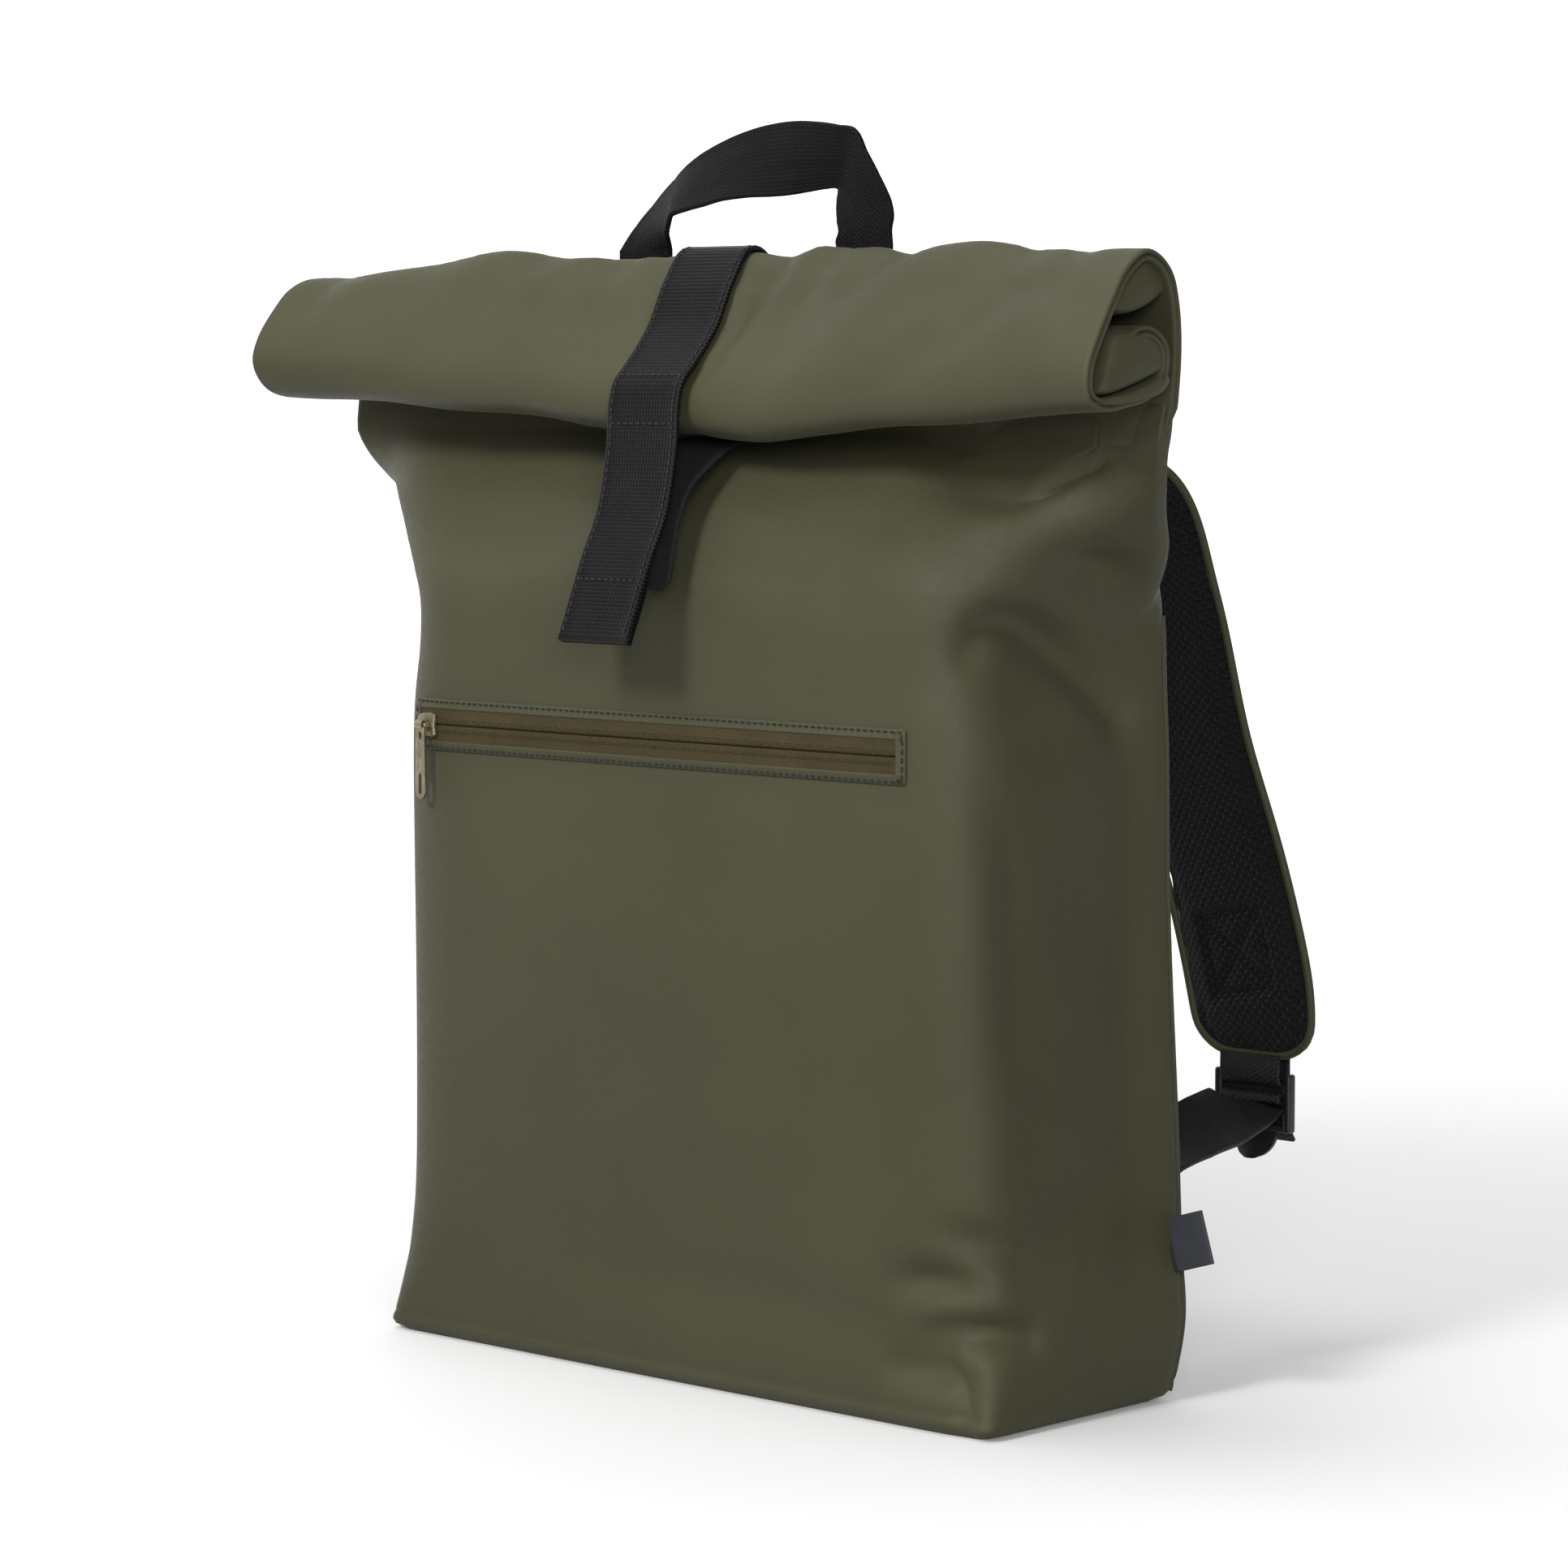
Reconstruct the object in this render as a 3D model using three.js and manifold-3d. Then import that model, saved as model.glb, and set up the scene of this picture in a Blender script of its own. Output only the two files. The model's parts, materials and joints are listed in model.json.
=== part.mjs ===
// Rolltop backpack: a hollow coated-fabric body whose mouth is folded flat and rolled down,
// held by a webbing strap, with two padded shoulder straps, a grab handle and a front zip.
// Millimetres, +Z up. The origin is the middle of the flat base and the front faces -Y.
import * as THREE from 'three';
import { mergeVertices } from 'three/addons/utils/BufferGeometryUtils.js';
import Module from 'manifold-3d';

const wasm = await Module();
wasm.setup();

// Driving dimensions of the fabric body
const BODY_WIDTH = 325;
const BODY_DEPTH = 108;
const NECK_HEIGHT = 372;
const NECK_SET_FORWARD = 15;
const NECK_BLEND_HEIGHT = 72;
const FABRIC_WALL = 2;
const FOLD_EDGE = 7;
const GAP = 0.3;
const PANEL_GAP = 0.5;

// Driving dimensions of the rolled mouth, which is the body's two panels laid together
const ROLL_HEIGHT = 70;
const ROLL_DEPTH = 60;
const ROLL_LENGTH = 434;
const ROLL_THICKNESS = 4.4;
const ROLL_STEPS = 30;
const ROLL_NECK_TAPER = 0.02;

// Driving dimensions of the closure strap and the loop tape that it closes on
const CLOSURE_WIDTH = 38;
const CLOSURE_THICKNESS = 2.2;
const CLOSURE_DROP = 106;
const LOOP_TAPE_DROP = 57;
const LOOP_TAPE_SEAM = 3;

// Driving dimensions of the front zip
const ZIP_LENGTH = 268;
const ZIP_HEIGHT = 21;
const ZIP_CENTRE_X = -5;
const ZIP_BELOW_NECK = 118;
const WELT_WIDTH = 4;
const WELT_THICKNESS = 1.6;
const TAPE_THICKNESS = 1;
const SLIDER_LENGTH = 12;
const SLIDER_WIDTH = 9;
const SLIDER_PLATE = 1.8;
const BRIDGE_RADIUS = 0.9;
const PULL_LENGTH = 30;
const PULL_WIDTH = 6.4;
const PULL_THICKNESS = 1.4;
const PULL_EYE_LENGTH = 4.6;
const PULL_EYE_WALL = 0.8;

// Driving dimensions of the grab handle and the band on the back that carries it
const HANDLE_WEBBING = 29;
const HANDLE_THICKNESS = 2.2;
const HANDLE_SPREAD = 118;
const HANDLE_RISE = 38;
const YOKE_WIDTH = 176;
const YOKE_BELOW_NECK = 20;
const YOKE_HEIGHT = 36;
const YOKE_THICKNESS = 3;

// Driving dimensions of the shoulder straps
const PAD_WIDTH = 62;
const PAD_TOP_WIDTH = 54;
const PAD_THICKNESS = 9;
const PAD_BOW = 104;
const STRAP_WEBBING = 30;
const STRAP_THICKNESS = 2;
const BUCKLE_BAR = 3;
const BUCKLE_SLOT = 7.5;
const BUCKLE_SIDE = 3.5;
const BUCKLE_DROP = 18.5;
const WEBBING_RISE = 6;
const TAIL_LENGTH = 26;
const ANCHOR_WIDTH = 34;
const ANCHOR_TOP = 76;
const ANCHOR_BOTTOM = 44;
const ANCHOR_THICKNESS = 2.6;
const ANCHOR_INSET = 20.5;

// Driving dimensions of the folded side label
const LABEL_LENGTH = 16;
const LABEL_HEIGHT = 21;
const LABEL_THICKNESS = 1.2;
const LABEL_CENTRE_Z = 67;
const LABEL_TILT = 0.12;

// Places that follow from the neck's height
const YOKE_TOP = NECK_HEIGHT - YOKE_BELOW_NECK;
const YOKE_BOTTOM = YOKE_TOP - YOKE_HEIGHT;
const ZIP_CENTRE_Z = NECK_HEIGHT - ZIP_BELOW_NECK;

// Colours, as seen in daylight
const OLIVE = 0x57563f;
const BLACK_WEBBING = 0x1c1c1f;
const BLACK_MESH = 0x101012;
const BLACK_PLASTIC = 0x151516;
const ZIP_BROWN = 0x6b6248;
const DARK_BRASS = 0x857a5c;
const CHARCOAL = 0x2a2b2f;

// Sections of the body from the base to the neck. Heights are shares of NECK_HEIGHT, front, back,
// roundings and edgeY shares of BODY_DEPTH, half widths and lean shares of BODY_WIDTH. edge is the
// side's outermost fold, which opens out as the panels come together below the neck, and lean how
// far the whole section sits to the right.
const BODY_SECTIONS = [
  { height: 0, front: -0.475, back: 0.475, frontHalf: 0.488, backHalf: 0.49, frontRound: 0.05, backRound: 0.06, edge: 0.489, edgeY: 0, lean: 0 },
  { height: 0.011, front: -0.506, back: 0.512, frontHalf: 0.504, backHalf: 0.507, frontRound: 0.06, backRound: 0.07, edge: 0.505, edgeY: 0, lean: 0 },
  { height: 0.038, front: -0.515, back: 0.53, frontHalf: 0.501, backHalf: 0.516, frontRound: 0.12, backRound: 0.08, edge: 0.508, edgeY: 0, lean: 0 },
  { height: 0.091, front: -0.522, back: 0.54, frontHalf: 0.494, backHalf: 0.524, frontRound: 0.22, backRound: 0.08, edge: 0.509, edgeY: 0, lean: 0 },
  { height: 0.161, front: -0.53, back: 0.538, frontHalf: 0.486, backHalf: 0.519, frontRound: 0.32, backRound: 0.08, edge: 0.504, edgeY: 0, lean: 0 },
  { height: 0.296, front: -0.546, back: 0.532, frontHalf: 0.481, backHalf: 0.514, frontRound: 0.4, backRound: 0.08, edge: 0.499, edgeY: 0, lean: 0 },
  { height: 0.53, front: -0.565, back: 0.514, frontHalf: 0.48, backHalf: 0.505, frontRound: 0.42, backRound: 0.08, edge: 0.494, edgeY: 0, lean: 0 },
  { height: 0.712, front: -0.57, back: 0.505, frontHalf: 0.482, backHalf: 0.503, frontRound: 0.4, backRound: 0.08, edge: 0.493, edgeY: 0.05, lean: 0 },
  { height: 0.782, front: -0.574, back: 0.5, frontHalf: 0.483, backHalf: 0.503, frontRound: 0.4, backRound: 0.08, edge: 0.496, edgeY: 0.18, lean: 0 },
  { height: 0.82, front: -0.579, back: 0.491, frontHalf: 0.484, backHalf: 0.501, frontRound: 0.4, backRound: 0.09, edge: 0.508, edgeY: 0.31, lean: -0.001 },
  { height: 0.847, front: -0.579, back: 0.468, frontHalf: 0.484, backHalf: 0.495, frontRound: 0.4, backRound: 0.09, edge: 0.532, edgeY: 0.3, lean: -0.005 },
  { height: 0.887, front: -0.546, back: 0.398, frontHalf: 0.485, backHalf: 0.483, frontRound: 0.38, backRound: 0.1, edge: 0.579, edgeY: 0.19, lean: -0.014 },
  { height: 0.927, front: -0.463, back: 0.278, frontHalf: 0.492, backHalf: 0.477, frontRound: 0.3, backRound: 0.12, edge: 0.617, edgeY: 0.03, lean: -0.017 },
  { height: 0.962, front: -0.338, back: 0.13, frontHalf: 0.51, backHalf: 0.486, frontRound: 0.2, backRound: 0.12, edge: 0.64, edgeY: -0.07, lean: -0.014 },
  { height: 0.984, front: -0.24, back: 0, frontHalf: 0.53, backHalf: 0.508, frontRound: 0.1, backRound: 0.08, edge: 0.65, edgeY: -0.12, lean: -0.01 },
  { height: 1, front: -0.181, back: -0.097, frontHalf: 0.56, backHalf: 0.56, frontRound: 0.03, backRound: 0.03, edge: 0.656, edgeY: -0.139, lean: -0.008 },
];

// Heights of the loft's rings, as shares of NECK_HEIGHT
const RING_HEIGHTS = [
  0, 0.011, 0.038, 0.065, 0.091, 0.161, 0.229, 0.296, 0.374, 0.452, 0.53, 0.591, 0.651, 0.712,
  0.747, 0.782, 0.82, 0.847, 0.867, 0.887, 0.907, 0.927, 0.945, 0.962, 0.984, 1,
];

// Broad dents (push inward) and swells (negative push) of the soft panels. x and spreadX are shares
// of BODY_WIDTH, y, spreadY and push of BODY_DEPTH, z and spreadZ of NECK_HEIGHT.
const DENTS = [
  { name: 'right gusset pocket', face: 'side', x: 0.5, y: -0.1, z: 0.77, spreadX: 0.2, spreadY: 0.42, spreadZ: 0.07, push: 0.085 },
  { name: 'left gusset pocket', face: 'side', x: -0.5, y: -0.1, z: 0.78, spreadX: 0.2, spreadY: 0.42, spreadZ: 0.07, push: 0.075 },
  { name: 'right side hollow', face: 'side', x: 0.5, y: 0, z: 0.45, spreadX: 0.15, spreadY: 0.35, spreadZ: 0.18, push: 0.03 },
  { name: 'left side hollow', face: 'side', x: -0.5, y: 0, z: 0.45, spreadX: 0.15, spreadY: 0.35, spreadZ: 0.18, push: 0.03 },
  { name: 'front shoulder right', face: 'front', x: 0.3, y: -0.5, z: 0.9, spreadX: 0.16, spreadY: 0.5, spreadZ: 0.045, push: 0.05 },
  { name: 'front shoulder left', face: 'front', x: -0.3, y: -0.5, z: 0.9, spreadX: 0.16, spreadY: 0.5, spreadZ: 0.045, push: 0.05 },
  { name: 'front swell', face: 'front', x: 0, y: -0.55, z: 0.35, spreadX: 0.36, spreadY: 0.4, spreadZ: 0.25, push: -0.035 },
  { name: 'front low crease', face: 'front', x: 0.42, y: -0.5, z: 0.1, spreadX: 0.08, spreadY: 0.4, spreadZ: 0.03, push: 0.03 },
];

// The rolled mouth's middle line, seen from the side, at its left end, middle and right end.
// Each row is one fold point from the neck upward, over the crest, down the front and back under.
// Forward is a share of ROLL_DEPTH from the neck, up a share of ROLL_HEIGHT.
const ROLL_FOLDS = [
  { left: { forward: 0.06, up: 0 }, middle: { forward: 0, up: 0 }, right: { forward: -0.06, up: 0 } },
  { left: { forward: 0.04, up: 0.2 }, middle: { forward: -0.03, up: 0.18 }, right: { forward: -0.07, up: 0.2 } },
  { left: { forward: 0.03, up: 0.42 }, middle: { forward: -0.06, up: 0.44 }, right: { forward: -0.07, up: 0.45 } },
  { left: { forward: 0.08, up: 0.65 }, middle: { forward: -0.04, up: 0.67 }, right: { forward: -0.02, up: 0.7 } },
  { left: { forward: 0.23, up: 0.8 }, middle: { forward: 0.03, up: 0.87 }, right: { forward: 0.08, up: 0.87 } },
  { left: { forward: 0.48, up: 0.86 }, middle: { forward: 0.17, up: 0.96 }, right: { forward: 0.25, up: 0.945 } },
  { left: { forward: 0.7, up: 0.81 }, middle: { forward: 0.32, up: 0.81 }, right: { forward: 0.43, up: 0.87 } },
  { left: { forward: 0.87, up: 0.68 }, middle: { forward: 0.47, up: 0.565 }, right: { forward: 0.58, up: 0.71 } },
  { left: { forward: 0.98, up: 0.55 }, middle: { forward: 0.62, up: 0.4 }, right: { forward: 0.72, up: 0.52 } },
  { left: { forward: 1.02, up: 0.41 }, middle: { forward: 0.74, up: 0.255 }, right: { forward: 0.81, up: 0.34 } },
  { left: { forward: 0.93, up: 0.295 }, middle: { forward: 0.75, up: 0.12 }, right: { forward: 0.8, up: 0.22 } },
  { left: { forward: 0.77, up: 0.24 }, middle: { forward: 0.62, up: 0.05 }, right: { forward: 0.67, up: 0.17 } },
  { left: { forward: 0.53, up: 0.23 }, middle: { forward: 0.42, up: 0.03 }, right: { forward: 0.45, up: 0.19 } },
  { left: { forward: 0.31, up: 0.25 }, middle: { forward: 0.2, up: 0.07 }, right: { forward: 0.22, up: 0.24 } },
  { left: { forward: 0.19, up: 0.34 }, middle: { forward: 0.1, up: 0.17 }, right: { forward: 0.1, up: 0.34 } },
  { left: { forward: 0.22, up: 0.46 }, middle: { forward: 0.1, up: 0.31 }, right: { forward: 0.1, up: 0.47 } },
  { left: { forward: 0.37, up: 0.53 }, middle: { forward: 0.22, up: 0.41 }, right: { forward: 0.25, up: 0.55 } },
  { left: { forward: 0.55, up: 0.52 }, middle: { forward: 0.37, up: 0.39 }, right: { forward: 0.42, up: 0.51 } },
  { left: { forward: 0.69, up: 0.42 }, middle: { forward: 0.48, up: 0.28 }, right: { forward: 0.53, up: 0.39 } },
];
const ROLL_CREST_ROW = 5;
const ROLL_FRONT_ROW = 8;

// How much of the left end's and the middle's shape the roll has along its length.
// at is a share of half the ROLL_LENGTH, and what is left over is the right end's shape. lift is
// how much higher than those shapes the roll puffs up there, as a share of its own height.
const ROLL_STATIONS = [
  { at: -1, left: 1, middle: 0, lift: 0 },
  { at: -0.86, left: 0.65, middle: 0, lift: 0.01 },
  { at: -0.62, left: 0.12, middle: 0.1, lift: 0.065 },
  { at: -0.36, left: 0, middle: 0.42, lift: 0.05 },
  { at: -0.1, left: 0, middle: 1, lift: 0.015 },
  { at: 0.1, left: 0, middle: 1, lift: 0.015 },
  { at: 0.36, left: 0, middle: 0.4, lift: 0.055 },
  { at: 0.62, left: 0, middle: 0.1, lift: 0.055 },
  { at: 0.86, left: 0, middle: 0, lift: 0.03 },
  { at: 1, left: 0, middle: 0, lift: 0 },
];

// The closure strap's free end in front of the roll: shares of CLOSURE_DROP from where it leaves
// the roll. plies is how many layers of webbing lie together there.
const CLOSURE_FREE_END = [
  { forward: 0.063, drop: 0.068, plies: 1 },
  { forward: 0.117, drop: 0.125, plies: 1 },
  { forward: 0.14, drop: 0.198, plies: 1 },
  { forward: 0.153, drop: 0.359, plies: 1 },
  { forward: 0.204, drop: 0.593, plies: 1 },
  { forward: 0.288, drop: 0.768, plies: 1 },
  { forward: 0.325, drop: 0.88, plies: 2 },
  { forward: 0.4, drop: 1.057, plies: 2 },
];

// The loop tape from its seam on the neck down: shares of LOOP_TAPE_DROP, width of CLOSURE_WIDTH
const LOOP_TAPE_HANG = [
  { forward: 0.224, drop: 0.03, width: 1 },
  { forward: 0.472, drop: 0.167, width: 1 },
  { forward: 0.672, drop: 0.328, width: 1 },
  { forward: 0.769, drop: 0.51, width: 1 },
  { forward: 0.817, drop: 0.676, width: 1 },
  { forward: 0.87, drop: 0.93, width: 1 },
  { forward: 0.894, drop: 1, width: 0.82 },
];

// The grab handle's arch. across is a share of HANDLE_SPREAD from the middle, up a share of
// HANDLE_RISE over the legs, turn how far the line across the webbing has turned from level to
// upright, in quarter turns, and tilt how far its outer edge leans back, in radians.
const HANDLE_ARCH = [
  { across: -0.468, up: 0.215, turn: 0.086, tilt: 0.36 },
  { across: -0.424, up: 0.382, turn: 0.167, tilt: 0.554 },
  { across: -0.367, up: 0.544, turn: 0.489, tilt: 0.727 },
  { across: -0.306, up: 0.636, turn: 0.57, tilt: 0.614 },
  { across: -0.232, up: 0.716, turn: 0.64, tilt: 0.508 },
  { across: -0.141, up: 0.797, turn: 0.704, tilt: 0.44 },
  { across: -0.018, up: 0.863, turn: 0.82, tilt: 0.3 },
  { across: 0.123, up: 0.898, turn: 1, tilt: 0.08 },
  { across: 0.254, up: 0.908, turn: 1.2, tilt: -0.15 },
  { across: 0.35, up: 0.9, turn: 1.33, tilt: -0.26 },
  { across: 0.424, up: 0.869, turn: 1.396, tilt: -0.298 },
  { across: 0.446, up: 0.691, turn: 1.528, tilt: -0.226 },
  { across: 0.473, up: 0.514, turn: 1.696, tilt: -0.131 },
  { across: 0.498, up: 0.341, turn: 1.82, tilt: 0 },
  { across: 0.507, up: 0.218, turn: 1.87, tilt: 0 },
  { across: 0.497, up: 0.1, turn: 1.92, tilt: 0 },
];

// The right shoulder strap's middle line behind the back: out is a share of BODY_WIDTH, back of
// PAD_BOW behind the body, up of NECK_HEIGHT and width of PAD_WIDTH.
const PAD_ROUTE = [
  { out: 0.168, back: 0.05, up: 0.945, width: 0.9 },
  { out: 0.222, back: 0.33, up: 0.976, width: 0.95 },
  { out: 0.268, back: 0.57, up: 0.946, width: 1 },
  { out: 0.28, back: 0.76, up: 0.828, width: 1 },
  { out: 0.298, back: 0.9, up: 0.659, width: 1 },
  { out: 0.343, back: 0.965, up: 0.511, width: 1 },
  { out: 0.373, back: 0.988, up: 0.4, width: 1 },
  { out: 0.381, back: 0.99, up: 0.352, width: 0.96 },
  { out: 0.381, back: 0.99, up: 0.336, width: 0.82 },
  { out: 0.381, back: 0.99, up: 0.323, width: 0.52 },
];
const PAD_START_OUT = 0.154;
const PAD_START_UP = 0.9;

// The adjusting webbing between its anchor on the back and the buckle: shares of the way there
// across and back, rise a share of the buckle's height over the anchor, stand how far it is turned
// from lying flat to standing on edge.
const WEBBING_ROUTE = [
  { across: 0, back: 0.1, rise: 0.75, stand: 0.15 },
  { across: 0.1, back: 0.32, rise: 1.2, stand: 0.5 },
  { across: 0.35, back: 0.6, rise: 1.15, stand: 0.55 },
  { across: 0.7, back: 0.85, rise: 0.65, stand: 0.3 },
  { across: 0.92, back: 0.965, rise: 0.36, stand: 0.08 },
];

// Value of a table's column at a key between its rows, along a smooth curve
function tableAt(rows, key, at, column) {
  let i = 0;
  while (i < rows.length - 2 && rows[i + 1][key] <= at) i += 1;
  const before = rows[Math.max(i - 1, 0)];
  const a = rows[i];
  const b = rows[i + 1];
  const after = rows[Math.min(i + 2, rows.length - 1)];
  const span = b[key] - a[key];
  const t = Math.min(Math.max((at - a[key]) / span, 0), 1);
  const slopeA = (span * (b[column] - before[column])) / (b[key] - before[key]);
  const slopeB = (span * (after[column] - a[column])) / (after[key] - a[key]);
  const flat = Math.abs(b[column] - a[column]) < 1e-9 ? 0 : 1;
  const t2 = t * t;
  const t3 = t2 * t;
  return (2 * t3 - 3 * t2 + 1) * a[column] + (t3 - 2 * t2 + t) * slopeA * flat
    + (3 * t2 - 2 * t3) * b[column] + (t3 - t2) * slopeB * flat;
}

// Closed solid between closed loops of equal point counts, with both end loops capped. fanned caps
// spread from the loop's middle, for a loop with points along its straight sides.
function loftSolid(rings, fanned = false) {
  const count = rings[0].length;
  const positions = rings.flat().flatMap((p) => [p.x, p.y, p.z]);
  const index = [];
  for (let r = 0; r < rings.length - 1; r += 1) {
    for (let i = 0; i < count; i += 1) {
      const a = r * count + i;
      const b = r * count + ((i + 1) % count);
      index.push(a, b, b + count, a, b + count, a + count);
    }
  }
  const capped = fanned ? fanTriangles : capTriangles;
  [rings[0], rings[rings.length - 1]].forEach((ring, end) => {
    const first = end * (rings.length - 1) * count;
    const middle = ring.reduce((sum, p) => sum.add(p), new THREE.Vector3()).divideScalar(count);
    if (fanned) positions.push(middle.x, middle.y, middle.z);
    const place = (i) => (i === count ? rings.length * count + end : first + i);
    for (const [i, j, k] of capped(ring)) {
      index.push(place(i), ...(end === 0 ? [place(k), place(j)] : [place(j), place(k)]));
    }
  });
  return facedOut(positions, index);
}

// Triangles between a loop's points and its middle, whose number comes after theirs
function fanTriangles(ring) {
  return ring.map((_, i) => [i, (i + 1) % ring.length, ring.length]);
}

// Closed ring-shaped solid: the last section joins the first
function loopSolid(sections) {
  const count = sections[0].length;
  const positions = sections.flat().flatMap((p) => [p.x, p.y, p.z]);
  const index = [];
  for (let r = 0; r < sections.length; r += 1) {
    const next = (r + 1) % sections.length;
    for (let i = 0; i < count; i += 1) {
      const j = (i + 1) % count;
      index.push(r * count + i, r * count + j, next * count + j);
      index.push(r * count + i, next * count + j, next * count + i);
    }
  }
  return facedOut(positions, index);
}

// Triangles that fill a closed flat loop, turning the same way as the loop does
function capTriangles(ring) {
  const normal = new THREE.Vector3();
  ring.forEach((p, i) => {
    const q = ring[(i + 1) % ring.length];
    normal.x += (p.y - q.y) * (p.z + q.z);
    normal.y += (p.z - q.z) * (p.x + q.x);
    normal.z += (p.x - q.x) * (p.y + q.y);
  });
  const size = [Math.abs(normal.x), Math.abs(normal.y), Math.abs(normal.z)];
  const drop = size.indexOf(Math.max(...size));
  const flat = ring.map((p) => {
    if (drop === 0) return new THREE.Vector2(p.y, p.z);
    return drop === 1 ? new THREE.Vector2(p.z, p.x) : new THREE.Vector2(p.x, p.y);
  });
  const triangles = THREE.ShapeUtils.triangulateShape(flat, []);
  const turn = THREE.ShapeUtils.area(flat) > 0 ? 1 : -1;
  return triangles.map(([i, j, k]) => {
    const area = (flat[j].x - flat[i].x) * (flat[k].y - flat[i].y) - (flat[k].x - flat[i].x) * (flat[j].y - flat[i].y);
    return area * turn > 0 ? [i, j, k] : [i, k, j];
  });
}

// Indexed geometry with its faces turned outward
function facedOut(positions, index) {
  let volume = 0;
  const at = (i) => new THREE.Vector3(positions[3 * i], positions[3 * i + 1], positions[3 * i + 2]);
  for (let i = 0; i < index.length; i += 3) {
    volume += at(index[i]).dot(at(index[i + 1]).cross(at(index[i + 2])));
  }
  const turned = volume < 0 ? index.map((_, i) => index[i % 3 === 0 ? i : i % 3 === 1 ? i + 1 : i - 1]) : index;
  const geometry = new THREE.BufferGeometry();
  geometry.setAttribute('position', new THREE.Float32BufferAttribute(positions, 3));
  geometry.setIndex(turned);
  geometry.computeVertexNormals();
  return geometry;
}

// The two sides of a boolean, from and back to three.js geometry
function toManifold(geometry) {
  const bare = geometry.clone();
  bare.deleteAttribute('normal');
  bare.deleteAttribute('uv');
  const merged = mergeVertices(bare, 1e-3);
  return new wasm.Manifold(new wasm.Mesh({
    numProp: 3,
    vertProperties: new Float32Array(merged.attributes.position.array),
    triVerts: new Uint32Array(merged.index.array),
  }));
}

function fromManifold(solid) {
  const mesh = solid.getMesh();
  const geometry = new THREE.BufferGeometry();
  geometry.setAttribute('position', new THREE.BufferAttribute(new Float32Array(mesh.vertProperties), 3));
  geometry.setIndex(Array.from(mesh.triVerts));
  geometry.computeVertexNormals();
  return geometry;
}

function joined(geometries) {
  const solids = geometries.map(toManifold);
  return fromManifold(solids.slice(1).reduce((sum, solid) => sum.add(solid), solids[0]));
}

// Folds of the rolled mouth at a share of its half length
function rollFoldsAt(share) {
  const left = tableAt(ROLL_STATIONS, 'at', share, 'left');
  const middle = tableAt(ROLL_STATIONS, 'at', share, 'middle');
  const right = 1 - left - middle;
  const rise = ROLL_HEIGHT * (1 + tableAt(ROLL_STATIONS, 'at', share, 'lift'));
  return ROLL_FOLDS.map((row) => {
    const forward = left * row.left.forward + middle * row.middle.forward + right * row.right.forward;
    const up = left * row.left.up + middle * row.middle.up + right * row.right.up;
    return new THREE.Vector3(0, -NECK_SET_FORWARD - forward * ROLL_DEPTH, NECK_HEIGHT + GAP + up * rise);
  });
}

// How far the neck is pulled forward or back by the roll at x, fading out below it
function neckShift(x, z) {
  const share = Math.min(Math.max(x / (ROLL_LENGTH / 2), -1), 1);
  const pull = rollFoldsAt(share)[0].y + NECK_SET_FORWARD;
  const fade = Math.min(Math.max((z - NECK_HEIGHT + NECK_BLEND_HEIGHT) / NECK_BLEND_HEIGHT, 0), 1);
  return pull * fade * fade * (3 - 2 * fade);
}

// Outline of the body at a height, anticlockwise from the front left corner, outside the wall
function bodyOutline(z) {
  const height = z / NECK_HEIGHT;
  const value = (column) => tableAt(BODY_SECTIONS, 'height', height, column);
  const front = value('front') * BODY_DEPTH;
  const back = value('back') * BODY_DEPTH;
  const frontHalf = value('frontHalf') * BODY_WIDTH;
  const backHalf = value('backHalf') * BODY_WIDTH;
  const edge = value('edge') * BODY_WIDTH;
  const edgeY = value('edgeY') * BODY_DEPTH;
  const half = FOLD_EDGE / 2;
  const corners = [
    { x: -frontHalf, y: front, round: value('frontRound') * BODY_DEPTH, steps: 5, along: 12 },
    { x: frontHalf, y: front, round: value('frontRound') * BODY_DEPTH, steps: 5, along: 3 },
    { x: edge, y: edgeY - half, round: 0, steps: 0, along: 1 },
    { x: edge, y: edgeY + half, round: 0, steps: 0, along: 2 },
    { x: backHalf, y: back, round: value('backRound') * BODY_DEPTH, steps: 3, along: 8 },
    { x: -backHalf, y: back, round: value('backRound') * BODY_DEPTH, steps: 3, along: 2 },
    { x: -edge, y: edgeY + half, round: 0, steps: 0, along: 1 },
    { x: -edge, y: edgeY - half, round: 0, steps: 0, along: 3 },
  ];
  const lean = value('lean') * BODY_WIDTH;
  return roundedOutline(corners).map((p) => dented(p.x + lean, p.y + neckShift(p.x, z), z));
}

// Closed outline through corners, each cut back by its rounding, with points along each side
function roundedOutline(corners) {
  const count = corners.length;
  const cuts = corners.map((corner, i) => {
    const at = new THREE.Vector2(corner.x, corner.y);
    const toward = (other) => {
      const way = new THREE.Vector2(other.x, other.y).sub(at);
      const length = Math.min(corner.round, 0.45 * way.length());
      return at.clone().add(way.normalize().multiplyScalar(length));
    };
    return { at, start: toward(corners[(i + count - 1) % count]), end: toward(corners[(i + 1) % count]) };
  });
  const points = [];
  cuts.forEach((cut, i) => {
    const { steps, along } = corners[i];
    for (let s = 0; s <= steps; s += 1) {
      const t = steps === 0 ? 0 : s / steps;
      const a = cut.start.clone().lerp(cut.at, t);
      points.push(a.lerp(cut.at.clone().lerp(cut.end, t), t));
    }
    const from = steps === 0 ? cut.start : cut.end;
    const to = cuts[(i + 1) % count].start;
    for (let s = 1; s < along; s += 1) points.push(from.clone().lerp(to, s / along));
  });
  return points;
}

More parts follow.
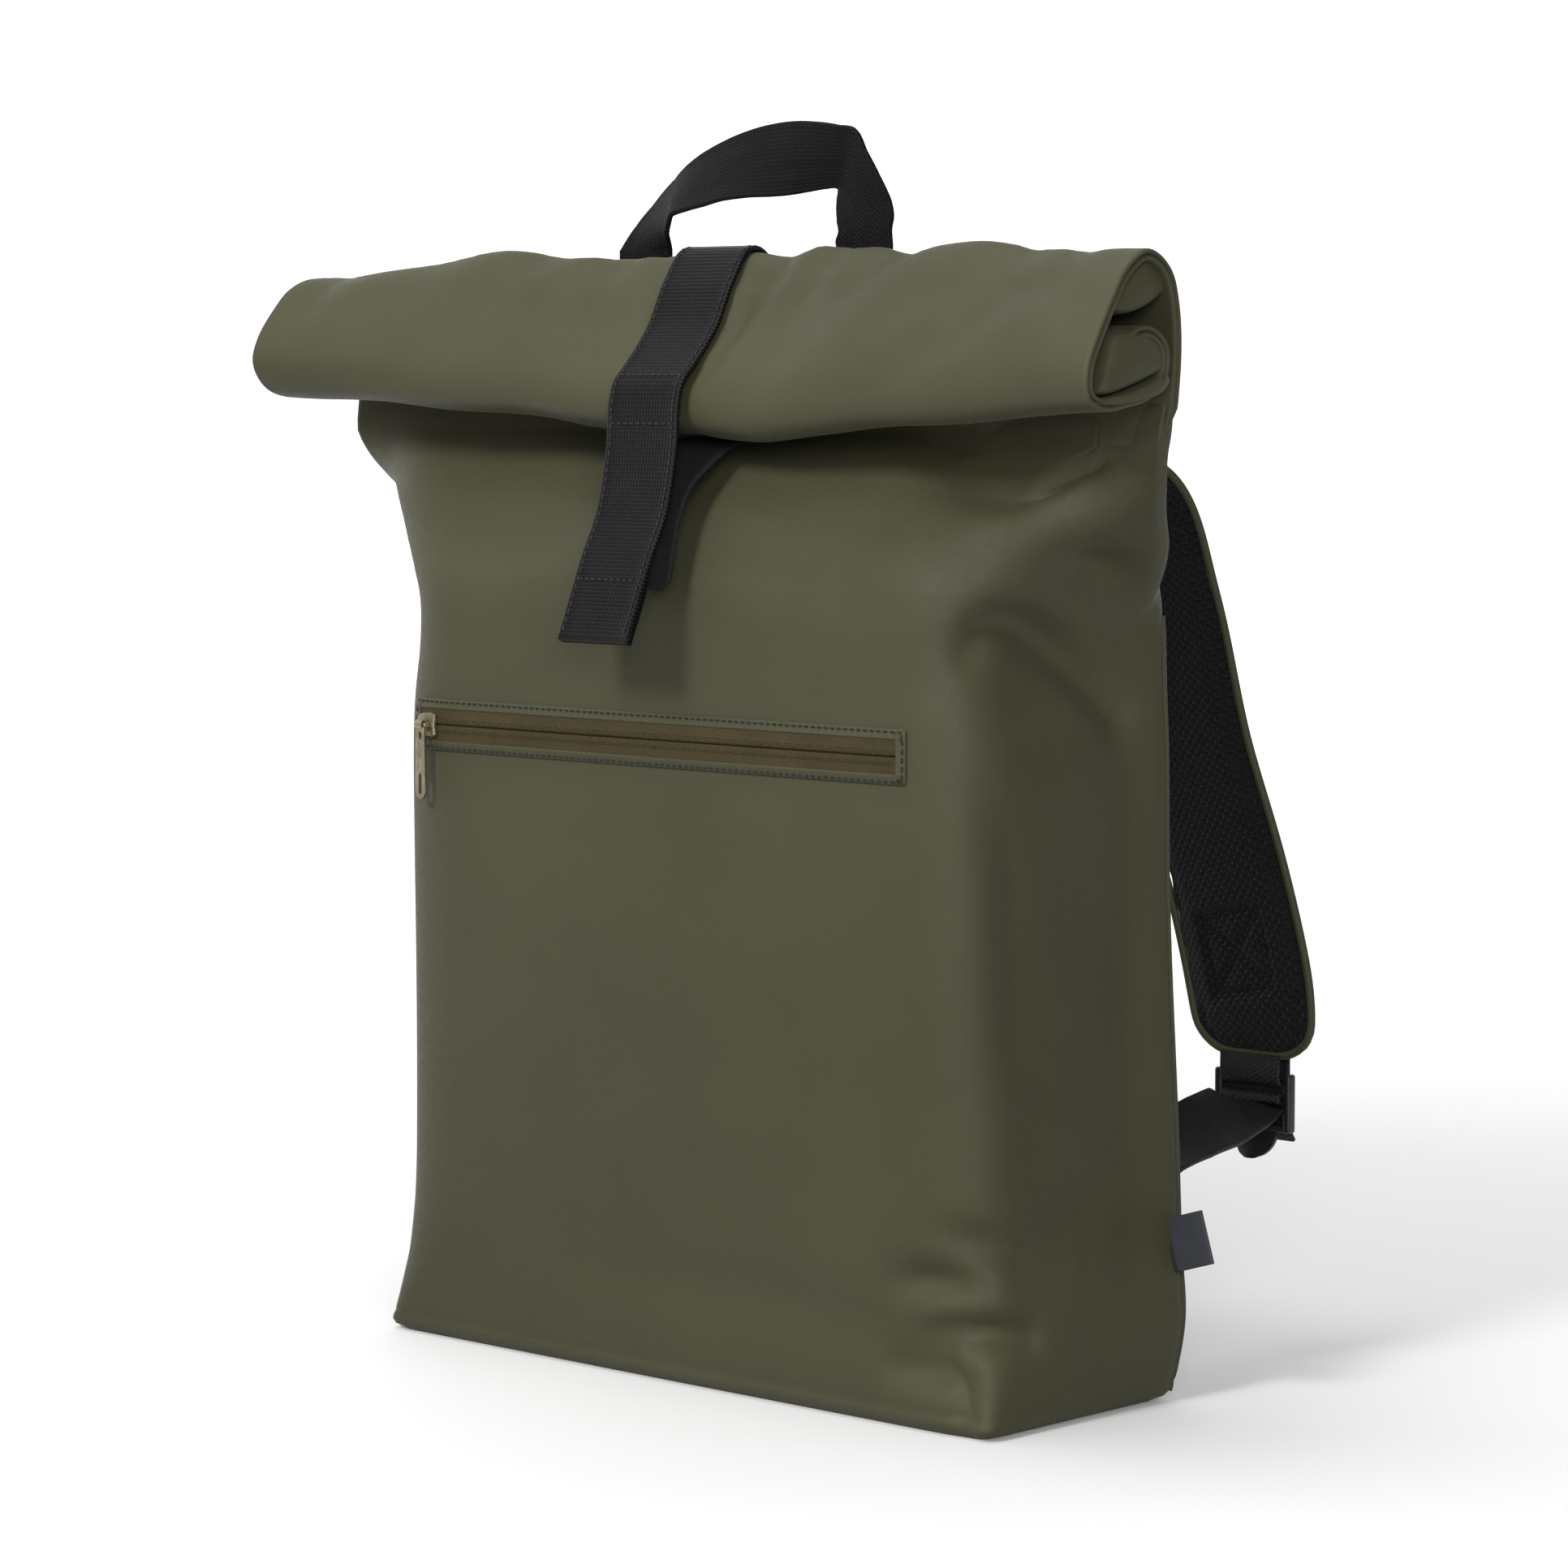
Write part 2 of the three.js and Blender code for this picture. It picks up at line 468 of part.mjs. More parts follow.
// A point of the body's surface moved by the dents
function dented(x, y, z) {
  const moved = new THREE.Vector3(x, y, z);
  for (const dent of DENTS) {
    const dx = (x / BODY_WIDTH - dent.x) / dent.spreadX;
    const dy = (y / BODY_DEPTH - dent.y) / dent.spreadY;
    const dz = (z / NECK_HEIGHT - dent.z) / dent.spreadZ;
    const depth = dent.push * BODY_DEPTH * Math.exp(-dx * dx - dy * dy - dz * dz);
    if (dent.face === 'side') moved.x -= Math.sign(dent.x) * depth;
    else moved.y += depth;
  }
  return moved;
}

// The same outline drawn in by a wall's thickness
function insetOutline(outline, wall) {
  const count = outline.length;
  return outline.map((p, i) => {
    const before = outline[(i + count - 1) % count];
    const after = outline[(i + 1) % count];
    const a = new THREE.Vector2(p.x - before.x, p.y - before.y).normalize();
    const b = new THREE.Vector2(after.x - p.x, after.y - p.y).normalize();
    const inward = new THREE.Vector2(-a.y - b.y, a.x + b.x).normalize();
    const reach = wall / Math.max(Math.abs(inward.x * -a.y + inward.y * a.x), 0.5);
    return new THREE.Vector3(p.x + inward.x * reach, p.y + inward.y * reach, p.z);
  });
}

const bodyRings = RING_HEIGHTS.map((share) => bodyOutline(share * NECK_HEIGHT));

// Where a line along Y at (x, z) meets the body: the front panel (-1) or the back panel (+1)
function panelY(x, z, side) {
  const share = z / NECK_HEIGHT;
  let i = 0;
  while (i < RING_HEIGHTS.length - 2 && RING_HEIGHTS[i + 1] < share) i += 1;
  const t = (share - RING_HEIGHTS[i]) / (RING_HEIGHTS[i + 1] - RING_HEIGHTS[i]);
  const meets = (ring) => {
    let best = -side * Infinity;
    ring.forEach((p, k) => {
      const q = ring[(k + 1) % ring.length];
      if ((p.x - x) * (q.x - x) > 0 || p.x === q.x) return;
      const y = p.y + ((q.y - p.y) * (x - p.x)) / (q.x - p.x);
      if (side * y > side * best) best = y;
    });
    return best;
  };
  return meets(bodyRings[i]) * (1 - t) + meets(bodyRings[i + 1]) * t;
}

// A point lifted off the front or back panel along its normal, and that normal
function offPanel(x, z, side, lift) {
  const step = 1.5;
  const alongX = (panelY(x + step, z, side) - panelY(x - step, z, side)) / (2 * step);
  const alongZ = (panelY(x, z + step / 2, side) - panelY(x, z - step / 2, side)) / step;
  const normal = new THREE.Vector3(-side * alongX, side, -side * alongZ).normalize();
  const point = new THREE.Vector3(x, panelY(x, z, side), z).addScaledVector(normal, lift);
  return { point, normal };
}

// A flat piece that follows a panel: its rows run up, its columns across
function panelPatch(columns, rows, side, lift, thickness) {
  const sections = columns.map((x) => {
    const low = rows.map((z) => offPanel(x, z, side, lift).point);
    const high = rows.map((z) => offPanel(x, z, side, lift + thickness).point);
    return [...low, ...high.reverse()];
  });
  return loftSolid(sections);
}

function evenly(from, to, steps) {
  return Array.from({ length: steps + 1 }, (_, i) => from + ((to - from) * i) / steps);
}

// The ends of a stretch with the given places that lie between them, in order
function stretch(from, to, places) {
  const between = places.filter((place) => place > from + 1 && place < to - 1).sort((a, b) => a - b);
  return [from, ...between, to];
}

// Columns and rows where the panel's facets meet, so that a flat piece lies along them
function panelColumns(from, to, z, side) {
  const onSide = bodyOutline(z).filter((p) => side * p.y > side * panelY(0, z, side) / 2);
  return stretch(from, to, onSide.map((p) => p.x));
}

function panelRows(from, to) {
  return stretch(from, to, RING_HEIGHTS.map((share) => share * NECK_HEIGHT));
}

// A strap through stations { at, across, width, thickness }. Its section is a rectangle, or with
// soft set a pad's section with rounded edges; a slanted station keeps its line across as given,
// and the others are squared to the strap's way along.
function strap(stations, soft = false) {
  const corners = soft
    ? [[-1, -0.35], [-0.9, -0.85], [-0.72, -1], [0.72, -1], [0.9, -0.85], [1, -0.35],
      [1, 0.35], [0.9, 0.85], [0.72, 1], [-0.72, 1], [-0.9, 0.85], [-1, 0.35]]
    : [[-1, -1], [1, -1], [1, 1], [-1, 1]];
  const rings = stations.map((station, i) => {
    const before = stations[Math.max(i - 1, 0)].at;
    const after = stations[Math.min(i + 1, stations.length - 1)].at;
    const along = after.clone().sub(before).normalize();
    const across = station.across.clone();
    if (!station.slanted) {
      across.addScaledVector(along, -across.dot(along)).normalize();
    }
    const up = along.clone().cross(across).normalize();
    return corners.map(([u, v]) => station.at.clone()
      .addScaledVector(across, (u * station.width) / 2)
      .addScaledVector(up, (v * station.thickness) / 2));
  });
  return loftSolid(rings);
}

// Stations along a smooth curve through the given ones, which are kept
function smoothed(stations, steps) {
  const curve = new THREE.CatmullRomCurve3(stations.map((s) => s.at), false, 'centripetal');
  const last = stations.length - 1;
  return evenly(0, last, last * steps).map((place) => {
    const i = Math.min(Math.floor(place), last - 1);
    const t = place - i;
    const a = stations[i];
    const b = stations[i + 1];
    return {
      at: curve.getPoint(place / last),
      across: a.across.clone().lerp(b.across, t).normalize(),
      slanted: a.slanted || b.slanted,
      width: a.width + (b.width - a.width) * t,
      thickness: a.thickness + (b.thickness - a.thickness) * t,
    };
  });
}

// Body: one wall of coated fabric, open at the neck
function bagShell() {
  const inner = bodyRings.map((ring, i) => {
    const inset = insetOutline(ring, FABRIC_WALL);
    if (i === 0) inset.forEach((p) => { p.z = FABRIC_WALL; });
    return inset;
  });
  const floorRing = inner[0];
  const wallRings = inner.slice(1).filter((ring) => ring[0].z > FABRIC_WALL + 1);
  return loftSolid([...bodyRings, ...wallRings.reverse(), floorRing], true);
}

// Rolled mouth: the two panels together, lofted along X through the roll's folds
function rolledTop() {
  const stations = [-1, -0.95, -0.86, -0.74, -0.62, -0.49, -0.36, -0.23, -0.1,
    0.1, 0.23, 0.36, 0.49, 0.62, 0.74, 0.86, 1];
  const rings = stations.map((share) => {
    const line = rollLine(share);
    const outside = line.map((p) => p.at.clone().addScaledVector(p.normal, ROLL_THICKNESS / 2));
    const inside = line.map((p) => p.at.clone().addScaledVector(p.normal, -ROLL_THICKNESS / 2));
    const reach = line.map((p) => (share * ROLL_LENGTH) / 2 * (1 - ROLL_NECK_TAPER * Math.max(1 - p.t / 0.2, 0)));
    return [...outside, ...inside.reverse()].map((p, i, all) => {
      p.x = i < reach.length ? reach[i] : reach[all.length - 1 - i];
      return p;
    });
  });
  return loftSolid(rings);
}

// The roll's middle line at a share of its half length, as points with normals that face outward
function rollLine(share) {
  const curve = new THREE.CatmullRomCurve3(rollFoldsAt(share), false, 'centripetal');
  return evenly(0, 1, ROLL_STEPS).map((t) => {
    const along = curve.getTangent(t);
    return { at: curve.getPoint(t), normal: new THREE.Vector3(0, along.z, -along.y), t };
  });
}

const strapX = new THREE.Vector3(1, 0, 0);

// Webbing that climbs the back panel from the yoke to the roll at x
function upTheBack(x, thickness, clearance) {
  return panelRows(YOKE_TOP + GAP + 0.6, NECK_HEIGHT - 0.8)
    .map((z) => offPanel(x, z, 1, clearance + thickness / 2).point);
}

// Closure strap: from the yoke up the back, over the roll and down to a folded hem in front
function closureStrap() {
  const lift = ROLL_THICKNESS / 2 + GAP + CLOSURE_THICKNESS / 2;
  const lastContact = ROLL_FRONT_ROW / (ROLL_FOLDS.length - 1);
  const overRoll = rollLine(0)
    .filter((p) => p.t > 0.06 && p.t < lastContact)
    .map((p) => p.at.clone().addScaledVector(p.normal, lift));
  const leaves = overRoll[overRoll.length - 1];
  const held = [...upTheBack(0, CLOSURE_THICKNESS, GAP), ...overRoll].map((at) => ({
    at, across: strapX, width: CLOSURE_WIDTH, thickness: CLOSURE_THICKNESS,
  }));
  const free = CLOSURE_FREE_END.map((row) => ({
    at: new THREE.Vector3(0, leaves.y - row.forward * CLOSURE_DROP, leaves.z - row.drop * CLOSURE_DROP),
    across: strapX,
    width: CLOSURE_WIDTH,
    thickness: CLOSURE_THICKNESS * row.plies,
  }));
  return strap([...held, ...smoothed([held[held.length - 1], ...free], 2).slice(1)]);
}

// Loop tape: sewn to the front of the neck and hanging behind the closure strap
function loopTape() {
  const seam = offPanel(0, NECK_HEIGHT - LOOP_TAPE_SEAM, -1, GAP + CLOSURE_THICKNESS / 2).point;
  const hang = LOOP_TAPE_HANG.map((row) => ({
    at: new THREE.Vector3(0, seam.y - row.forward * LOOP_TAPE_DROP, seam.z - row.drop * LOOP_TAPE_DROP),
    across: strapX,
    width: CLOSURE_WIDTH * row.width,
    thickness: CLOSURE_THICKNESS,
  }));
  const start = { at: seam, across: strapX, width: CLOSURE_WIDTH, thickness: CLOSURE_THICKNESS };
  return strap(smoothed([start, ...hang], 2));
}

const zipLeft = ZIP_CENTRE_X - ZIP_LENGTH / 2;
const zipRight = ZIP_CENTRE_X + ZIP_LENGTH / 2;
const zipBottom = ZIP_CENTRE_Z - ZIP_HEIGHT / 2;
const zipTop = ZIP_CENTRE_Z + ZIP_HEIGHT / 2;

// Welt: the turned and stitched lip round the zip's opening
function zipWelt() {
  const shares = panelColumns(zipLeft, zipRight, ZIP_CENTRE_Z, -1).map((x) => (x - zipLeft) / ZIP_LENGTH);
  const around = [...shares.map((share) => [share, 0]), ...shares.reverse().map((share) => [share, 1])];
  return loopSolid(around.map(([u, v]) => {
    const outerX = zipLeft + u * ZIP_LENGTH;
    const outerZ = zipBottom + v * ZIP_HEIGHT;
    const innerX = zipLeft + WELT_WIDTH + u * (ZIP_LENGTH - 2 * WELT_WIDTH);
    const innerZ = zipBottom + WELT_WIDTH + v * (ZIP_HEIGHT - 2 * WELT_WIDTH);
    return [
      offPanel(outerX, outerZ, -1, PANEL_GAP).point,
      offPanel(innerX, innerZ, -1, PANEL_GAP).point,
      offPanel(innerX, innerZ, -1, PANEL_GAP + WELT_THICKNESS).point,
      offPanel(outerX, outerZ, -1, PANEL_GAP + WELT_THICKNESS).point,
    ];
  }));
}

// One of the zip's two tapes, which meet at the slit along the middle
function zipTape(upper) {
  const near = ZIP_CENTRE_Z + (upper ? GAP / 2 : -GAP / 2);
  const far = upper ? zipTop - WELT_WIDTH - GAP : zipBottom + WELT_WIDTH + GAP;
  const columns = panelColumns(zipLeft + WELT_WIDTH + GAP, zipRight - WELT_WIDTH - GAP, ZIP_CENTRE_Z, -1);
  return panelPatch(columns, [near, far], -1, PANEL_GAP, TAPE_THICKNESS);
}

// The slider stands on the tapes at the zip's left end, square to the panel there
const eyeRadius = BRIDGE_RADIUS + GAP + PULL_EYE_WALL;
const bridgeHeight = SLIDER_PLATE + GAP + eyeRadius;
const sliderX = zipLeft + WELT_WIDTH + SLIDER_LENGTH / 2 + 2 * GAP;
const sliderSeat = offPanel(sliderX, ZIP_CENTRE_Z, -1, PANEL_GAP + TAPE_THICKNESS + GAP);

function boxAt(width, depth, height, x, y, z) {
  return new THREE.BoxGeometry(width, depth, height).translate(x, y, z);
}

// Slider: a plate with a round bridge bar along the zip, in its own frame with -Y outward
function zipSlider() {
  const post = BRIDGE_RADIUS * 2;
  const postX = (PULL_EYE_LENGTH + post) / 2 + GAP;
  const bar = new THREE.CylinderGeometry(BRIDGE_RADIUS, BRIDGE_RADIUS, 2 * postX + post, 12)
    .rotateZ(Math.PI / 2).translate(0, -bridgeHeight, 0);
  const posts = [-postX, postX].map((x) => boxAt(post, bridgeHeight, post * 0.8, x, -bridgeHeight / 2, 0));
  const nose = SLIDER_LENGTH * 0.3;
  const outline = new THREE.Shape([
    new THREE.Vector2(-SLIDER_LENGTH / 2, -SLIDER_WIDTH * 0.28),
    new THREE.Vector2(-SLIDER_LENGTH / 2 + nose, -SLIDER_WIDTH / 2),
    new THREE.Vector2(SLIDER_LENGTH / 2, -SLIDER_WIDTH / 2),
    new THREE.Vector2(SLIDER_LENGTH / 2, SLIDER_WIDTH / 2),
    new THREE.Vector2(-SLIDER_LENGTH / 2 + nose, SLIDER_WIDTH / 2),
    new THREE.Vector2(-SLIDER_LENGTH / 2, SLIDER_WIDTH * 0.28),
  ]);
  const plate = new THREE.ExtrudeGeometry(outline, { depth: SLIDER_PLATE, bevelEnabled: false })
    .rotateX(Math.PI / 2);
  return joined([plate, bar, ...posts]);
}

// Pull: a flat tab with a short and a long hole, hung by a rolled eye on the slider's bridge
function zipPull() {
  const width = PULL_WIDTH;
  const body = new THREE.Shape();
  const bottom = -PULL_LENGTH + width / 2;
  body.moveTo(-width * 0.4, -BRIDGE_RADIUS - GAP);
  body.lineTo(-width / 2, bottom);
  body.absarc(0, bottom, width / 2, Math.PI, 2 * Math.PI, false);
  body.lineTo(width * 0.4, -BRIDGE_RADIUS - GAP);
  body.closePath();
  const hole = (top, low, half) => {
    const path = new THREE.Path();
    path.absarc(0, top - half, half, 0, Math.PI, false);
    path.absarc(0, low + half, half, Math.PI, 2 * Math.PI, false);
    path.closePath();
    return path;
  };
  body.holes.push(hole(-width * 0.42, -width * 0.98, width * 0.18));
  body.holes.push(hole(bottom + width * 0.9, bottom - width * 0.28, width * 0.25));
  const tab = new THREE.ExtrudeGeometry(body, { depth: PULL_THICKNESS, bevelEnabled: false, curveSegments: 6 })
    .translate(0, 0, -PULL_THICKNESS / 2).rotateX(Math.PI / 2);
  const eye = new THREE.LatheGeometry([
    new THREE.Vector2(BRIDGE_RADIUS + GAP, -PULL_EYE_LENGTH / 2),
    new THREE.Vector2(eyeRadius, -PULL_EYE_LENGTH / 2),
    new THREE.Vector2(eyeRadius, PULL_EYE_LENGTH / 2),
    new THREE.Vector2(BRIDGE_RADIUS + GAP, PULL_EYE_LENGTH / 2),
    new THREE.Vector2(BRIDGE_RADIUS + GAP, -PULL_EYE_LENGTH / 2),
  ], 14).rotateZ(Math.PI / 2);
  return joined([tab, eye]);
}

// Yoke: the band across the back under which the handle, closure and shoulder straps are sewn
function backYoke() {
  const columns = panelColumns(-YOKE_WIDTH / 2, YOKE_WIDTH / 2, YOKE_TOP, 1);
  return panelPatch(columns, panelRows(YOKE_BOTTOM, YOKE_TOP), 1, GAP, YOKE_THICKNESS);
}

// Grab handle: one webbing whose legs climb behind the roll and turn on edge over it
function grabHandle() {
  const crest = rollFoldsAt(0)[ROLL_CREST_ROW].z + ROLL_THICKNESS;
  const legX = HANDLE_SPREAD / 2;
  const behindRoll = (x) => {
    const shares = [-1, 0, 1].map((side) => (x + (side * HANDLE_WEBBING) / 2) / (ROLL_LENGTH / 2));
    const faces = shares.map((share) => Math.max(...rollFoldsAt(share).map((p) => p.y)));
    return Math.max(...faces) + (ROLL_THICKNESS + HANDLE_THICKNESS) / 2 + 2 * GAP;
  };
  const flat = (at) => ({ at, across: strapX, width: HANDLE_WEBBING, thickness: HANDLE_THICKNESS });
  const leg = (x) => {
    const climb = upTheBack(x, HANDLE_THICKNESS, 2 * GAP);
    const rise = evenly(NECK_HEIGHT + 0.2 * ROLL_HEIGHT, crest, 3)
      .map((z) => new THREE.Vector3(x, behindRoll(x), z));
    return [...climb, ...rise].map(flat);
  };
  const arch = HANDLE_ARCH.map((row) => {
    const angle = (row.turn * Math.PI) / 2;
    return {
      at: new THREE.Vector3(row.across * HANDLE_SPREAD, behindRoll(legX), crest + row.up * HANDLE_RISE),
      across: new THREE.Vector3(Math.cos(angle), -Math.tan(row.tilt), -Math.sin(angle)).normalize(),
      width: HANDLE_WEBBING,
      thickness: HANDLE_THICKNESS,
      slanted: true,
    };
  });
  const right = leg(legX).reverse().map((s) => ({ ...s, across: strapX.clone().negate() }));
  const left = leg(-legX);
  const over = smoothed([left[left.length - 1], ...arch, right[0]], 2);
  return strap([...left.slice(0, -1), ...over, ...right.slice(1)]);
}

// Where the right pad ends and its buckle hangs; hand is 1 on the right and -1 on the left
const padBehind = BODY_SECTIONS[6].back * BODY_DEPTH;
const padEnd = PAD_ROUTE[PAD_ROUTE.length - 1];
const buckleY = padBehind + padEnd.back * PAD_BOW;
const buckleZ = padEnd.up * NECK_HEIGHT - BUCKLE_DROP;
const buckleX = padEnd.out * BODY_WIDTH;
const barPitch = BUCKLE_BAR + BUCKLE_SLOT;
const turnRadius = BUCKLE_BAR * Math.SQRT1_2 + GAP + STRAP_THICKNESS / 2;

// Shoulder pad: leaves the yoke, bows out behind the back and ends rounded above the buckle
function shoulderPad(hand) {
  const seat = offPanel(hand * PAD_START_OUT * BODY_WIDTH, PAD_START_UP * NECK_HEIGHT, 1, 2 * GAP + YOKE_THICKNESS);
  const across = new THREE.Vector3(1, 0, 0);
  const start = { at: seat.point, across, width: PAD_TOP_WIDTH, thickness: PAD_THICKNESS };
  const leave = { ...start, at: seat.point.clone().addScaledVector(seat.normal, PAD_THICKNESS / 2) };
  const route = PAD_ROUTE.map((row) => ({
    at: new THREE.Vector3(hand * row.out * BODY_WIDTH, padBehind + row.back * PAD_BOW, row.up * NECK_HEIGHT),
    across,
    width: row.width * PAD_WIDTH,
    thickness: PAD_THICKNESS,
  }));
  return strap([start, ...smoothed([leave, ...route], 2)], true);
}

// Half turn of webbing round a bar, in the YZ plane; over is 1 above the bar and -1 below it
function turnAround(x, y, z, over) {
  return evenly(0, Math.PI, 6).map((angle) => new THREE.Vector3(
    x,
    y - turnRadius * Math.cos(angle),
    z + over * turnRadius * Math.sin(angle),
  ));
}

const webbingStation = (at) => ({ at, across: strapX, width: STRAP_WEBBING, thickness: STRAP_THICKNESS });

// Keeper: the short webbing that holds the buckle under the pad
function buckleKeeper(hand) {
  const x = hand * buckleX;
  const top = padEnd.up * NECK_HEIGHT - GAP;
  const ends = [-turnRadius, turnRadius].map((y) => new THREE.Vector3(x, buckleY + y, top));
  return strap([ends[0], ...turnAround(x, buckleY, buckleZ + barPitch, -1), ends[1]].map(webbingStation));
}

// Buckle: a frame with three bars
function strapBuckle(hand) {
  const slot = STRAP_WEBBING + 4 * GAP;
  const height = 2 * barPitch + BUCKLE_BAR;
  const bars = [-barPitch, 0, barPitch].map((z) => boxAt(slot + BUCKLE_SIDE, BUCKLE_BAR, BUCKLE_BAR, 0, 0, z));
  const sides = [-1, 1].map((side) => boxAt(
    BUCKLE_SIDE, BUCKLE_BAR, height, (side * (slot + BUCKLE_SIDE)) / 2, 0, 0,
  ));
  return joined([...sides, ...bars]).translate(hand * buckleX, buckleY, buckleZ);
}

const anchorX = 0.5 * BODY_WIDTH - ANCHOR_INSET;

// Anchor: the patch low on the back under which the adjusting webbing is sewn
function strapAnchor(hand) {
  const half = ANCHOR_WIDTH / 2;
  const columns = panelColumns(hand * anchorX - half, hand * anchorX + half, ANCHOR_TOP, 1);
  return panelPatch(columns, panelRows(ANCHOR_BOTTOM, ANCHOR_TOP), 1, GAP, ANCHOR_THICKNESS);
}

// Adjusting webbing: from its anchor up through the buckle, round the middle bar, with a free tail
function strapWebbing(hand) {
  const seat = offPanel(hand * anchorX, ANCHOR_TOP + GAP + 0.4, 1, GAP + STRAP_THICKNESS / 2).point;
  const rises = offPanel(hand * anchorX, ANCHOR_TOP + WEBBING_RISE, 1, GAP + STRAP_THICKNESS).point;
  const threads = new THREE.Vector3(hand * buckleX, buckleY - turnRadius, buckleZ - barPitch);
  const route = WEBBING_ROUTE.map((row) => ({
    ...webbingStation(new THREE.Vector3(
      THREE.MathUtils.lerp(seat.x, threads.x, row.across),
      THREE.MathUtils.lerp(seat.y, threads.y, row.back),
      THREE.MathUtils.lerp(seat.z, threads.z + BUCKLE_SLOT, row.rise),
    )),
    across: new THREE.Vector3(Math.cos(row.stand), 0, -hand * Math.sin(row.stand)),
  }));
  const turn = turnAround(hand * buckleX, buckleY, buckleZ, 1);
  const down = turn[turn.length - 1];
  const tail = [
    { back: 0, drop: 0.45 },
    { back: 0.1, drop: 0.75 },
    { back: 0.26, drop: 1 },
  ].map((row) => webbingStation(new THREE.Vector3(down.x, down.y + row.back * TAIL_LENGTH, down.z - row.drop * TAIL_LENGTH)));
  const lead = smoothed([webbingStation(seat), webbingStation(rises), ...route, webbingStation(threads)], 2);
  return strap([...lead, ...turn.map(webbingStation), ...tail]);
}

// Where a line along X at (y, z) meets the right side of the body
function sideX(y, z) {
  const ring = bodyOutline(z);
  let best = 0;
  ring.forEach((p, k) => {
    const q = ring[(k + 1) % ring.length];
    if ((p.y - y) * (q.y - y) > 0 || p.y === q.y) return;
    best = Math.max(best, p.x + ((q.x - p.x) * (y - p.y)) / (q.y - p.y));
  });
  return best;
}

// Label: a folded tab sewn into the right side seam
function sideLabel() {
  const seamY = 0.46 * BODY_DEPTH;
  const clear = 2 * GAP + (Math.sin(LABEL_TILT) * LABEL_HEIGHT) / 2;
  return new THREE.BoxGeometry(LABEL_LENGTH, LABEL_THICKNESS, LABEL_HEIGHT)
    .rotateY(-LABEL_TILT)
    .translate(sideX(seamY, LABEL_CENTRE_Z) + clear + LABEL_LENGTH / 2, seamY, LABEL_CENTRE_Z);
}

function material(color, roughness, metalness = 0) {
  return new THREE.MeshStandardMaterial({ color, roughness, metalness });
}

const finishes = {
  coatedFabric: material(OLIVE, 0.62),
  webbing: material(BLACK_WEBBING, 0.8),
  mesh: material(BLACK_MESH, 0.9),
  plastic: material(BLACK_PLASTIC, 0.45),
  zipTape: material(ZIP_BROWN, 0.75),
  brass: material(DARK_BRASS, 0.38, 0.9),
  label: material(CHARCOAL, 0.85),
};

const bag = new THREE.Group();

function place(name, geometry, finish) {
  const mesh = new THREE.Mesh(geometry, finish);
  mesh.name = name;
  bag.add(mesh);
  return mesh;
}

place('bag_shell', bagShell(), finishes.coatedFabric);
place('rolled_top', rolledTop(), finishes.coatedFabric);
place('closure_strap', closureStrap(), finishes.webbing);
place('closure_loop_tape', loopTape(), finishes.webbing);
place('zip_welt', zipWelt(), finishes.coatedFabric);
place('zip_tape_upper', zipTape(true), finishes.zipTape);
place('zip_tape_lower', zipTape(false), finishes.zipTape);
place('back_yoke', backYoke(), finishes.coatedFabric);
place('grab_handle', grabHandle(), finishes.webbing);
place('side_label', sideLabel(), finishes.label);

for (const [side, hand] of [['right', 1], ['left', -1]]) {
  place(`shoulder_pad_${side}`, shoulderPad(hand), finishes.mesh);
  place(`buckle_keeper_${side}`, buckleKeeper(hand), finishes.webbing);
  place(`strap_buckle_${side}`, strapBuckle(hand), finishes.plastic);
  place(`strap_webbing_${side}`, strapWebbing(hand), finishes.webbing);
  place(`strap_anchor_${side}`, strapAnchor(hand), finishes.coatedFabric);
}

const turnToPanel = Math.atan2(-sliderSeat.normal.x, -sliderSeat.normal.y);
const slider = place('zip_slider', zipSlider(), finishes.brass);
slider.position.copy(sliderSeat.point);
slider.rotation.z = -turnToPanel;
const pull = place('zip_pull', zipPull(), finishes.brass);
pull.rotation.z = -turnToPanel;
pull.position.copy(sliderSeat.point)
  .add(new THREE.Vector3(0, -bridgeHeight, 0).applyEuler(pull.rotation));

export default bag;
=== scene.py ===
# Rolltop backpack in olive coated fabric, standing on its base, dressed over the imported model.
import json
import math

import bmesh
import bpy
import numpy as np
from mathutils import Matrix, Vector
from mathutils.bvhtree import BVHTree


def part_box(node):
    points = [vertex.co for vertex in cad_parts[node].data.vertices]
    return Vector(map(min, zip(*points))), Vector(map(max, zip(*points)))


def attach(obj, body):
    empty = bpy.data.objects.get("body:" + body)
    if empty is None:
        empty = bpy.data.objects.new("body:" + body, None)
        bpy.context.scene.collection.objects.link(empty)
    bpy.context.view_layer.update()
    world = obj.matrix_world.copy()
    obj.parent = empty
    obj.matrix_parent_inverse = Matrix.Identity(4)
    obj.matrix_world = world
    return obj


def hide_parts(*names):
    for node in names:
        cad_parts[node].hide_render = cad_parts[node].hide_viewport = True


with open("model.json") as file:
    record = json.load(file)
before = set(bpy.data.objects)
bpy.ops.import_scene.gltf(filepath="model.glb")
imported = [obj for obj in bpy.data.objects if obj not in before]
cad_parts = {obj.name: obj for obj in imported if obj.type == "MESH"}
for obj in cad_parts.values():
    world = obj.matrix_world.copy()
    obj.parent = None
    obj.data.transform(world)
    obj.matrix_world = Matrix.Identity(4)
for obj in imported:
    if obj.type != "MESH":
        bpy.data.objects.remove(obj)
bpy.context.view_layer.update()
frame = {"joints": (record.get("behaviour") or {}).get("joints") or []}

# Camera, light and floor
# The photograph's viewing angle: from the front right, a little above the middle of the bag, with
# a long lens. A round light stands in front, one at each side and a weak one above. The pale floor
# and the wall behind it glow a little, as a studio's white paper does.
CAMERA_PLACE = (1.3190, -1.4037, 0.3948)
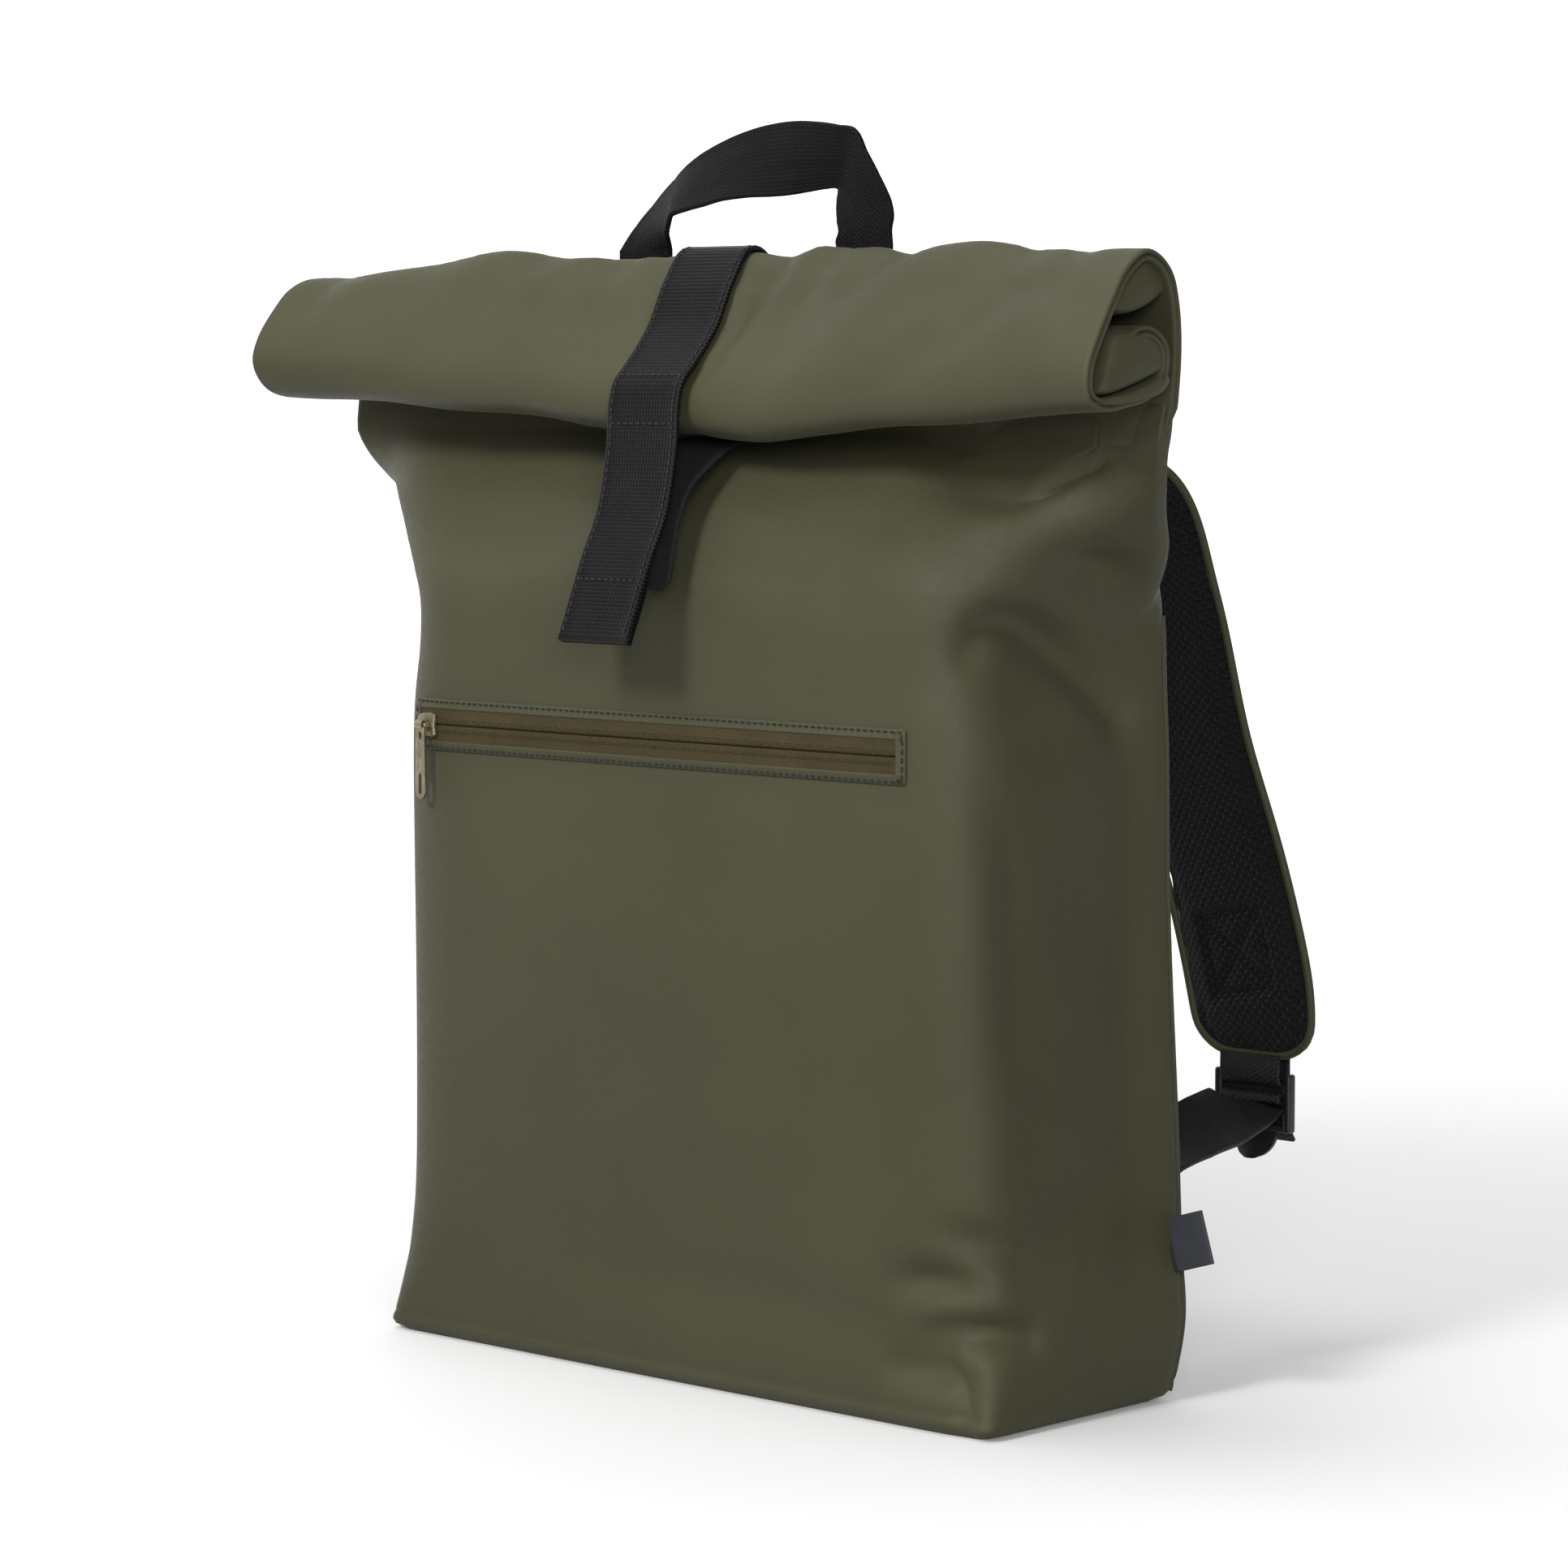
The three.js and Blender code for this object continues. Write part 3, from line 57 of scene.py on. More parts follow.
CAMERA_TURN = math.radians(43.0)
CAMERA_PITCH = math.radians(4.8)
LENS_SHARE = 5988.0 / 1932.0
SENSOR_WIDTH = 36.0

camera_data = bpy.data.cameras.new("camera")
camera_data.sensor_width = SENSOR_WIDTH
camera_data.lens = LENS_SHARE * SENSOR_WIDTH
camera = bpy.data.objects.new("camera", camera_data)
camera.location = CAMERA_PLACE
camera.rotation_euler = (math.pi / 2 - CAMERA_PITCH, 0, CAMERA_TURN)
bpy.context.scene.collection.objects.link(camera)
bpy.context.scene.camera = camera


def soft_light(name, place, aim, size, power):
    data = bpy.data.lights.new(name, "AREA")
    data.shape = "DISK"
    data.size = size
    data.energy = power
    light = bpy.data.objects.new(name, data)
    light.location = place
    light.rotation_euler = (Vector(aim) - Vector(place)).to_track_quat("-Z", "Y").to_euler()
    bpy.context.scene.collection.objects.link(light)


soft_light("light_front", (0.1, -1.9, 1.5), (0, 0, 0.25), 0.6, 31)
soft_light("light_above", (-0.3, -0.3, 2.0), (0, 0, 0.3), 0.9, 12)
soft_light("light_left", (-2.3, -0.5, 1.0), (0, 0, 0.25), 1.6, 7)
soft_light("light_right", (1.8, -1.7, 0.9), (0, 0, 0.25), 0.9, 29)

world = bpy.data.worlds.new("studio")
world.use_nodes = True
world.node_tree.nodes["Background"].inputs["Color"].default_value = (1.0, 1.0, 1.0, 1)
world.node_tree.nodes["Background"].inputs["Strength"].default_value = 0.2
bpy.context.scene.world = world
bpy.context.scene.view_settings.view_transform = "Standard"


def new_material(name):
    material = bpy.data.materials.new(name)
    material.use_nodes = True
    return material, material.node_tree, material.node_tree.nodes["Principled BSDF"]


def node(tree, kind, inputs=(), **settings):
    made = tree.nodes.new(kind)
    for key, value in settings.items():
        setattr(made, key, value)
    for key, value in dict(inputs).items():
        if isinstance(value, bpy.types.NodeSocket):
            tree.links.new(value, made.inputs[key])
        else:
            made.inputs[key].default_value = value
    return made


floor_material, tree, shader = new_material("floor_paint")
floor_noise = node(tree, "ShaderNodeTexNoise", {"Scale": 3.0, "Detail": 4.0})
floor_tint = node(tree, "ShaderNodeMapRange",
                  {"Value": floor_noise.outputs["Fac"], "To Min": 0.85, "To Max": 0.88})
tree.links.new(floor_tint.outputs["Result"], shader.inputs["Base Color"])
shader.inputs["Roughness"].default_value = 0.7
# The floor glows more the farther it lies from the bag: painted light that whitens the far floor and
# leaves it greyer round the bag.
floor_place = node(tree, "ShaderNodeTexCoord").outputs["Object"]
floor_reach = node(tree, "ShaderNodeVectorMath", {0: floor_place}, operation="LENGTH").outputs["Value"]
floor_glow = node(tree, "ShaderNodeMapRange", {
    "Value": floor_reach, "From Min": 0.2, "From Max": 1.6, "To Min": 0.08, "To Max": 0.5})
tree.links.new(floor_glow.outputs["Result"], shader.inputs["Emission Color"])
shader.inputs["Emission Strength"].default_value = 1.0

floor_mesh = bpy.data.meshes.new("floor")
floor_mesh.from_pydata([(-6, -6, 0), (6, -6, 0), (6, 6, 0), (-6, 6, 0)], [], [(0, 1, 2, 3)])
floor_mesh.materials.append(floor_material)
floor = bpy.data.objects.new("floor", floor_mesh)
bpy.context.scene.collection.objects.link(floor)
# The floor throws no light back, so that the cloth stays dark under the roll and the straps
floor.visible_diffuse = False

# A white paper wall behind the bag, lit from within like a light box
wall_material, tree, shader = new_material("lit_wall")
wall_noise = node(tree, "ShaderNodeTexNoise", {"Scale": 0.6, "Detail": 1.0})
wall_tint = node(tree, "ShaderNodeMapRange",
                 {"Value": wall_noise.outputs["Fac"], "To Min": 0.97, "To Max": 1.0})
tree.links.new(wall_tint.outputs["Result"], shader.inputs["Emission Color"])
shader.inputs["Emission Strength"].default_value = 1.0
wall_mesh = bpy.data.meshes.new("wall")
wall_mesh.from_pydata([(-5, 0, -0.2), (5, 0, -0.2), (5, 0, 4), (-5, 0, 4)], [], [(0, 1, 2, 3)])
wall_mesh.materials.append(wall_material)
wall = bpy.data.objects.new("wall", wall_mesh)
wall.location = (-2.4, 2.6, 0)
wall.rotation_euler = (0, 0, CAMERA_TURN)
bpy.context.scene.collection.objects.link(wall)


# Fabric body
# One hollow bag of coated woven fabric, 2 mm thick, welded to a flat base and open at the neck.
# The gussets fold outward below the neck into two ears, and the soft panels carry broad dents.
BODY_WIDTH = 0.325
BODY_DEPTH = 0.108
NECK_HEIGHT = 0.372
NECK_SET_FORWARD = 0.015
NECK_BLEND_HEIGHT = 0.072
FABRIC_WALL = 0.002
FOLD_EDGE = 0.007
SEAT_GAP = 0.0003

SECTION_COLUMNS = ("height", "front", "back", "front_half", "back_half", "front_round", "back_round",
                   "edge", "edge_y", "lean")
BODY_SECTIONS = (
    (0, -0.475, 0.475, 0.488, 0.49, 0.05, 0.06, 0.489, 0, 0),
    (0.011, -0.506, 0.512, 0.504, 0.507, 0.06, 0.07, 0.505, 0, 0),
    (0.038, -0.515, 0.53, 0.501, 0.516, 0.12, 0.08, 0.508, 0, 0),
    (0.091, -0.522, 0.54, 0.494, 0.524, 0.22, 0.08, 0.509, 0, 0),
    (0.161, -0.53, 0.538, 0.486, 0.519, 0.32, 0.08, 0.504, 0, 0),
    (0.296, -0.546, 0.532, 0.481, 0.514, 0.4, 0.08, 0.499, 0, 0),
    (0.53, -0.565, 0.514, 0.48, 0.505, 0.42, 0.08, 0.494, 0, 0),
    (0.712, -0.57, 0.505, 0.482, 0.503, 0.4, 0.08, 0.493, 0.05, 0),
    (0.782, -0.574, 0.5, 0.483, 0.503, 0.4, 0.08, 0.496, 0.18, 0),
    (0.82, -0.579, 0.491, 0.484, 0.501, 0.4, 0.09, 0.508, 0.31, -0.001),
    (0.847, -0.579, 0.468, 0.484, 0.495, 0.4, 0.09, 0.532, 0.3, -0.005),
    (0.887, -0.546, 0.398, 0.485, 0.483, 0.38, 0.1, 0.579, 0.19, -0.014),
    (0.927, -0.463, 0.278, 0.492, 0.477, 0.3, 0.12, 0.617, 0.03, -0.017),
    (0.962, -0.338, 0.13, 0.51, 0.486, 0.2, 0.12, 0.64, -0.07, -0.014),
    (0.984, -0.24, 0, 0.53, 0.508, 0.1, 0.08, 0.65, -0.12, -0.01),
    (1, -0.181, -0.097, 0.56, 0.56, 0.03, 0.03, 0.656, -0.139, -0.008),
)

# Broad dents: face, x, y, z, spread x, spread y, spread z, push, in shares of the body's sizes
BROAD_DENTS = (
    ("side", 0.5, -0.1, 0.77, 0.2, 0.42, 0.07, 0.085),
    ("side", -0.5, -0.1, 0.78, 0.2, 0.42, 0.07, 0.075),
    ("side", 0.5, 0, 0.45, 0.15, 0.35, 0.18, 0.03),
    ("side", -0.5, 0, 0.45, 0.15, 0.35, 0.18, 0.03),
    ("front", 0.3, -0.5, 0.9, 0.16, 0.5, 0.045, 0.05),
    ("front", -0.3, -0.5, 0.9, 0.16, 0.5, 0.045, 0.05),
    ("front", 0, -0.55, 0.35, 0.36, 0.4, 0.25, -0.035),
    ("front", 0.42, -0.5, 0.1, 0.08, 0.4, 0.03, 0.03),
)

# Folds pressed into the cloth along a line of points: width, depth inward, points
PANEL_FOLDS = (
    (0.0085, 0.0085, ((0.1478, -0.0472, 0.2943), (0.1507, -0.0415, 0.3008), (0.1538, -0.0289, 0.3023),
                      (0.1524, -0.0085, 0.2945), (0.1536, 0.0092, 0.2831), (0.1587, 0.0272, 0.2671))),
    (0.014, 0.013, ((0.1148, -0.022, 0.3669), (0.1366, -0.0277, 0.3621), (0.1634, -0.03, 0.3571),
                    (0.1763, -0.0236, 0.3589), (0.1873, -0.0183, 0.365))),
    (0.011, 0.008, ((0.168, -0.012, 0.322), (0.17, 0.002, 0.319), (0.17, 0.014, 0.315))),
    (0.024, 0.005, ((0.12, -0.05, 0.354), (0.155, -0.035, 0.35))),
    (0.013, 0.0026, ((0.0, -0.064, 0.33), (0.05, -0.064, 0.322), (0.09, -0.063, 0.315),
                     (0.12, -0.062, 0.31))),
    (0.01, 0.0026, ((0.1551, -0.0444, 0.2399), (0.157, -0.0363, 0.2159), (0.1569, -0.0333, 0.1787),
                    (0.1572, -0.0334, 0.1484))),
    (0.011, -0.0016, ((0.14, -0.058, 0.265), (0.141, -0.058, 0.2), (0.14, -0.058, 0.14))),
    (0.015, 0.0035, ((0.16, 0.028, 0.3), (0.162, 0.03, 0.2), (0.164, 0.03, 0.06))),
    (0.0065, 0.009, ((0.1348, -0.0542, 0.0363), (0.1481, -0.0524, 0.0388), (0.1584, -0.0444, 0.039),
                     (0.1628, -0.0286, 0.0364))),
    (0.008, 0.009, ((0.1201, -0.0559, 0.0231), (0.1381, -0.0556, 0.0241), (0.1489, -0.055, 0.0231),
                    (0.1532, -0.0553, 0.0109))),
    (0.008, 0.009, ((0.1234, -0.0574, 0.0556), (0.1383, -0.056, 0.057), (0.1527, -0.0494, 0.0567))),
    (0.0075, 0.0055, ((0.1432, -0.0547, 0.0752), (0.1543, -0.0468, 0.0725), (0.1602, -0.0327, 0.0676))),
    (0.004, -0.002, ((0.1449, -0.0533, 0.0333), (0.1522, -0.0542, 0.0228))),
    (0.012, 0.0024, ((-0.04, -0.06, 0.044), (0.0, -0.06, 0.042), (0.06, -0.06, 0.041),
                     (0.105, -0.058, 0.035))),
    (0.014, 0.0022, ((-0.15, -0.052, 0.345), (-0.11, -0.06, 0.338), (-0.06, -0.062, 0.335))),
    (0.012, 0.003, ((-0.158, -0.04, 0.3), (-0.158, -0.01, 0.285), (-0.158, 0.02, 0.276))),
    (0.016, 0.0022, ((-0.1, 0.055, 0.3), (0.0, 0.056, 0.29), (0.1, 0.055, 0.3))),
    (0.02, 0.0024, ((-0.12, 0.058, 0.12), (-0.02, 0.058, 0.1), (0.1, 0.058, 0.13))),
    (0.012, 0.0024, ((0.162, 0.02, 0.1), (0.162, -0.01, 0.075), (0.16, -0.03, 0.06))),
    (0.012, 0.0024, ((-0.162, 0.02, 0.11), (-0.162, -0.01, 0.085), (-0.16, -0.03, 0.07))),
)

# The rolled mouth's middle line seen from the side: forward and up at the left end, the middle and
# the right end, in shares of the roll's depth and height, from the neck over the crest and back under
ROLL_HEIGHT = 0.07
ROLL_DEPTH = 0.06
ROLL_LENGTH = 0.434
ROLL_FOLDS = (
    (0.06, 0, 0, 0, -0.06, 0),
    (0.04, 0.2, -0.03, 0.18, -0.07, 0.2),
    (0.03, 0.42, -0.06, 0.44, -0.07, 0.45),
    (0.08, 0.65, -0.04, 0.67, -0.02, 0.7),
    (0.23, 0.8, 0.03, 0.87, 0.08, 0.87),
    (0.48, 0.86, 0.17, 0.96, 0.25, 0.945),
    (0.7, 0.81, 0.32, 0.81, 0.43, 0.87),
    (0.87, 0.68, 0.47, 0.565, 0.58, 0.71),
    (0.98, 0.55, 0.62, 0.4, 0.72, 0.52),
    (1.02, 0.41, 0.74, 0.255, 0.81, 0.34),
    (0.93, 0.295, 0.75, 0.12, 0.8, 0.22),
    (0.77, 0.24, 0.62, 0.05, 0.67, 0.17),
    (0.53, 0.23, 0.42, 0.03, 0.45, 0.19),
    (0.31, 0.25, 0.2, 0.07, 0.22, 0.24),
    (0.19, 0.34, 0.1, 0.17, 0.1, 0.34),
    (0.22, 0.46, 0.1, 0.31, 0.1, 0.47),
    (0.37, 0.53, 0.22, 0.41, 0.25, 0.55),
    (0.55, 0.52, 0.37, 0.39, 0.42, 0.51),
    (0.69, 0.42, 0.48, 0.28, 0.53, 0.39),
)
STATION_COLUMNS = ("at", "left", "middle", "lift")
ROLL_STATIONS = (
    (-1, 1, 0, 0),
    (-0.86, 0.65, 0, 0.01),
    (-0.62, 0.12, 0.1, 0.065),
    (-0.36, 0, 0.42, 0.05),
    (-0.1, 0, 1, 0.015),
    (0.1, 0, 1, 0.015),
    (0.36, 0, 0.4, 0.055),
    (0.62, 0, 0.1, 0.055),
    (0.86, 0, 0, 0.03),
    (1, 0, 0, 0),
)


def named_rows(columns, rows):
    return [dict(zip(columns, row)) for row in rows]


def table_at(rows, key, at, column):
    """A table's column between its rows, along a smooth curve."""
    i = 0
    while i < len(rows) - 2 and rows[i + 1][key] <= at:
        i += 1
    before = rows[max(i - 1, 0)]
    a = rows[i]
    b = rows[i + 1]
    after = rows[min(i + 2, len(rows) - 1)]
    span = b[key] - a[key]
    t = min(max((at - a[key]) / span, 0), 1)
    flat = 0 if abs(b[column] - a[column]) < 1e-9 else 1
    slope_a = flat * span * (b[column] - before[column]) / (b[key] - before[key])
    slope_b = flat * span * (after[column] - a[column]) / (after[key] - a[key])
    return ((2 * t ** 3 - 3 * t ** 2 + 1) * a[column] + (t ** 3 - 2 * t ** 2 + t) * slope_a
            + (3 * t ** 2 - 2 * t ** 3) * b[column] + (t ** 3 - t ** 2) * slope_b)


section_rows = named_rows(SECTION_COLUMNS, BODY_SECTIONS)
station_rows = named_rows(STATION_COLUMNS, ROLL_STATIONS)
fold_rows = np.array(ROLL_FOLDS)


def roll_folds_at(share):
    left = table_at(station_rows, "at", share, "left")
    middle = table_at(station_rows, "at", share, "middle")
    rise = ROLL_HEIGHT * (1 + table_at(station_rows, "at", share, "lift"))
    right = 1 - left - middle
    forward = left * fold_rows[:, 0] + middle * fold_rows[:, 2] + right * fold_rows[:, 4]
    up = left * fold_rows[:, 1] + middle * fold_rows[:, 3] + right * fold_rows[:, 5]
    y = -NECK_SET_FORWARD - forward * ROLL_DEPTH
    z = NECK_HEIGHT + SEAT_GAP + up * rise
    return np.stack([np.zeros_like(y), y, z], axis=1)


def smooth_curve(points, places):
    """Points along a centripetal curve through the given points; places run from 0 to 1."""
    points = np.asarray(points, float)
    padded = np.vstack([2 * points[0] - points[1], points, 2 * points[-1] - points[-2]])
    place = np.clip(np.asarray(places, float), 0, 1) * (len(points) - 1)
    i = np.minimum(place.astype(int), len(points) - 2)
    t = (place - i)[:, None]
    p0, p1, p2, p3 = (padded[i + k] for k in range(4))
    step = [np.maximum(np.sqrt(np.linalg.norm(b - a, axis=1)), 1e-5)[:, None]
            for a, b in ((p0, p1), (p1, p2), (p2, p3))]
    slope_1 = ((p1 - p0) / step[0] - (p2 - p0) / (step[0] + step[1]) + (p2 - p1) / step[1]) * step[1]
    slope_2 = ((p2 - p1) / step[1] - (p3 - p1) / (step[1] + step[2]) + (p3 - p2) / step[2]) * step[1]
    return ((2 * t ** 3 - 3 * t ** 2 + 1) * p1 + (t ** 3 - 2 * t ** 2 + t) * slope_1
            + (3 * t ** 2 - 2 * t ** 3) * p2 + (t ** 3 - t ** 2) * slope_2)


neck_places = np.linspace(-1, 1, 81)
neck_pulls = np.array([roll_folds_at(share)[0][1] + NECK_SET_FORWARD for share in neck_places])


def neck_shift(x, z):
    pull = np.interp(x / (ROLL_LENGTH / 2), neck_places, neck_pulls)
    fade = min(max((z - NECK_HEIGHT + NECK_BLEND_HEIGHT) / NECK_BLEND_HEIGHT, 0), 1)
    return pull * fade * fade * (3 - 2 * fade)


def rounded_outline(corners):
    """Closed outline through corners (x, y, rounding, steps, points along the next side)."""
    places = [np.array(corner[:2]) for corner in corners]
    cuts = []
    for i, (_, _, rounding, _, _) in enumerate(corners):
        ends = []
        for other in (places[i - 1], places[(i + 1) % len(corners)]):
            way = other - places[i]
            length = np.linalg.norm(way)
            ends.append(places[i] + way / length * min(rounding, 0.45 * length))
        cuts.append(ends)
    points = []
    for i, (_, _, _, steps, along) in enumerate(corners):
        start, end = cuts[i]
        for s in range(steps + 1):
            t = s / steps if steps else 0
            a = start + (places[i] - start) * t
            b = places[i] + (end - places[i]) * t
            points.append(a + (b - a) * t)
        leave = end if steps else start
        reach = cuts[(i + 1) % len(corners)][0]
        points.extend(leave + (reach - leave) * s / along for s in range(1, along))
    return np.array(points)


def body_outline(z):
    row = {column: table_at(section_rows, "height", z / NECK_HEIGHT, column)
           for column in SECTION_COLUMNS[1:]}
    front = row["front"] * BODY_DEPTH
    back = row["back"] * BODY_DEPTH
    front_half = row["front_half"] * BODY_WIDTH
    back_half = row["back_half"] * BODY_WIDTH
    front_round = row["front_round"] * BODY_DEPTH
    back_round = row["back_round"] * BODY_DEPTH
    edge = row["edge"] * BODY_WIDTH
    edge_y = row["edge_y"] * BODY_DEPTH
    half = FOLD_EDGE / 2
    outline = rounded_outline((
        (-front_half, front, front_round, 14, 80),
        (front_half, front, front_round, 14, 18),
        (edge, edge_y - half, 0, 0, 3),
        (edge, edge_y + half, 0, 0, 16),
        (back_half, back, back_round, 8, 40),
        (-back_half, back, back_round, 8, 16),
        (-edge, edge_y + half, 0, 0, 3),
        (-edge, edge_y - half, 0, 0, 18),
    ))
    points = np.column_stack([outline[:, 0] + row["lean"] * BODY_WIDTH, outline[:, 1],
                              np.full(len(outline), z)])
    points[:, 1] += neck_shift(outline[:, 0], z)
    moved = points.copy()
    for face, x, y, height, spread_x, spread_y, spread_z, push in BROAD_DENTS:
        away = (((points[:, 0] / BODY_WIDTH - x) / spread_x) ** 2
                + ((points[:, 1] / BODY_DEPTH - y) / spread_y) ** 2
                + ((z / NECK_HEIGHT - height) / spread_z) ** 2)
        depth = push * BODY_DEPTH * np.exp(-away)
        if face == "side":
            moved[:, 0] -= math.copysign(1, x) * depth
        else:
            moved[:, 1] += depth
    return moved


def grid_faces(rows, columns, closed=True):
    """Quads between rows of points; with closed set each row joins round."""
    faces = []
    for r in range(rows - 1):
        for c in range(columns if closed else columns - 1):
            d = (c + 1) % columns
            faces.append((r * columns + c, r * columns + d, (r + 1) * columns + d,
                          (r + 1) * columns + c))
    return faces


def grid_normals(grid, closed=True):
    """Normals of a grid of points, rows by columns, pointing to the left of row against column."""
    if closed:
        across = np.roll(grid, -1, axis=1) - np.roll(grid, 1, axis=1)
    else:
        across = np.gradient(grid, axis=1)
    normals = np.cross(across, np.gradient(grid, axis=0))
    return normals / np.maximum(np.linalg.norm(normals, axis=2, keepdims=True), 1e-12)


def press_folds(points, normals, folds):
    """Moves points against their normals near each fold's line, fading at the line's ends."""
    flat = points.reshape(-1, 3)
    moved = np.zeros(len(flat))
    for width, depth, line in folds:
        path = smooth_curve(line, np.linspace(0, 1, 24))
        reach = np.linalg.norm(flat[:, None, :] - path[None, :, :], axis=2)
        nearest = reach.argmin(axis=1)
        place = nearest / (len(path) - 1)
        fade = np.sin(math.pi * np.clip(0.12 + 0.76 * place, 0, 1)) ** 0.7
        moved += depth * fade * np.exp(-(reach.min(axis=1) / width) ** 2)
    return points - normals * moved.reshape(points.shape[:2])[..., None]


def lay_cloth_out(mesh, uvs):
    """Gives each point its place along and across the flat cloth, which the weave follows."""
    layer = mesh.uv_layers.new(name="along_across")
    corner_points = np.zeros(len(mesh.loops), int)
    mesh.loops.foreach_get("vertex_index", corner_points)
    layer.data.foreach_set("uv", np.asarray(uvs, float).reshape(-1, 2)[corner_points].ravel())


def make_piece(name, points, faces, material, uvs=None):
    mesh = bpy.data.meshes.new(name)
    mesh.from_pydata(np.asarray(points, float).reshape(-1, 3).tolist(), [], faces)
    if uvs is not None:
        lay_cloth_out(mesh, uvs)
    mesh.materials.append(material)
    mesh.polygons.foreach_set("use_smooth", [True] * len(mesh.polygons))
    mesh.update()
    piece = bpy.data.objects.new(name, mesh)
    bpy.context.scene.collection.objects.link(piece)
    return piece


def face_outward(piece):
    shape = bmesh.new()
    shape.from_mesh(piece.data)
    bmesh.ops.recalc_face_normals(shape, faces=shape.faces)
    shape.to_mesh(piece.data)
    shape.free()


def apply_modifiers(piece):
    shown = piece.evaluated_get(bpy.context.evaluated_depsgraph_get())
    baked = bpy.data.meshes.new_from_object(shown)
    piece.modifiers.clear()
    piece.data = baked


# Coated fabric: a matte film over a fine weave, a little lighter where it is rubbed
def group_tree(name, inputs, outputs):
    made = bpy.data.node_groups.new(name, "ShaderNodeTree")
    for label, kind in inputs:
        made.interface.new_socket(name=label, in_out="INPUT", socket_type=kind)
    for label, kind in outputs:
        made.interface.new_socket(name=label, in_out="OUTPUT", socket_type=kind)
    return made, made.nodes.new("NodeGroupInput"), made.nodes.new("NodeGroupOutput")


FLOAT = "NodeSocketFloat"
COLOUR = "NodeSocketColor"
VECTOR = "NodeSocketVector"

cloth_wear, wear_in, wear_out = group_tree(
    "cloth_wear",
    (("Place", VECTOR), ("Deep Colour", COLOUR), ("Rubbed Colour", COLOUR), ("Patch Scale", FLOAT),
     ("Speck Scale", FLOAT), ("Speck Share", FLOAT), ("Roughness Low", FLOAT),
     ("Roughness High", FLOAT)),
    (("Colour", COLOUR), ("Roughness", FLOAT), ("Height", FLOAT)),
)
wear_patch = node(cloth_wear, "ShaderNodeTexNoise", {
    "Vector": wear_in.outputs["Place"], "Scale": wear_in.outputs["Patch Scale"], "Detail": 3.0,
    "Roughness": 0.55})
wear_speck = node(cloth_wear, "ShaderNodeTexNoise", {
    "Vector": wear_in.outputs["Place"], "Scale": wear_in.outputs["Speck Scale"], "Detail": 2.0})
wear_lift = node(cloth_wear, "ShaderNodeMath", {
    0: wear_speck.outputs["Fac"], 1: wear_in.outputs["Speck Share"]}, operation="MULTIPLY")
wear_sum = node(cloth_wear, "ShaderNodeMath", {
    0: wear_patch.outputs["Fac"], 1: wear_lift.outputs["Value"]}, operation="ADD")
wear_mask = node(cloth_wear, "ShaderNodeMapRange", {
    "Value": wear_sum.outputs["Value"], "From Min": 0.32, "From Max": 0.95})
wear_mix = node(cloth_wear, "ShaderNodeMix", {
    0: wear_mask.outputs["Result"], 6: wear_in.outputs["Deep Colour"],
    7: wear_in.outputs["Rubbed Colour"]},
    data_type="RGBA")
wear_rough = node(cloth_wear, "ShaderNodeMapRange", {
    "Value": wear_speck.outputs["Fac"], "From Min": 0.3, "From Max": 0.7,
    "To Min": wear_in.outputs["Roughness Low"], "To Max": wear_in.outputs["Roughness High"]})
cloth_wear.links.new(wear_mix.outputs[2], wear_out.inputs["Colour"])
cloth_wear.links.new(wear_rough.outputs["Result"], wear_out.inputs["Roughness"])
cloth_wear.links.new(wear_speck.outputs["Fac"], wear_out.inputs["Height"])


def placed_group(tree, group, inputs):
    return node(tree, "ShaderNodeGroup", inputs, node_tree=group)


def coated_fabric(name, deep, rubbed, grain_scale=2600.0):
    material, tree, shader = new_material(name)
    place = node(tree, "ShaderNodeTexCoord").outputs["Object"]
    wear = placed_group(tree, cloth_wear, {
        "Place": place, "Deep Colour": (*deep, 1), "Rubbed Colour": (*rubbed, 1), "Patch Scale": 9.0,
        "Speck Scale": 420.0, "Speck Share": 0.18, "Roughness Low": 0.56, "Roughness High": 0.68})
    grain = node(tree, "ShaderNodeTexVoronoi", {"Vector": place, "Scale": grain_scale})
    bump = node(tree, "ShaderNodeBump", {
        "Height": grain.outputs["Distance"], "Strength": 0.25, "Distance": 0.0001})
    tree.links.new(wear.outputs["Colour"], shader.inputs["Base Color"])
    tree.links.new(wear.outputs["Roughness"], shader.inputs["Roughness"])
    tree.links.new(bump.outputs["Normal"], shader.inputs["Normal"])
    shader.inputs["Specular IOR Level"].default_value = 0.3
    shader.inputs["Sheen Weight"].default_value = 0.04
    return material


olive_fabric = coated_fabric("olive_coated_fabric", (0.052, 0.0505, 0.0245), (0.07, 0.068, 0.034))

body_heights = np.concatenate([
    np.array([0, 0.0012, 0.0028, 0.0044, 0.0056, 0.0066, 0.0078, 0.0095]),
    np.linspace(0.012, 0.26, 74),
    np.linspace(0.263, NECK_HEIGHT, 52),
])
body_grid = np.array([body_outline(z) for z in body_heights])
body_normals = grid_normals(body_grid)
body_grid = press_folds(body_grid, body_normals, PANEL_FOLDS)
# The welded base seam stands a little proud, with a groove above it: height, spread, how proud
BASE_SEAM = (0.0034, 0.0018, 0.0009)
BASE_GROOVE = (0.0082, 0.0014, -0.0006)
seam_lift = sum(proud * np.exp(-((body_heights - height) / spread) ** 2)
                for height, spread, proud in (BASE_SEAM, BASE_GROOVE))
body_grid = body_grid + body_normals * np.where(body_heights > 0.0005, seam_lift, 0)[:, None, None]

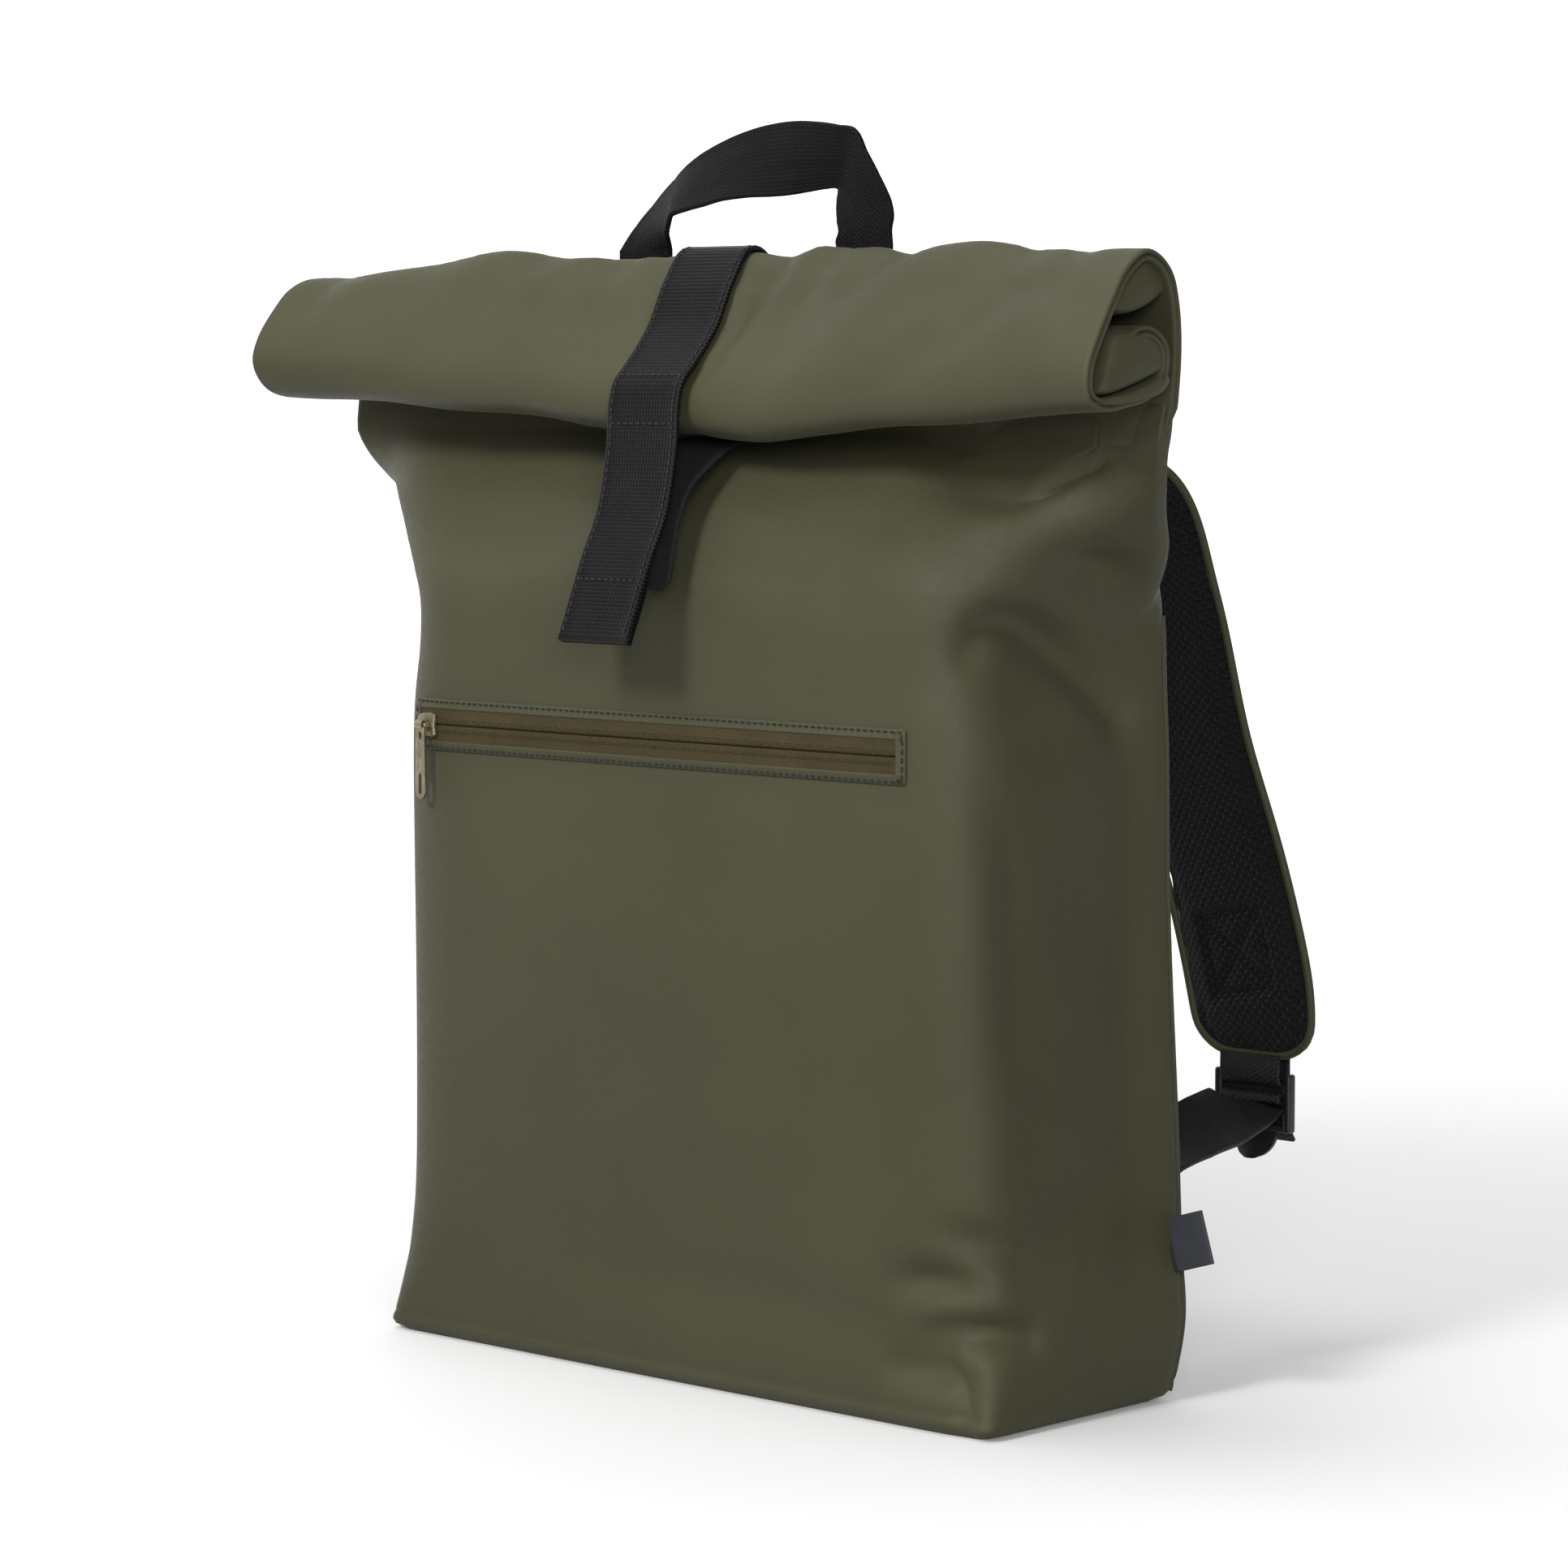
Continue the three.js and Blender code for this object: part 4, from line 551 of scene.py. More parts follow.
# Above the neck the body's cloth is drawn in against the roll: share of the way up, half thickness
SLEEVE_HEIGHT = 0.014
SLEEVE_GROWTH = 0.008
NECK_SLEEVE = ((0.15, 0.0038), (0.35, 0.0033), (0.6, 0.0028), (0.85, 0.0023), (1.0, 0.0017))
neck_row = body_grid[-1]
neck_lines = [smooth_curve(roll_folds_at(float(np.clip(2 * x / ROLL_LENGTH, -1, 1))),
                           np.linspace(0, 0.06, 7))
              for x in neck_row[:, 0]]
sleeve_rows = []
for share, half_thickness in NECK_SLEEVE:
    row = neck_row.copy()
    for c, line in enumerate(neck_lines):
        stand = neck_row[c, 1] - line[0, 1]
        row[c, 0] *= 1 + SLEEVE_GROWTH * share
        row[c, 1] = np.interp(share * SLEEVE_HEIGHT, line[:, 2] - line[0, 2], line[:, 1])
        row[c, 1] += math.copysign(min(abs(stand), half_thickness), stand)
        row[c, 2] = NECK_HEIGHT + share * SLEEVE_HEIGHT
    sleeve_rows.append(row)
cloth_grid = np.concatenate([body_grid, np.array(sleeve_rows)])
rows, columns = cloth_grid.shape[:2]
base_middle = rows * columns
body_faces = grid_faces(rows, columns)
body_faces += [(c + 1 if c + 1 < columns else 0, c, base_middle) for c in range(columns)]
bag_body = make_piece("bag_body", np.vstack([cloth_grid.reshape(-1, 3), [[0, 0, 0]]]), body_faces,
                      olive_fabric)
face_outward(bag_body)
panel_tree = BVHTree.FromPolygons([v.co.copy() for v in bag_body.data.vertices],
                                  [tuple(p.vertices) for p in bag_body.data.polygons])
cloth_wall = bag_body.modifiers.new("cloth_wall", "SOLIDIFY")
cloth_wall.thickness = FABRIC_WALL
cloth_wall.offset = -1
apply_modifiers(bag_body)
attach(bag_body, "bag")
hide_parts("bag_shell")


def on_panel(x, z, side, lift=0.0):
    """The point over (x, z) on the front (-1) or back (+1) panel, lifted, and the normal there."""
    place, normal, _, _ = panel_tree.ray_cast(Vector((x, side * 0.4, z)), Vector((0, -side, 0)))
    normal = np.array(normal) * (1 if normal.y * side > 0 else -1)
    return np.array(place) + normal * lift, normal


# Rolled mouth
# The bag's two panels laid together above the neck, with the gusset tucked between them at each
# end, rolled forward over itself. Strap and folds pull short creases into it.
ROLL_THICKNESS = 0.0044
ROLL_NECK_TAPER = 0.02
ROLL_SINK = 0.004
ROLL_TUCKED_IN = 0.03
ROLL_SINK_END = 0.06
ROLL_TAPER_END = 0.2
ROLL_TUCK_END = 0.045
ROLL_END_CROWDING = 0.86
ROLL_SAG_SHARES = (0.04, 0.2, 0.4, 0.65, 0.88, 1.0)
ROLL_SAG_DROPS = (0, 0.0055, 0.0064, 0.0046, 0.0022, 0)
ROLL_PATH_STEPS = 108
ROLL_LENGTH_STEPS = 124

# Creases on the roll, in shares of its half length and of its path: x and path of both ends,
# width in metres, depth in metres
ROLL_CREASES = (
    (0.13, 0.27, 0.1, 0.47, 0.006, 0.0026),
    (0.2, 0.25, 0.13, 0.4, 0.007, 0.0034),
    (0.36, 0.24, 0.22, 0.42, 0.008, 0.0026),
    (0.52, 0.22, 0.4, 0.36, 0.009, 0.003),
    (0.46, 0.3, 0.2, 0.5, 0.011, 0.0016),
    (0.49, 0.43, 0.68, 0.335, 0.008, 0.0022),
    (0.54, 0.5, 0.87, 0.35, 0.009, 0.0024),
    (0.785, 0.33, 0.96, 0.43, 0.01, 0.0022),
    (0.78, 0.22, 0.7, 0.4, 0.012, 0.0034),
    (0.9, 0.2, 0.86, 0.3, 0.008, 0.0024),
    (-0.13, 0.27, -0.1, 0.45, 0.006, 0.0022),
    (-0.2, 0.24, -0.32, 0.4, 0.011, 0.0036),
    (-0.3, 0.22, -0.5, 0.36, 0.009, 0.002),
    (-0.62, 0.24, -0.74, 0.4, 0.014, 0.0022),
    (-0.9, 0.26, -0.94, 0.4, 0.01, 0.002),
    (0.3, 0.04, 0.22, 0.16, 0.008, 0.0024),
    (-0.34, 0.04, -0.26, 0.17, 0.008, 0.0024),
    (0.6, 0.05, 0.52, 0.18, 0.009, 0.002),
    (-0.62, 0.05, -0.54, 0.18, 0.009, 0.002),
)


def roll_section(share, places):
    """Middle line of the roll at a share of its half length, with normals that face outward."""
    folds = roll_folds_at(share)
    at = smooth_curve(folds, places)
    ahead = smooth_curve(folds, np.minimum(places + 1e-4, 1))
    behind = smooth_curve(folds, np.maximum(places - 1e-4, 0))
    along = ahead - behind
    along /= np.linalg.norm(along, axis=1, keepdims=True)
    normals = np.stack([np.zeros(len(at)), along[:, 2], -along[:, 1]], axis=1)
    return at, normals


roll_places = np.linspace(0, 1, ROLL_PATH_STEPS + 1)
roll_turns = np.linspace(-1, 1, ROLL_LENGTH_STEPS + 1) * math.pi / 2 * ROLL_END_CROWDING
roll_shares = np.sin(roll_turns) / math.sin(math.pi / 2 * ROLL_END_CROWDING)
roll_mid = []
roll_out = []
for share in roll_shares:
    section_at, section_normals = roll_section(share, roll_places)
    section_at[:, 2] -= ROLL_SINK * np.maximum(1 - roll_places / ROLL_SINK_END, 0)
    drawn_in = (ROLL_NECK_TAPER * np.maximum(1 - roll_places / ROLL_TAPER_END, 0)
                + ROLL_TUCKED_IN * np.maximum(1 - roll_places / ROLL_TUCK_END, 0))
    section_at[:, 0] = share * ROLL_LENGTH / 2 * (1 - drawn_in)
    sag = np.interp(share, ROLL_SAG_SHARES, ROLL_SAG_DROPS)
    section_at[:, 2] -= sag * np.sin(math.pi * np.clip((roll_places - 0.4) / 0.4, 0, 1)) ** 2
    roll_mid.append(section_at)
    roll_out.append(section_normals)
roll_mid = np.array(roll_mid)
roll_out = np.array(roll_out)

crease_depth = np.zeros(roll_mid.shape[:2])
for x0, place0, x1, place1, width, depth in ROLL_CREASES:
    line_share = np.linspace(x0, x1, 16)
    line_place = np.linspace(place0, place1, 16)
    line = np.array([
        roll_mid[np.abs(roll_shares - s).argmin(), np.abs(roll_places - p).argmin()]
        for s, p in zip(line_share, line_place)])
    reach = np.linalg.norm(roll_mid[:, :, None, :] - line[None, None, :, :], axis=3)
    fade = np.sin(math.pi * np.clip(0.15 + 0.7 * reach.argmin(axis=2) / 15, 0, 1))
    near = np.abs(roll_places[None, :] - 0.5 * (place0 + place1)) < 0.22
    crease_depth += depth * fade * np.exp(-(reach.min(axis=2) / width) ** 2) * near
# The cloth lies looser towards its ends, in long shallow waves
wave = 0.0009 * np.sin(roll_shares * 15 + 0.6)[:, None] * np.sin(roll_places * 19)[None, :]
wave *= (np.abs(roll_shares) > 0.2)[:, None] * (roll_places > 0.12)[None, :]
roll_surface = roll_mid - roll_out * (crease_depth - wave)[..., None]

# The roll is closed at each end by two rounded lips with the gusset's groove between them
LIP_STEPS = 10
lip_turn = np.linspace(1, -1, LIP_STEPS + 1)[1:-1]
half_ply = ROLL_THICKNESS / 2
lip_reach = 0.0011 * np.sqrt(np.maximum(1 - ((np.abs(lip_turn) - 0.5) / 0.5) ** 2, 0))
lip_reach -= 0.0028 * np.exp(-(lip_turn / 0.16) ** 2)
around = []
for k in range(ROLL_LENGTH_STEPS + 1):
    around.append((k, 1.0, 0.0))
around += [(ROLL_LENGTH_STEPS, turn, reach) for turn, reach in zip(lip_turn, lip_reach)]
around += [(k, -1.0, 0.0) for k in range(ROLL_LENGTH_STEPS, -1, -1)]
around += [(0, -turn, -reach) for turn, reach in zip(lip_turn, lip_reach)]
# The ply thins towards the neck, where the body's cloth covers it
ply_share = np.minimum(0.2 + roll_places / 0.07, 1)
roll_grid = np.zeros((ROLL_PATH_STEPS + 1, len(around), 3))
for c, (k, turn, reach) in enumerate(around):
    roll_grid[:, c] = roll_surface[k] + roll_out[k] * (half_ply * turn * ply_share)[:, None]
    roll_grid[:, c, 0] += reach
rows, columns = roll_grid.shape[:2]
roll_faces = grid_faces(rows, columns)
front_count = ROLL_LENGTH_STEPS + 1
back_start = front_count + len(lip_turn)


def thin_cap(row, flip):
    """Closes a thin ring of points across its thickness."""
    start = row * columns
    upper = list(range(front_count))
    lower = [back_start + ROLL_LENGTH_STEPS - k for k in upper]
    quads = []
    for k in range(ROLL_LENGTH_STEPS):
        quad = (start + upper[k], start + lower[k], start + lower[k + 1], start + upper[k + 1])
        quads.append(quad[::-1] if flip else quad)
    right = list(range(start + front_count - 1, start + back_start + 1))
    left = list(range(start + columns - len(lip_turn) - 1, start + columns)) + [start]
    quads.append(tuple(right if flip else right[::-1]))
    quads.append(tuple(left if flip else left[::-1]))
    return quads


roll_faces += thin_cap(0, False) + thin_cap(rows - 1, True)
roll_cloth = make_piece("roll_cloth", roll_grid, roll_faces, olive_fabric)
face_outward(roll_cloth)
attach(roll_cloth, "bag")
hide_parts("rolled_top")

# The gusset's ends are tucked into the roll as soft pads, and at the crest as a small facet.
# Outlines as seen from the side, forward and up, in metres.
TUCK_REACH = 0.2172
TUCK_DEPTH = 0.038
RIGHT_TUCK_UPPER = (
    (-0.0560, 0.3885), (-0.0535, 0.3965), (-0.0505, 0.4055), (-0.0480, 0.4100), (-0.0430, 0.4112),
    (-0.0350, 0.4112), (-0.0283, 0.4103), (-0.0225, 0.4070), (-0.0190, 0.4025), (-0.0180, 0.3990),
    (-0.0215, 0.3965), (-0.0320, 0.3928), (-0.0440, 0.3895), (-0.0520, 0.3878),
)
RIGHT_TUCK_LOWER = (
    (-0.0585, 0.3862), (-0.0520, 0.3868), (-0.0430, 0.3886), (-0.0310, 0.3920), (-0.0205, 0.3957),
    (-0.0165, 0.3960), (-0.0150, 0.3935), (-0.0185, 0.3895), (-0.0260, 0.3868), (-0.0340, 0.3850),
    (-0.0450, 0.3835), (-0.0560, 0.3835), (-0.0600, 0.3845),
)
LEFT_TUCK = (
    (-0.0240, 0.3945), (-0.0250, 0.4045), (-0.0340, 0.4115), (-0.0480, 0.4115), (-0.0590, 0.4050),
    (-0.0640, 0.3965), (-0.0620, 0.3925), (-0.0450, 0.3930), (-0.0330, 0.3935),
)
# Rings of a tuck from its rounded face inward: how far in, and its size
TUCK_RINGS = (
    (0.0, 0.02), (0.0002, 0.4), (0.0006, 0.68), (0.0014, 0.86), (0.0028, 0.96), (0.005, 1.0),
    (0.009, 1.01), (0.016, 1.0), (0.026, 0.98), (TUCK_DEPTH, 0.9), (TUCK_DEPTH, 0.02),
)


def smooth_loop(points, count):
    points = np.asarray(points, float)
    looped = np.vstack([points[-2:], points, points[:2]])
    places = np.linspace(2, len(points) + 2, count, endpoint=False) / (len(looped) - 1)
    return smooth_curve(looped, places)


def roll_tuck(name, outline, hand):
    flat = smooth_loop([(0, y, z) for y, z in outline], 48)
    middle = flat.mean(axis=0)
    sections = []
    for inward, size in TUCK_RINGS:
        ring = middle + (flat - middle) * size
        ring[:, 0] = hand * (TUCK_REACH + 0.0016 - inward)
        sections.append(ring)
    piece = make_piece(name, np.array(sections), grid_faces(len(sections), 48), olive_fabric)
    face_outward(piece)
    finer = piece.modifiers.new("finer", "SUBSURF")
    finer.levels = 1
    apply_modifiers(piece)
    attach(piece, "bag")


roll_tuck("roll_tuck_right_upper", RIGHT_TUCK_UPPER, 1)
roll_tuck("roll_tuck_right_lower", RIGHT_TUCK_LOWER, 1)
roll_tuck("roll_tuck_left", LEFT_TUCK, -1)

FACET_TOP = (0.2135, -0.0300, 0.4375)
FACET_FRONT = (0.2125, -0.0465, 0.4190)
FACET_BACK = (0.2145, -0.0150, 0.4290)
FACET_SAG = 0.0042
FACET_BULGE = 0.0022
FACET_CURL = 0.0012
FACET_DEPTH = 0.032
FACET_PLY = 0.0014
facet_grid = []
for v in np.concatenate([np.linspace(0.04, 1, 12), np.linspace(1.06, 1.5, 5),
                         np.linspace(1.7, 2.6, 4)]):
    down = min(v, 1)
    turned_in = max(v - 1, 0)
    front_end = np.array(FACET_TOP) + (np.array(FACET_FRONT) - FACET_TOP) * down
    back_end = np.array(FACET_TOP) + (np.array(FACET_BACK) - FACET_TOP) * down
    row = []
    for u in np.linspace(0, 1, 17):
        point = front_end + (back_end - front_end) * u
        point[2] -= FACET_SAG * math.sin(math.pi * u) * down
        point[2] -= FACET_CURL * math.sin(math.pi * min(turned_in / 0.5, 1))
        point[0] += FACET_BULGE * math.sin(math.pi * u) * math.sin(math.pi * min(down, 0.98))
        point[0] -= FACET_DEPTH * turned_in / 1.6
        row.append(point)
    facet_grid.append(row)
facet_grid = np.array(facet_grid)
roll_facet = make_piece("roll_facet", facet_grid, grid_faces(*facet_grid.shape[:2], closed=False),
                        olive_fabric)
ply = roll_facet.modifiers.new("ply", "SOLIDIFY")
ply.thickness = FACET_PLY
ply.offset = 0
apply_modifiers(roll_facet)
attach(roll_facet, "bag")


# Back corner seams
# Where the back panel is sewn to the sides the cloth stands out as a narrow rounded seam.
SEAM_RADIUS = 0.0011
SEAM_TOP = 0.305
RIGHT_SEAM_COLUMN = 149
LEFT_SEAM_COLUMN = 197


def tube(name, path, radius, material, sides=10):
    """Round cord along a path, closed at both ends."""
    path = np.asarray(path, float)
    along = np.gradient(path, axis=0)
    along /= np.linalg.norm(along, axis=1, keepdims=True)
    first = np.array([0.31, 0.52, 0.8])
    side = np.cross(along, first)
    side /= np.linalg.norm(side, axis=1, keepdims=True)
    rise = np.cross(side, along)
    turns = np.linspace(0, 2 * math.pi, sides, endpoint=False)
    grid = np.array([[p + s * math.cos(a) * radius + r * math.sin(a) * radius for a in turns]
                     for p, s, r in zip(path, side, rise)])
    faces = grid_faces(len(path), sides)
    faces.append(tuple(range(sides))[::-1])
    faces.append(tuple((len(path) - 1) * sides + k for k in range(sides)))
    piece = make_piece(name, grid, faces, material)
    face_outward(piece)
    return piece


for side_name, column in (("right", RIGHT_SEAM_COLUMN), ("left", LEFT_SEAM_COLUMN)):
    keep = (body_heights > 0.004) & (body_heights < SEAM_TOP)
    seam = tube(f"back_seam_{side_name}", body_grid[keep, column] + body_normals[keep, column] * 0.0003,
                SEAM_RADIUS, olive_fabric)
    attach(seam, "bag")


# Closure strap and loop tape
# One length of 38 mm black webbing from the back over the roll, its end folded and sewn to a hem.
# A fuzzy loop tape hangs from the neck behind it.
CLOSURE_WIDTH = 0.038
CLOSURE_THICKNESS = 0.0022
CLOSURE_DROP = 0.106
CLOSURE_SEAT = 0.0005
CLOSURE_FREE_END = (
    (0.063, 0.068, 1), (0.117, 0.125, 1), (0.14, 0.198, 1), (0.153, 0.359, 1), (0.204, 0.593, 1),
    (0.288, 0.768, 1), (0.325, 0.88, 2), (0.4, 1.057, 2),
)
LOOP_TAPE_DROP = 0.057
LOOP_TAPE_SEAM = 0.003
LOOP_TAPE_HANG = (
    (0.224, 0.03, 1), (0.472, 0.167, 1), (0.672, 0.328, 1), (0.769, 0.51, 1), (0.817, 0.676, 1),
    (0.87, 0.93, 1), (0.894, 1, 0.82),
)
YOKE_TOP = 0.352
ROLL_FRONT_PLACE = 13 / 30
HEM_ROW = 0.025
LOWER_ROW = 0.089
KINK_ROW = 0.107

# Woven ribs run across the webbing, with a chevron where the slope turns every few millimetres
woven_ribs, ribs_in, ribs_out = group_tree(
    "woven_ribs",
    (("Along Across", VECTOR), ("Rib Pitch", FLOAT), ("Slope", FLOAT), ("Chevron Width", FLOAT),
     ("Yarn Pitch", FLOAT)),
    (("Height", FLOAT), ("Yarn", FLOAT)),
)
ribs_split = node(woven_ribs, "ShaderNodeSeparateXYZ", {0: ribs_in.outputs["Along Across"]})


def calc(tree, operation, a, b=0.0):
    return node(tree, "ShaderNodeMath", {0: a, 1: b}, operation=operation).outputs[0]


ribs_fold = calc(woven_ribs, "PINGPONG", ribs_split.outputs["Y"], ribs_in.outputs["Chevron Width"])
ribs_lean = calc(woven_ribs, "MULTIPLY", ribs_fold, ribs_in.outputs["Slope"])
ribs_along = calc(woven_ribs, "ADD", ribs_split.outputs["X"], ribs_lean)
ribs_turns = calc(woven_ribs, "DIVIDE", ribs_along, ribs_in.outputs["Rib Pitch"])
ribs_wave = calc(woven_ribs, "SINE", calc(woven_ribs, "MULTIPLY", ribs_turns, 2 * math.pi))
yarn_turns = calc(woven_ribs, "DIVIDE", ribs_split.outputs["Y"], ribs_in.outputs["Yarn Pitch"])
yarn_wave = calc(woven_ribs, "SINE", calc(woven_ribs, "MULTIPLY", yarn_turns, 2 * math.pi))
ribs_mix = calc(woven_ribs, "ADD", ribs_wave, calc(woven_ribs, "MULTIPLY", yarn_wave, 0.55))
ribs_height = node(woven_ribs, "ShaderNodeMapRange",
                   {"Value": ribs_mix, "From Min": -1.55, "From Max": 1.55})
woven_ribs.links.new(ribs_height.outputs["Result"], ribs_out.inputs["Height"])
yarn_share = node(woven_ribs, "ShaderNodeMapRange", {"Value": yarn_wave, "From Min": -1, "From Max": 1})
woven_ribs.links.new(yarn_share.outputs["Result"], ribs_out.inputs["Yarn"])


def woven_material(name, deep, lit, rib_pitch, slope, chevron, yarn_pitch, bump_height=0.0003,
                   shine=0.3, rib_shade_range=(0.15, 1.7), gloss=(0.5, 0.7)):
    material, tree, shader = new_material(name)
    flat = node(tree, "ShaderNodeUVMap", uv_map="along_across").outputs["UV"]
    ribs = placed_group(tree, woven_ribs, {
        "Along Across": flat, "Rib Pitch": rib_pitch, "Slope": slope, "Chevron Width": chevron,
        "Yarn Pitch": yarn_pitch})
    place = node(tree, "ShaderNodeTexCoord").outputs["Object"]
    wear = placed_group(tree, cloth_wear, {
        "Place": place, "Deep Colour": (*deep, 1), "Rubbed Colour": (*lit, 1), "Patch Scale": 35.0,
        "Speck Scale": 1500.0, "Speck Share": 0.4, "Roughness Low": gloss[0],
        "Roughness High": gloss[1]})
    # The ribs' height also darkens and lightens the colour: painted shade in the grooves and painted
    # highlight on the rib tops, standing in for the yarns' sheen.
    shade = node(tree, "ShaderNodeMapRange", {
        "Value": ribs.outputs["Height"], "To Min": rib_shade_range[0], "To Max": rib_shade_range[1]})
    shaded_colour = node(tree, "ShaderNodeMix", {0: 1.0, 6: wear.outputs["Colour"], 7: shade.outputs["Result"]},
                data_type="RGBA", blend_type="MULTIPLY")
    bump = node(tree, "ShaderNodeBump", {
        "Height": ribs.outputs["Height"], "Strength": 0.9, "Distance": bump_height})
    tree.links.new(shaded_colour.outputs[2], shader.inputs["Base Color"])
    tree.links.new(wear.outputs["Roughness"], shader.inputs["Roughness"])
    tree.links.new(bump.outputs["Normal"], shader.inputs["Normal"])
    shader.inputs["Specular IOR Level"].default_value = shine
    return material


closure_cloth = woven_material("ribbed_black_webbing", (0.0018, 0.0018, 0.002), (0.0055, 0.0055, 0.006),
                               0.0016, 0.0, 1.0, 0.0016, shine=0.16, rib_shade_range=(0.04, 2.4),
                               gloss=(0.34, 0.5))
twill_cloth = woven_material("herringbone_black_webbing", (0.0018, 0.0018, 0.0018),
                             (0.006, 0.006, 0.0064),
                             0.0019, 1.0, 0.0042, 0.0016, shine=0.1, rib_shade_range=(0.04, 2.2))

BAND_PROFILE = (
    (-1, 0.0), (-0.985, 0.62), (-0.955, 0.95), (-0.93, 1.0), (-0.9, 0.92), (-0.6, 0.88),
    (-0.3, 0.88), (0, 0.88), (0.3, 0.88), (0.6, 0.88), (0.9, 0.92), (0.93, 1.0), (0.955, 0.95),
    (0.985, 0.62), (1, 0.0),
)


def band_frames(at, across, slanted=None):
    """Ways along, across and out of a band; where slanted is 1 the line across stays as given."""
    at = np.asarray(at, float)
    across = np.asarray(across, float)
    along = np.zeros_like(at)
    along[1:-1] = at[2:] - at[:-2]
    along[0] = at[1] - at[0]
    along[-1] = at[-1] - at[-2]
    along /= np.linalg.norm(along, axis=1, keepdims=True)
    square = 1 if slanted is None else 1 - np.asarray(slanted, float)[:, None]
    across = across - square * along * (across * along).sum(axis=1, keepdims=True)
    across /= np.linalg.norm(across, axis=1, keepdims=True)
    up = np.cross(along, across)
    return along, across, up / np.linalg.norm(up, axis=1, keepdims=True)


def band(name, stations, material, slanted=None):
    """Flat webbing with selvedges through stations (place, across, width, thickness)."""
    at = np.array([s[0] for s in stations], float)
    width = np.array([s[2] for s in stations], float)
    thickness = np.array([s[3] for s in stations], float)
    _, across, up = band_frames(at, [s[1] for s in stations], slanted)
    length = np.concatenate([[0], np.cumsum(np.linalg.norm(np.diff(at, axis=0), axis=1))])
    profile = list(BAND_PROFILE) + [(u, -v) for u, v in BAND_PROFILE[-2:0:-1]]
    grid = np.zeros((len(at), len(profile), 3))
    uvs = np.zeros((len(at), len(profile), 2))
    for c, (u, v) in enumerate(profile):
        grid[:, c] = at + across * (u * width / 2)[:, None] + up * (v * thickness / 2)[:, None]
        uvs[:, c, 0] = length
        uvs[:, c, 1] = u * width / 2
    faces = grid_faces(len(at), len(profile))
    half = len(BAND_PROFILE)
    for start, flip in ((0, True), ((len(at) - 1) * len(profile), False)):
        for c in range(half - 1):
            low_a = (len(profile) - c) % len(profile)
            low_b = len(profile) - c - 1
            quad = (start + c, start + c + 1, start + low_b, start + low_a)
            quad = tuple(dict.fromkeys(quad))
            faces.append(quad if flip else quad[::-1])
    piece = make_piece(name, grid, faces, material, uvs)
    face_outward(piece)
    return piece


def finer_stations(stations, steps):
    """Stations along a smooth curve through the given ones."""
    last = len(stations) - 1
    places = np.linspace(0, last, last * steps + 1)
    at = smooth_curve([s[0] for s in stations], places / last)
    fine = []
    for point, place in zip(at, places):
        i = min(int(place), last - 1)
        t = place - i
        blend = [np.asarray(stations[i][k], float) * (1 - t)
                 + np.asarray(stations[i + 1][k], float) * t for k in (1, 2, 3)]
        fine.append((point, *blend))
    return fine


X_AXIS = (1.0, 0.0, 0.0)


def up_the_back(x, thickness, clearance):
    heights = np.linspace(YOKE_TOP - 0.006, NECK_HEIGHT - 0.0008, 9)
    return [on_panel(x, z, 1, clearance + thickness / 2)[0] for z in heights]


closure_lift = ROLL_THICKNESS / 2 + CLOSURE_SEAT + CLOSURE_THICKNESS / 2
over_at, over_out = roll_section(0.0, np.linspace(0.06, ROLL_FRONT_PLACE, 46))
over_roll = list(over_at + over_out * closure_lift)
leaves = over_roll[-1]
closure_stations = [(p, X_AXIS, CLOSURE_WIDTH, CLOSURE_THICKNESS)
                    for p in up_the_back(0, CLOSURE_THICKNESS, SEAT_GAP) + over_roll]
closure_free = [closure_stations[-1]]
for forward, drop, plies in CLOSURE_FREE_END:
    place = (0.0, leaves[1] - forward * CLOSURE_DROP, leaves[2] - drop * CLOSURE_DROP)
    closure_free.append((place, X_AXIS, CLOSURE_WIDTH, CLOSURE_THICKNESS * plies))
closure_free = finer_stations(closure_free, 8)
closure_stations += closure_free[1:]
closure_webbing = band("closure_webbing", closure_stations, closure_cloth)
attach(closure_webbing, "bag")
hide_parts("closure_strap")

tape_seam, _ = on_panel(0, NECK_HEIGHT - LOOP_TAPE_SEAM, -1, SEAT_GAP + CLOSURE_THICKNESS / 2)
tape_stations = [(tape_seam, X_AXIS, CLOSURE_WIDTH, CLOSURE_THICKNESS)]
for forward, drop, width in LOOP_TAPE_HANG:
    place = (0.0, tape_seam[1] - forward * LOOP_TAPE_DROP, tape_seam[2] - drop * LOOP_TAPE_DROP)
    tape_stations.append((place, X_AXIS, CLOSURE_WIDTH * width, CLOSURE_THICKNESS))


def worn_material(name, deep, rubbed, patch_scale, speck, roughness, bump_strength=0.0,
                  bump_height=0.0):
    """A material from the wear group alone; speck is the scale and share of its finest marks."""
    material, tree, shader = new_material(name)
    place = node(tree, "ShaderNodeTexCoord").outputs["Object"]
    wear = placed_group(tree, cloth_wear, {
        "Place": place, "Deep Colour": (*deep, 1), "Rubbed Colour": (*rubbed, 1),
        "Patch Scale": patch_scale, "Speck Scale": speck[0], "Speck Share": speck[1],
        "Roughness Low": roughness[0], "Roughness High": roughness[1]})
    tree.links.new(wear.outputs["Colour"], shader.inputs["Base Color"])
    tree.links.new(wear.outputs["Roughness"], shader.inputs["Roughness"])
    if bump_strength:
        bump = node(tree, "ShaderNodeBump", {
            "Height": wear.outputs["Height"], "Strength": bump_strength, "Distance": bump_height})
        tree.links.new(bump.outputs["Normal"], shader.inputs["Normal"])
    return material, shader


loop_pile, shader = worn_material("loop_pile", (0.004, 0.004, 0.004), (0.02, 0.02, 0.022), 120.0,
                                  (1800.0, 0.9), (0.85, 1.0), 1.0, 0.0006)
shader.inputs["Specular IOR Level"].default_value = 0.2

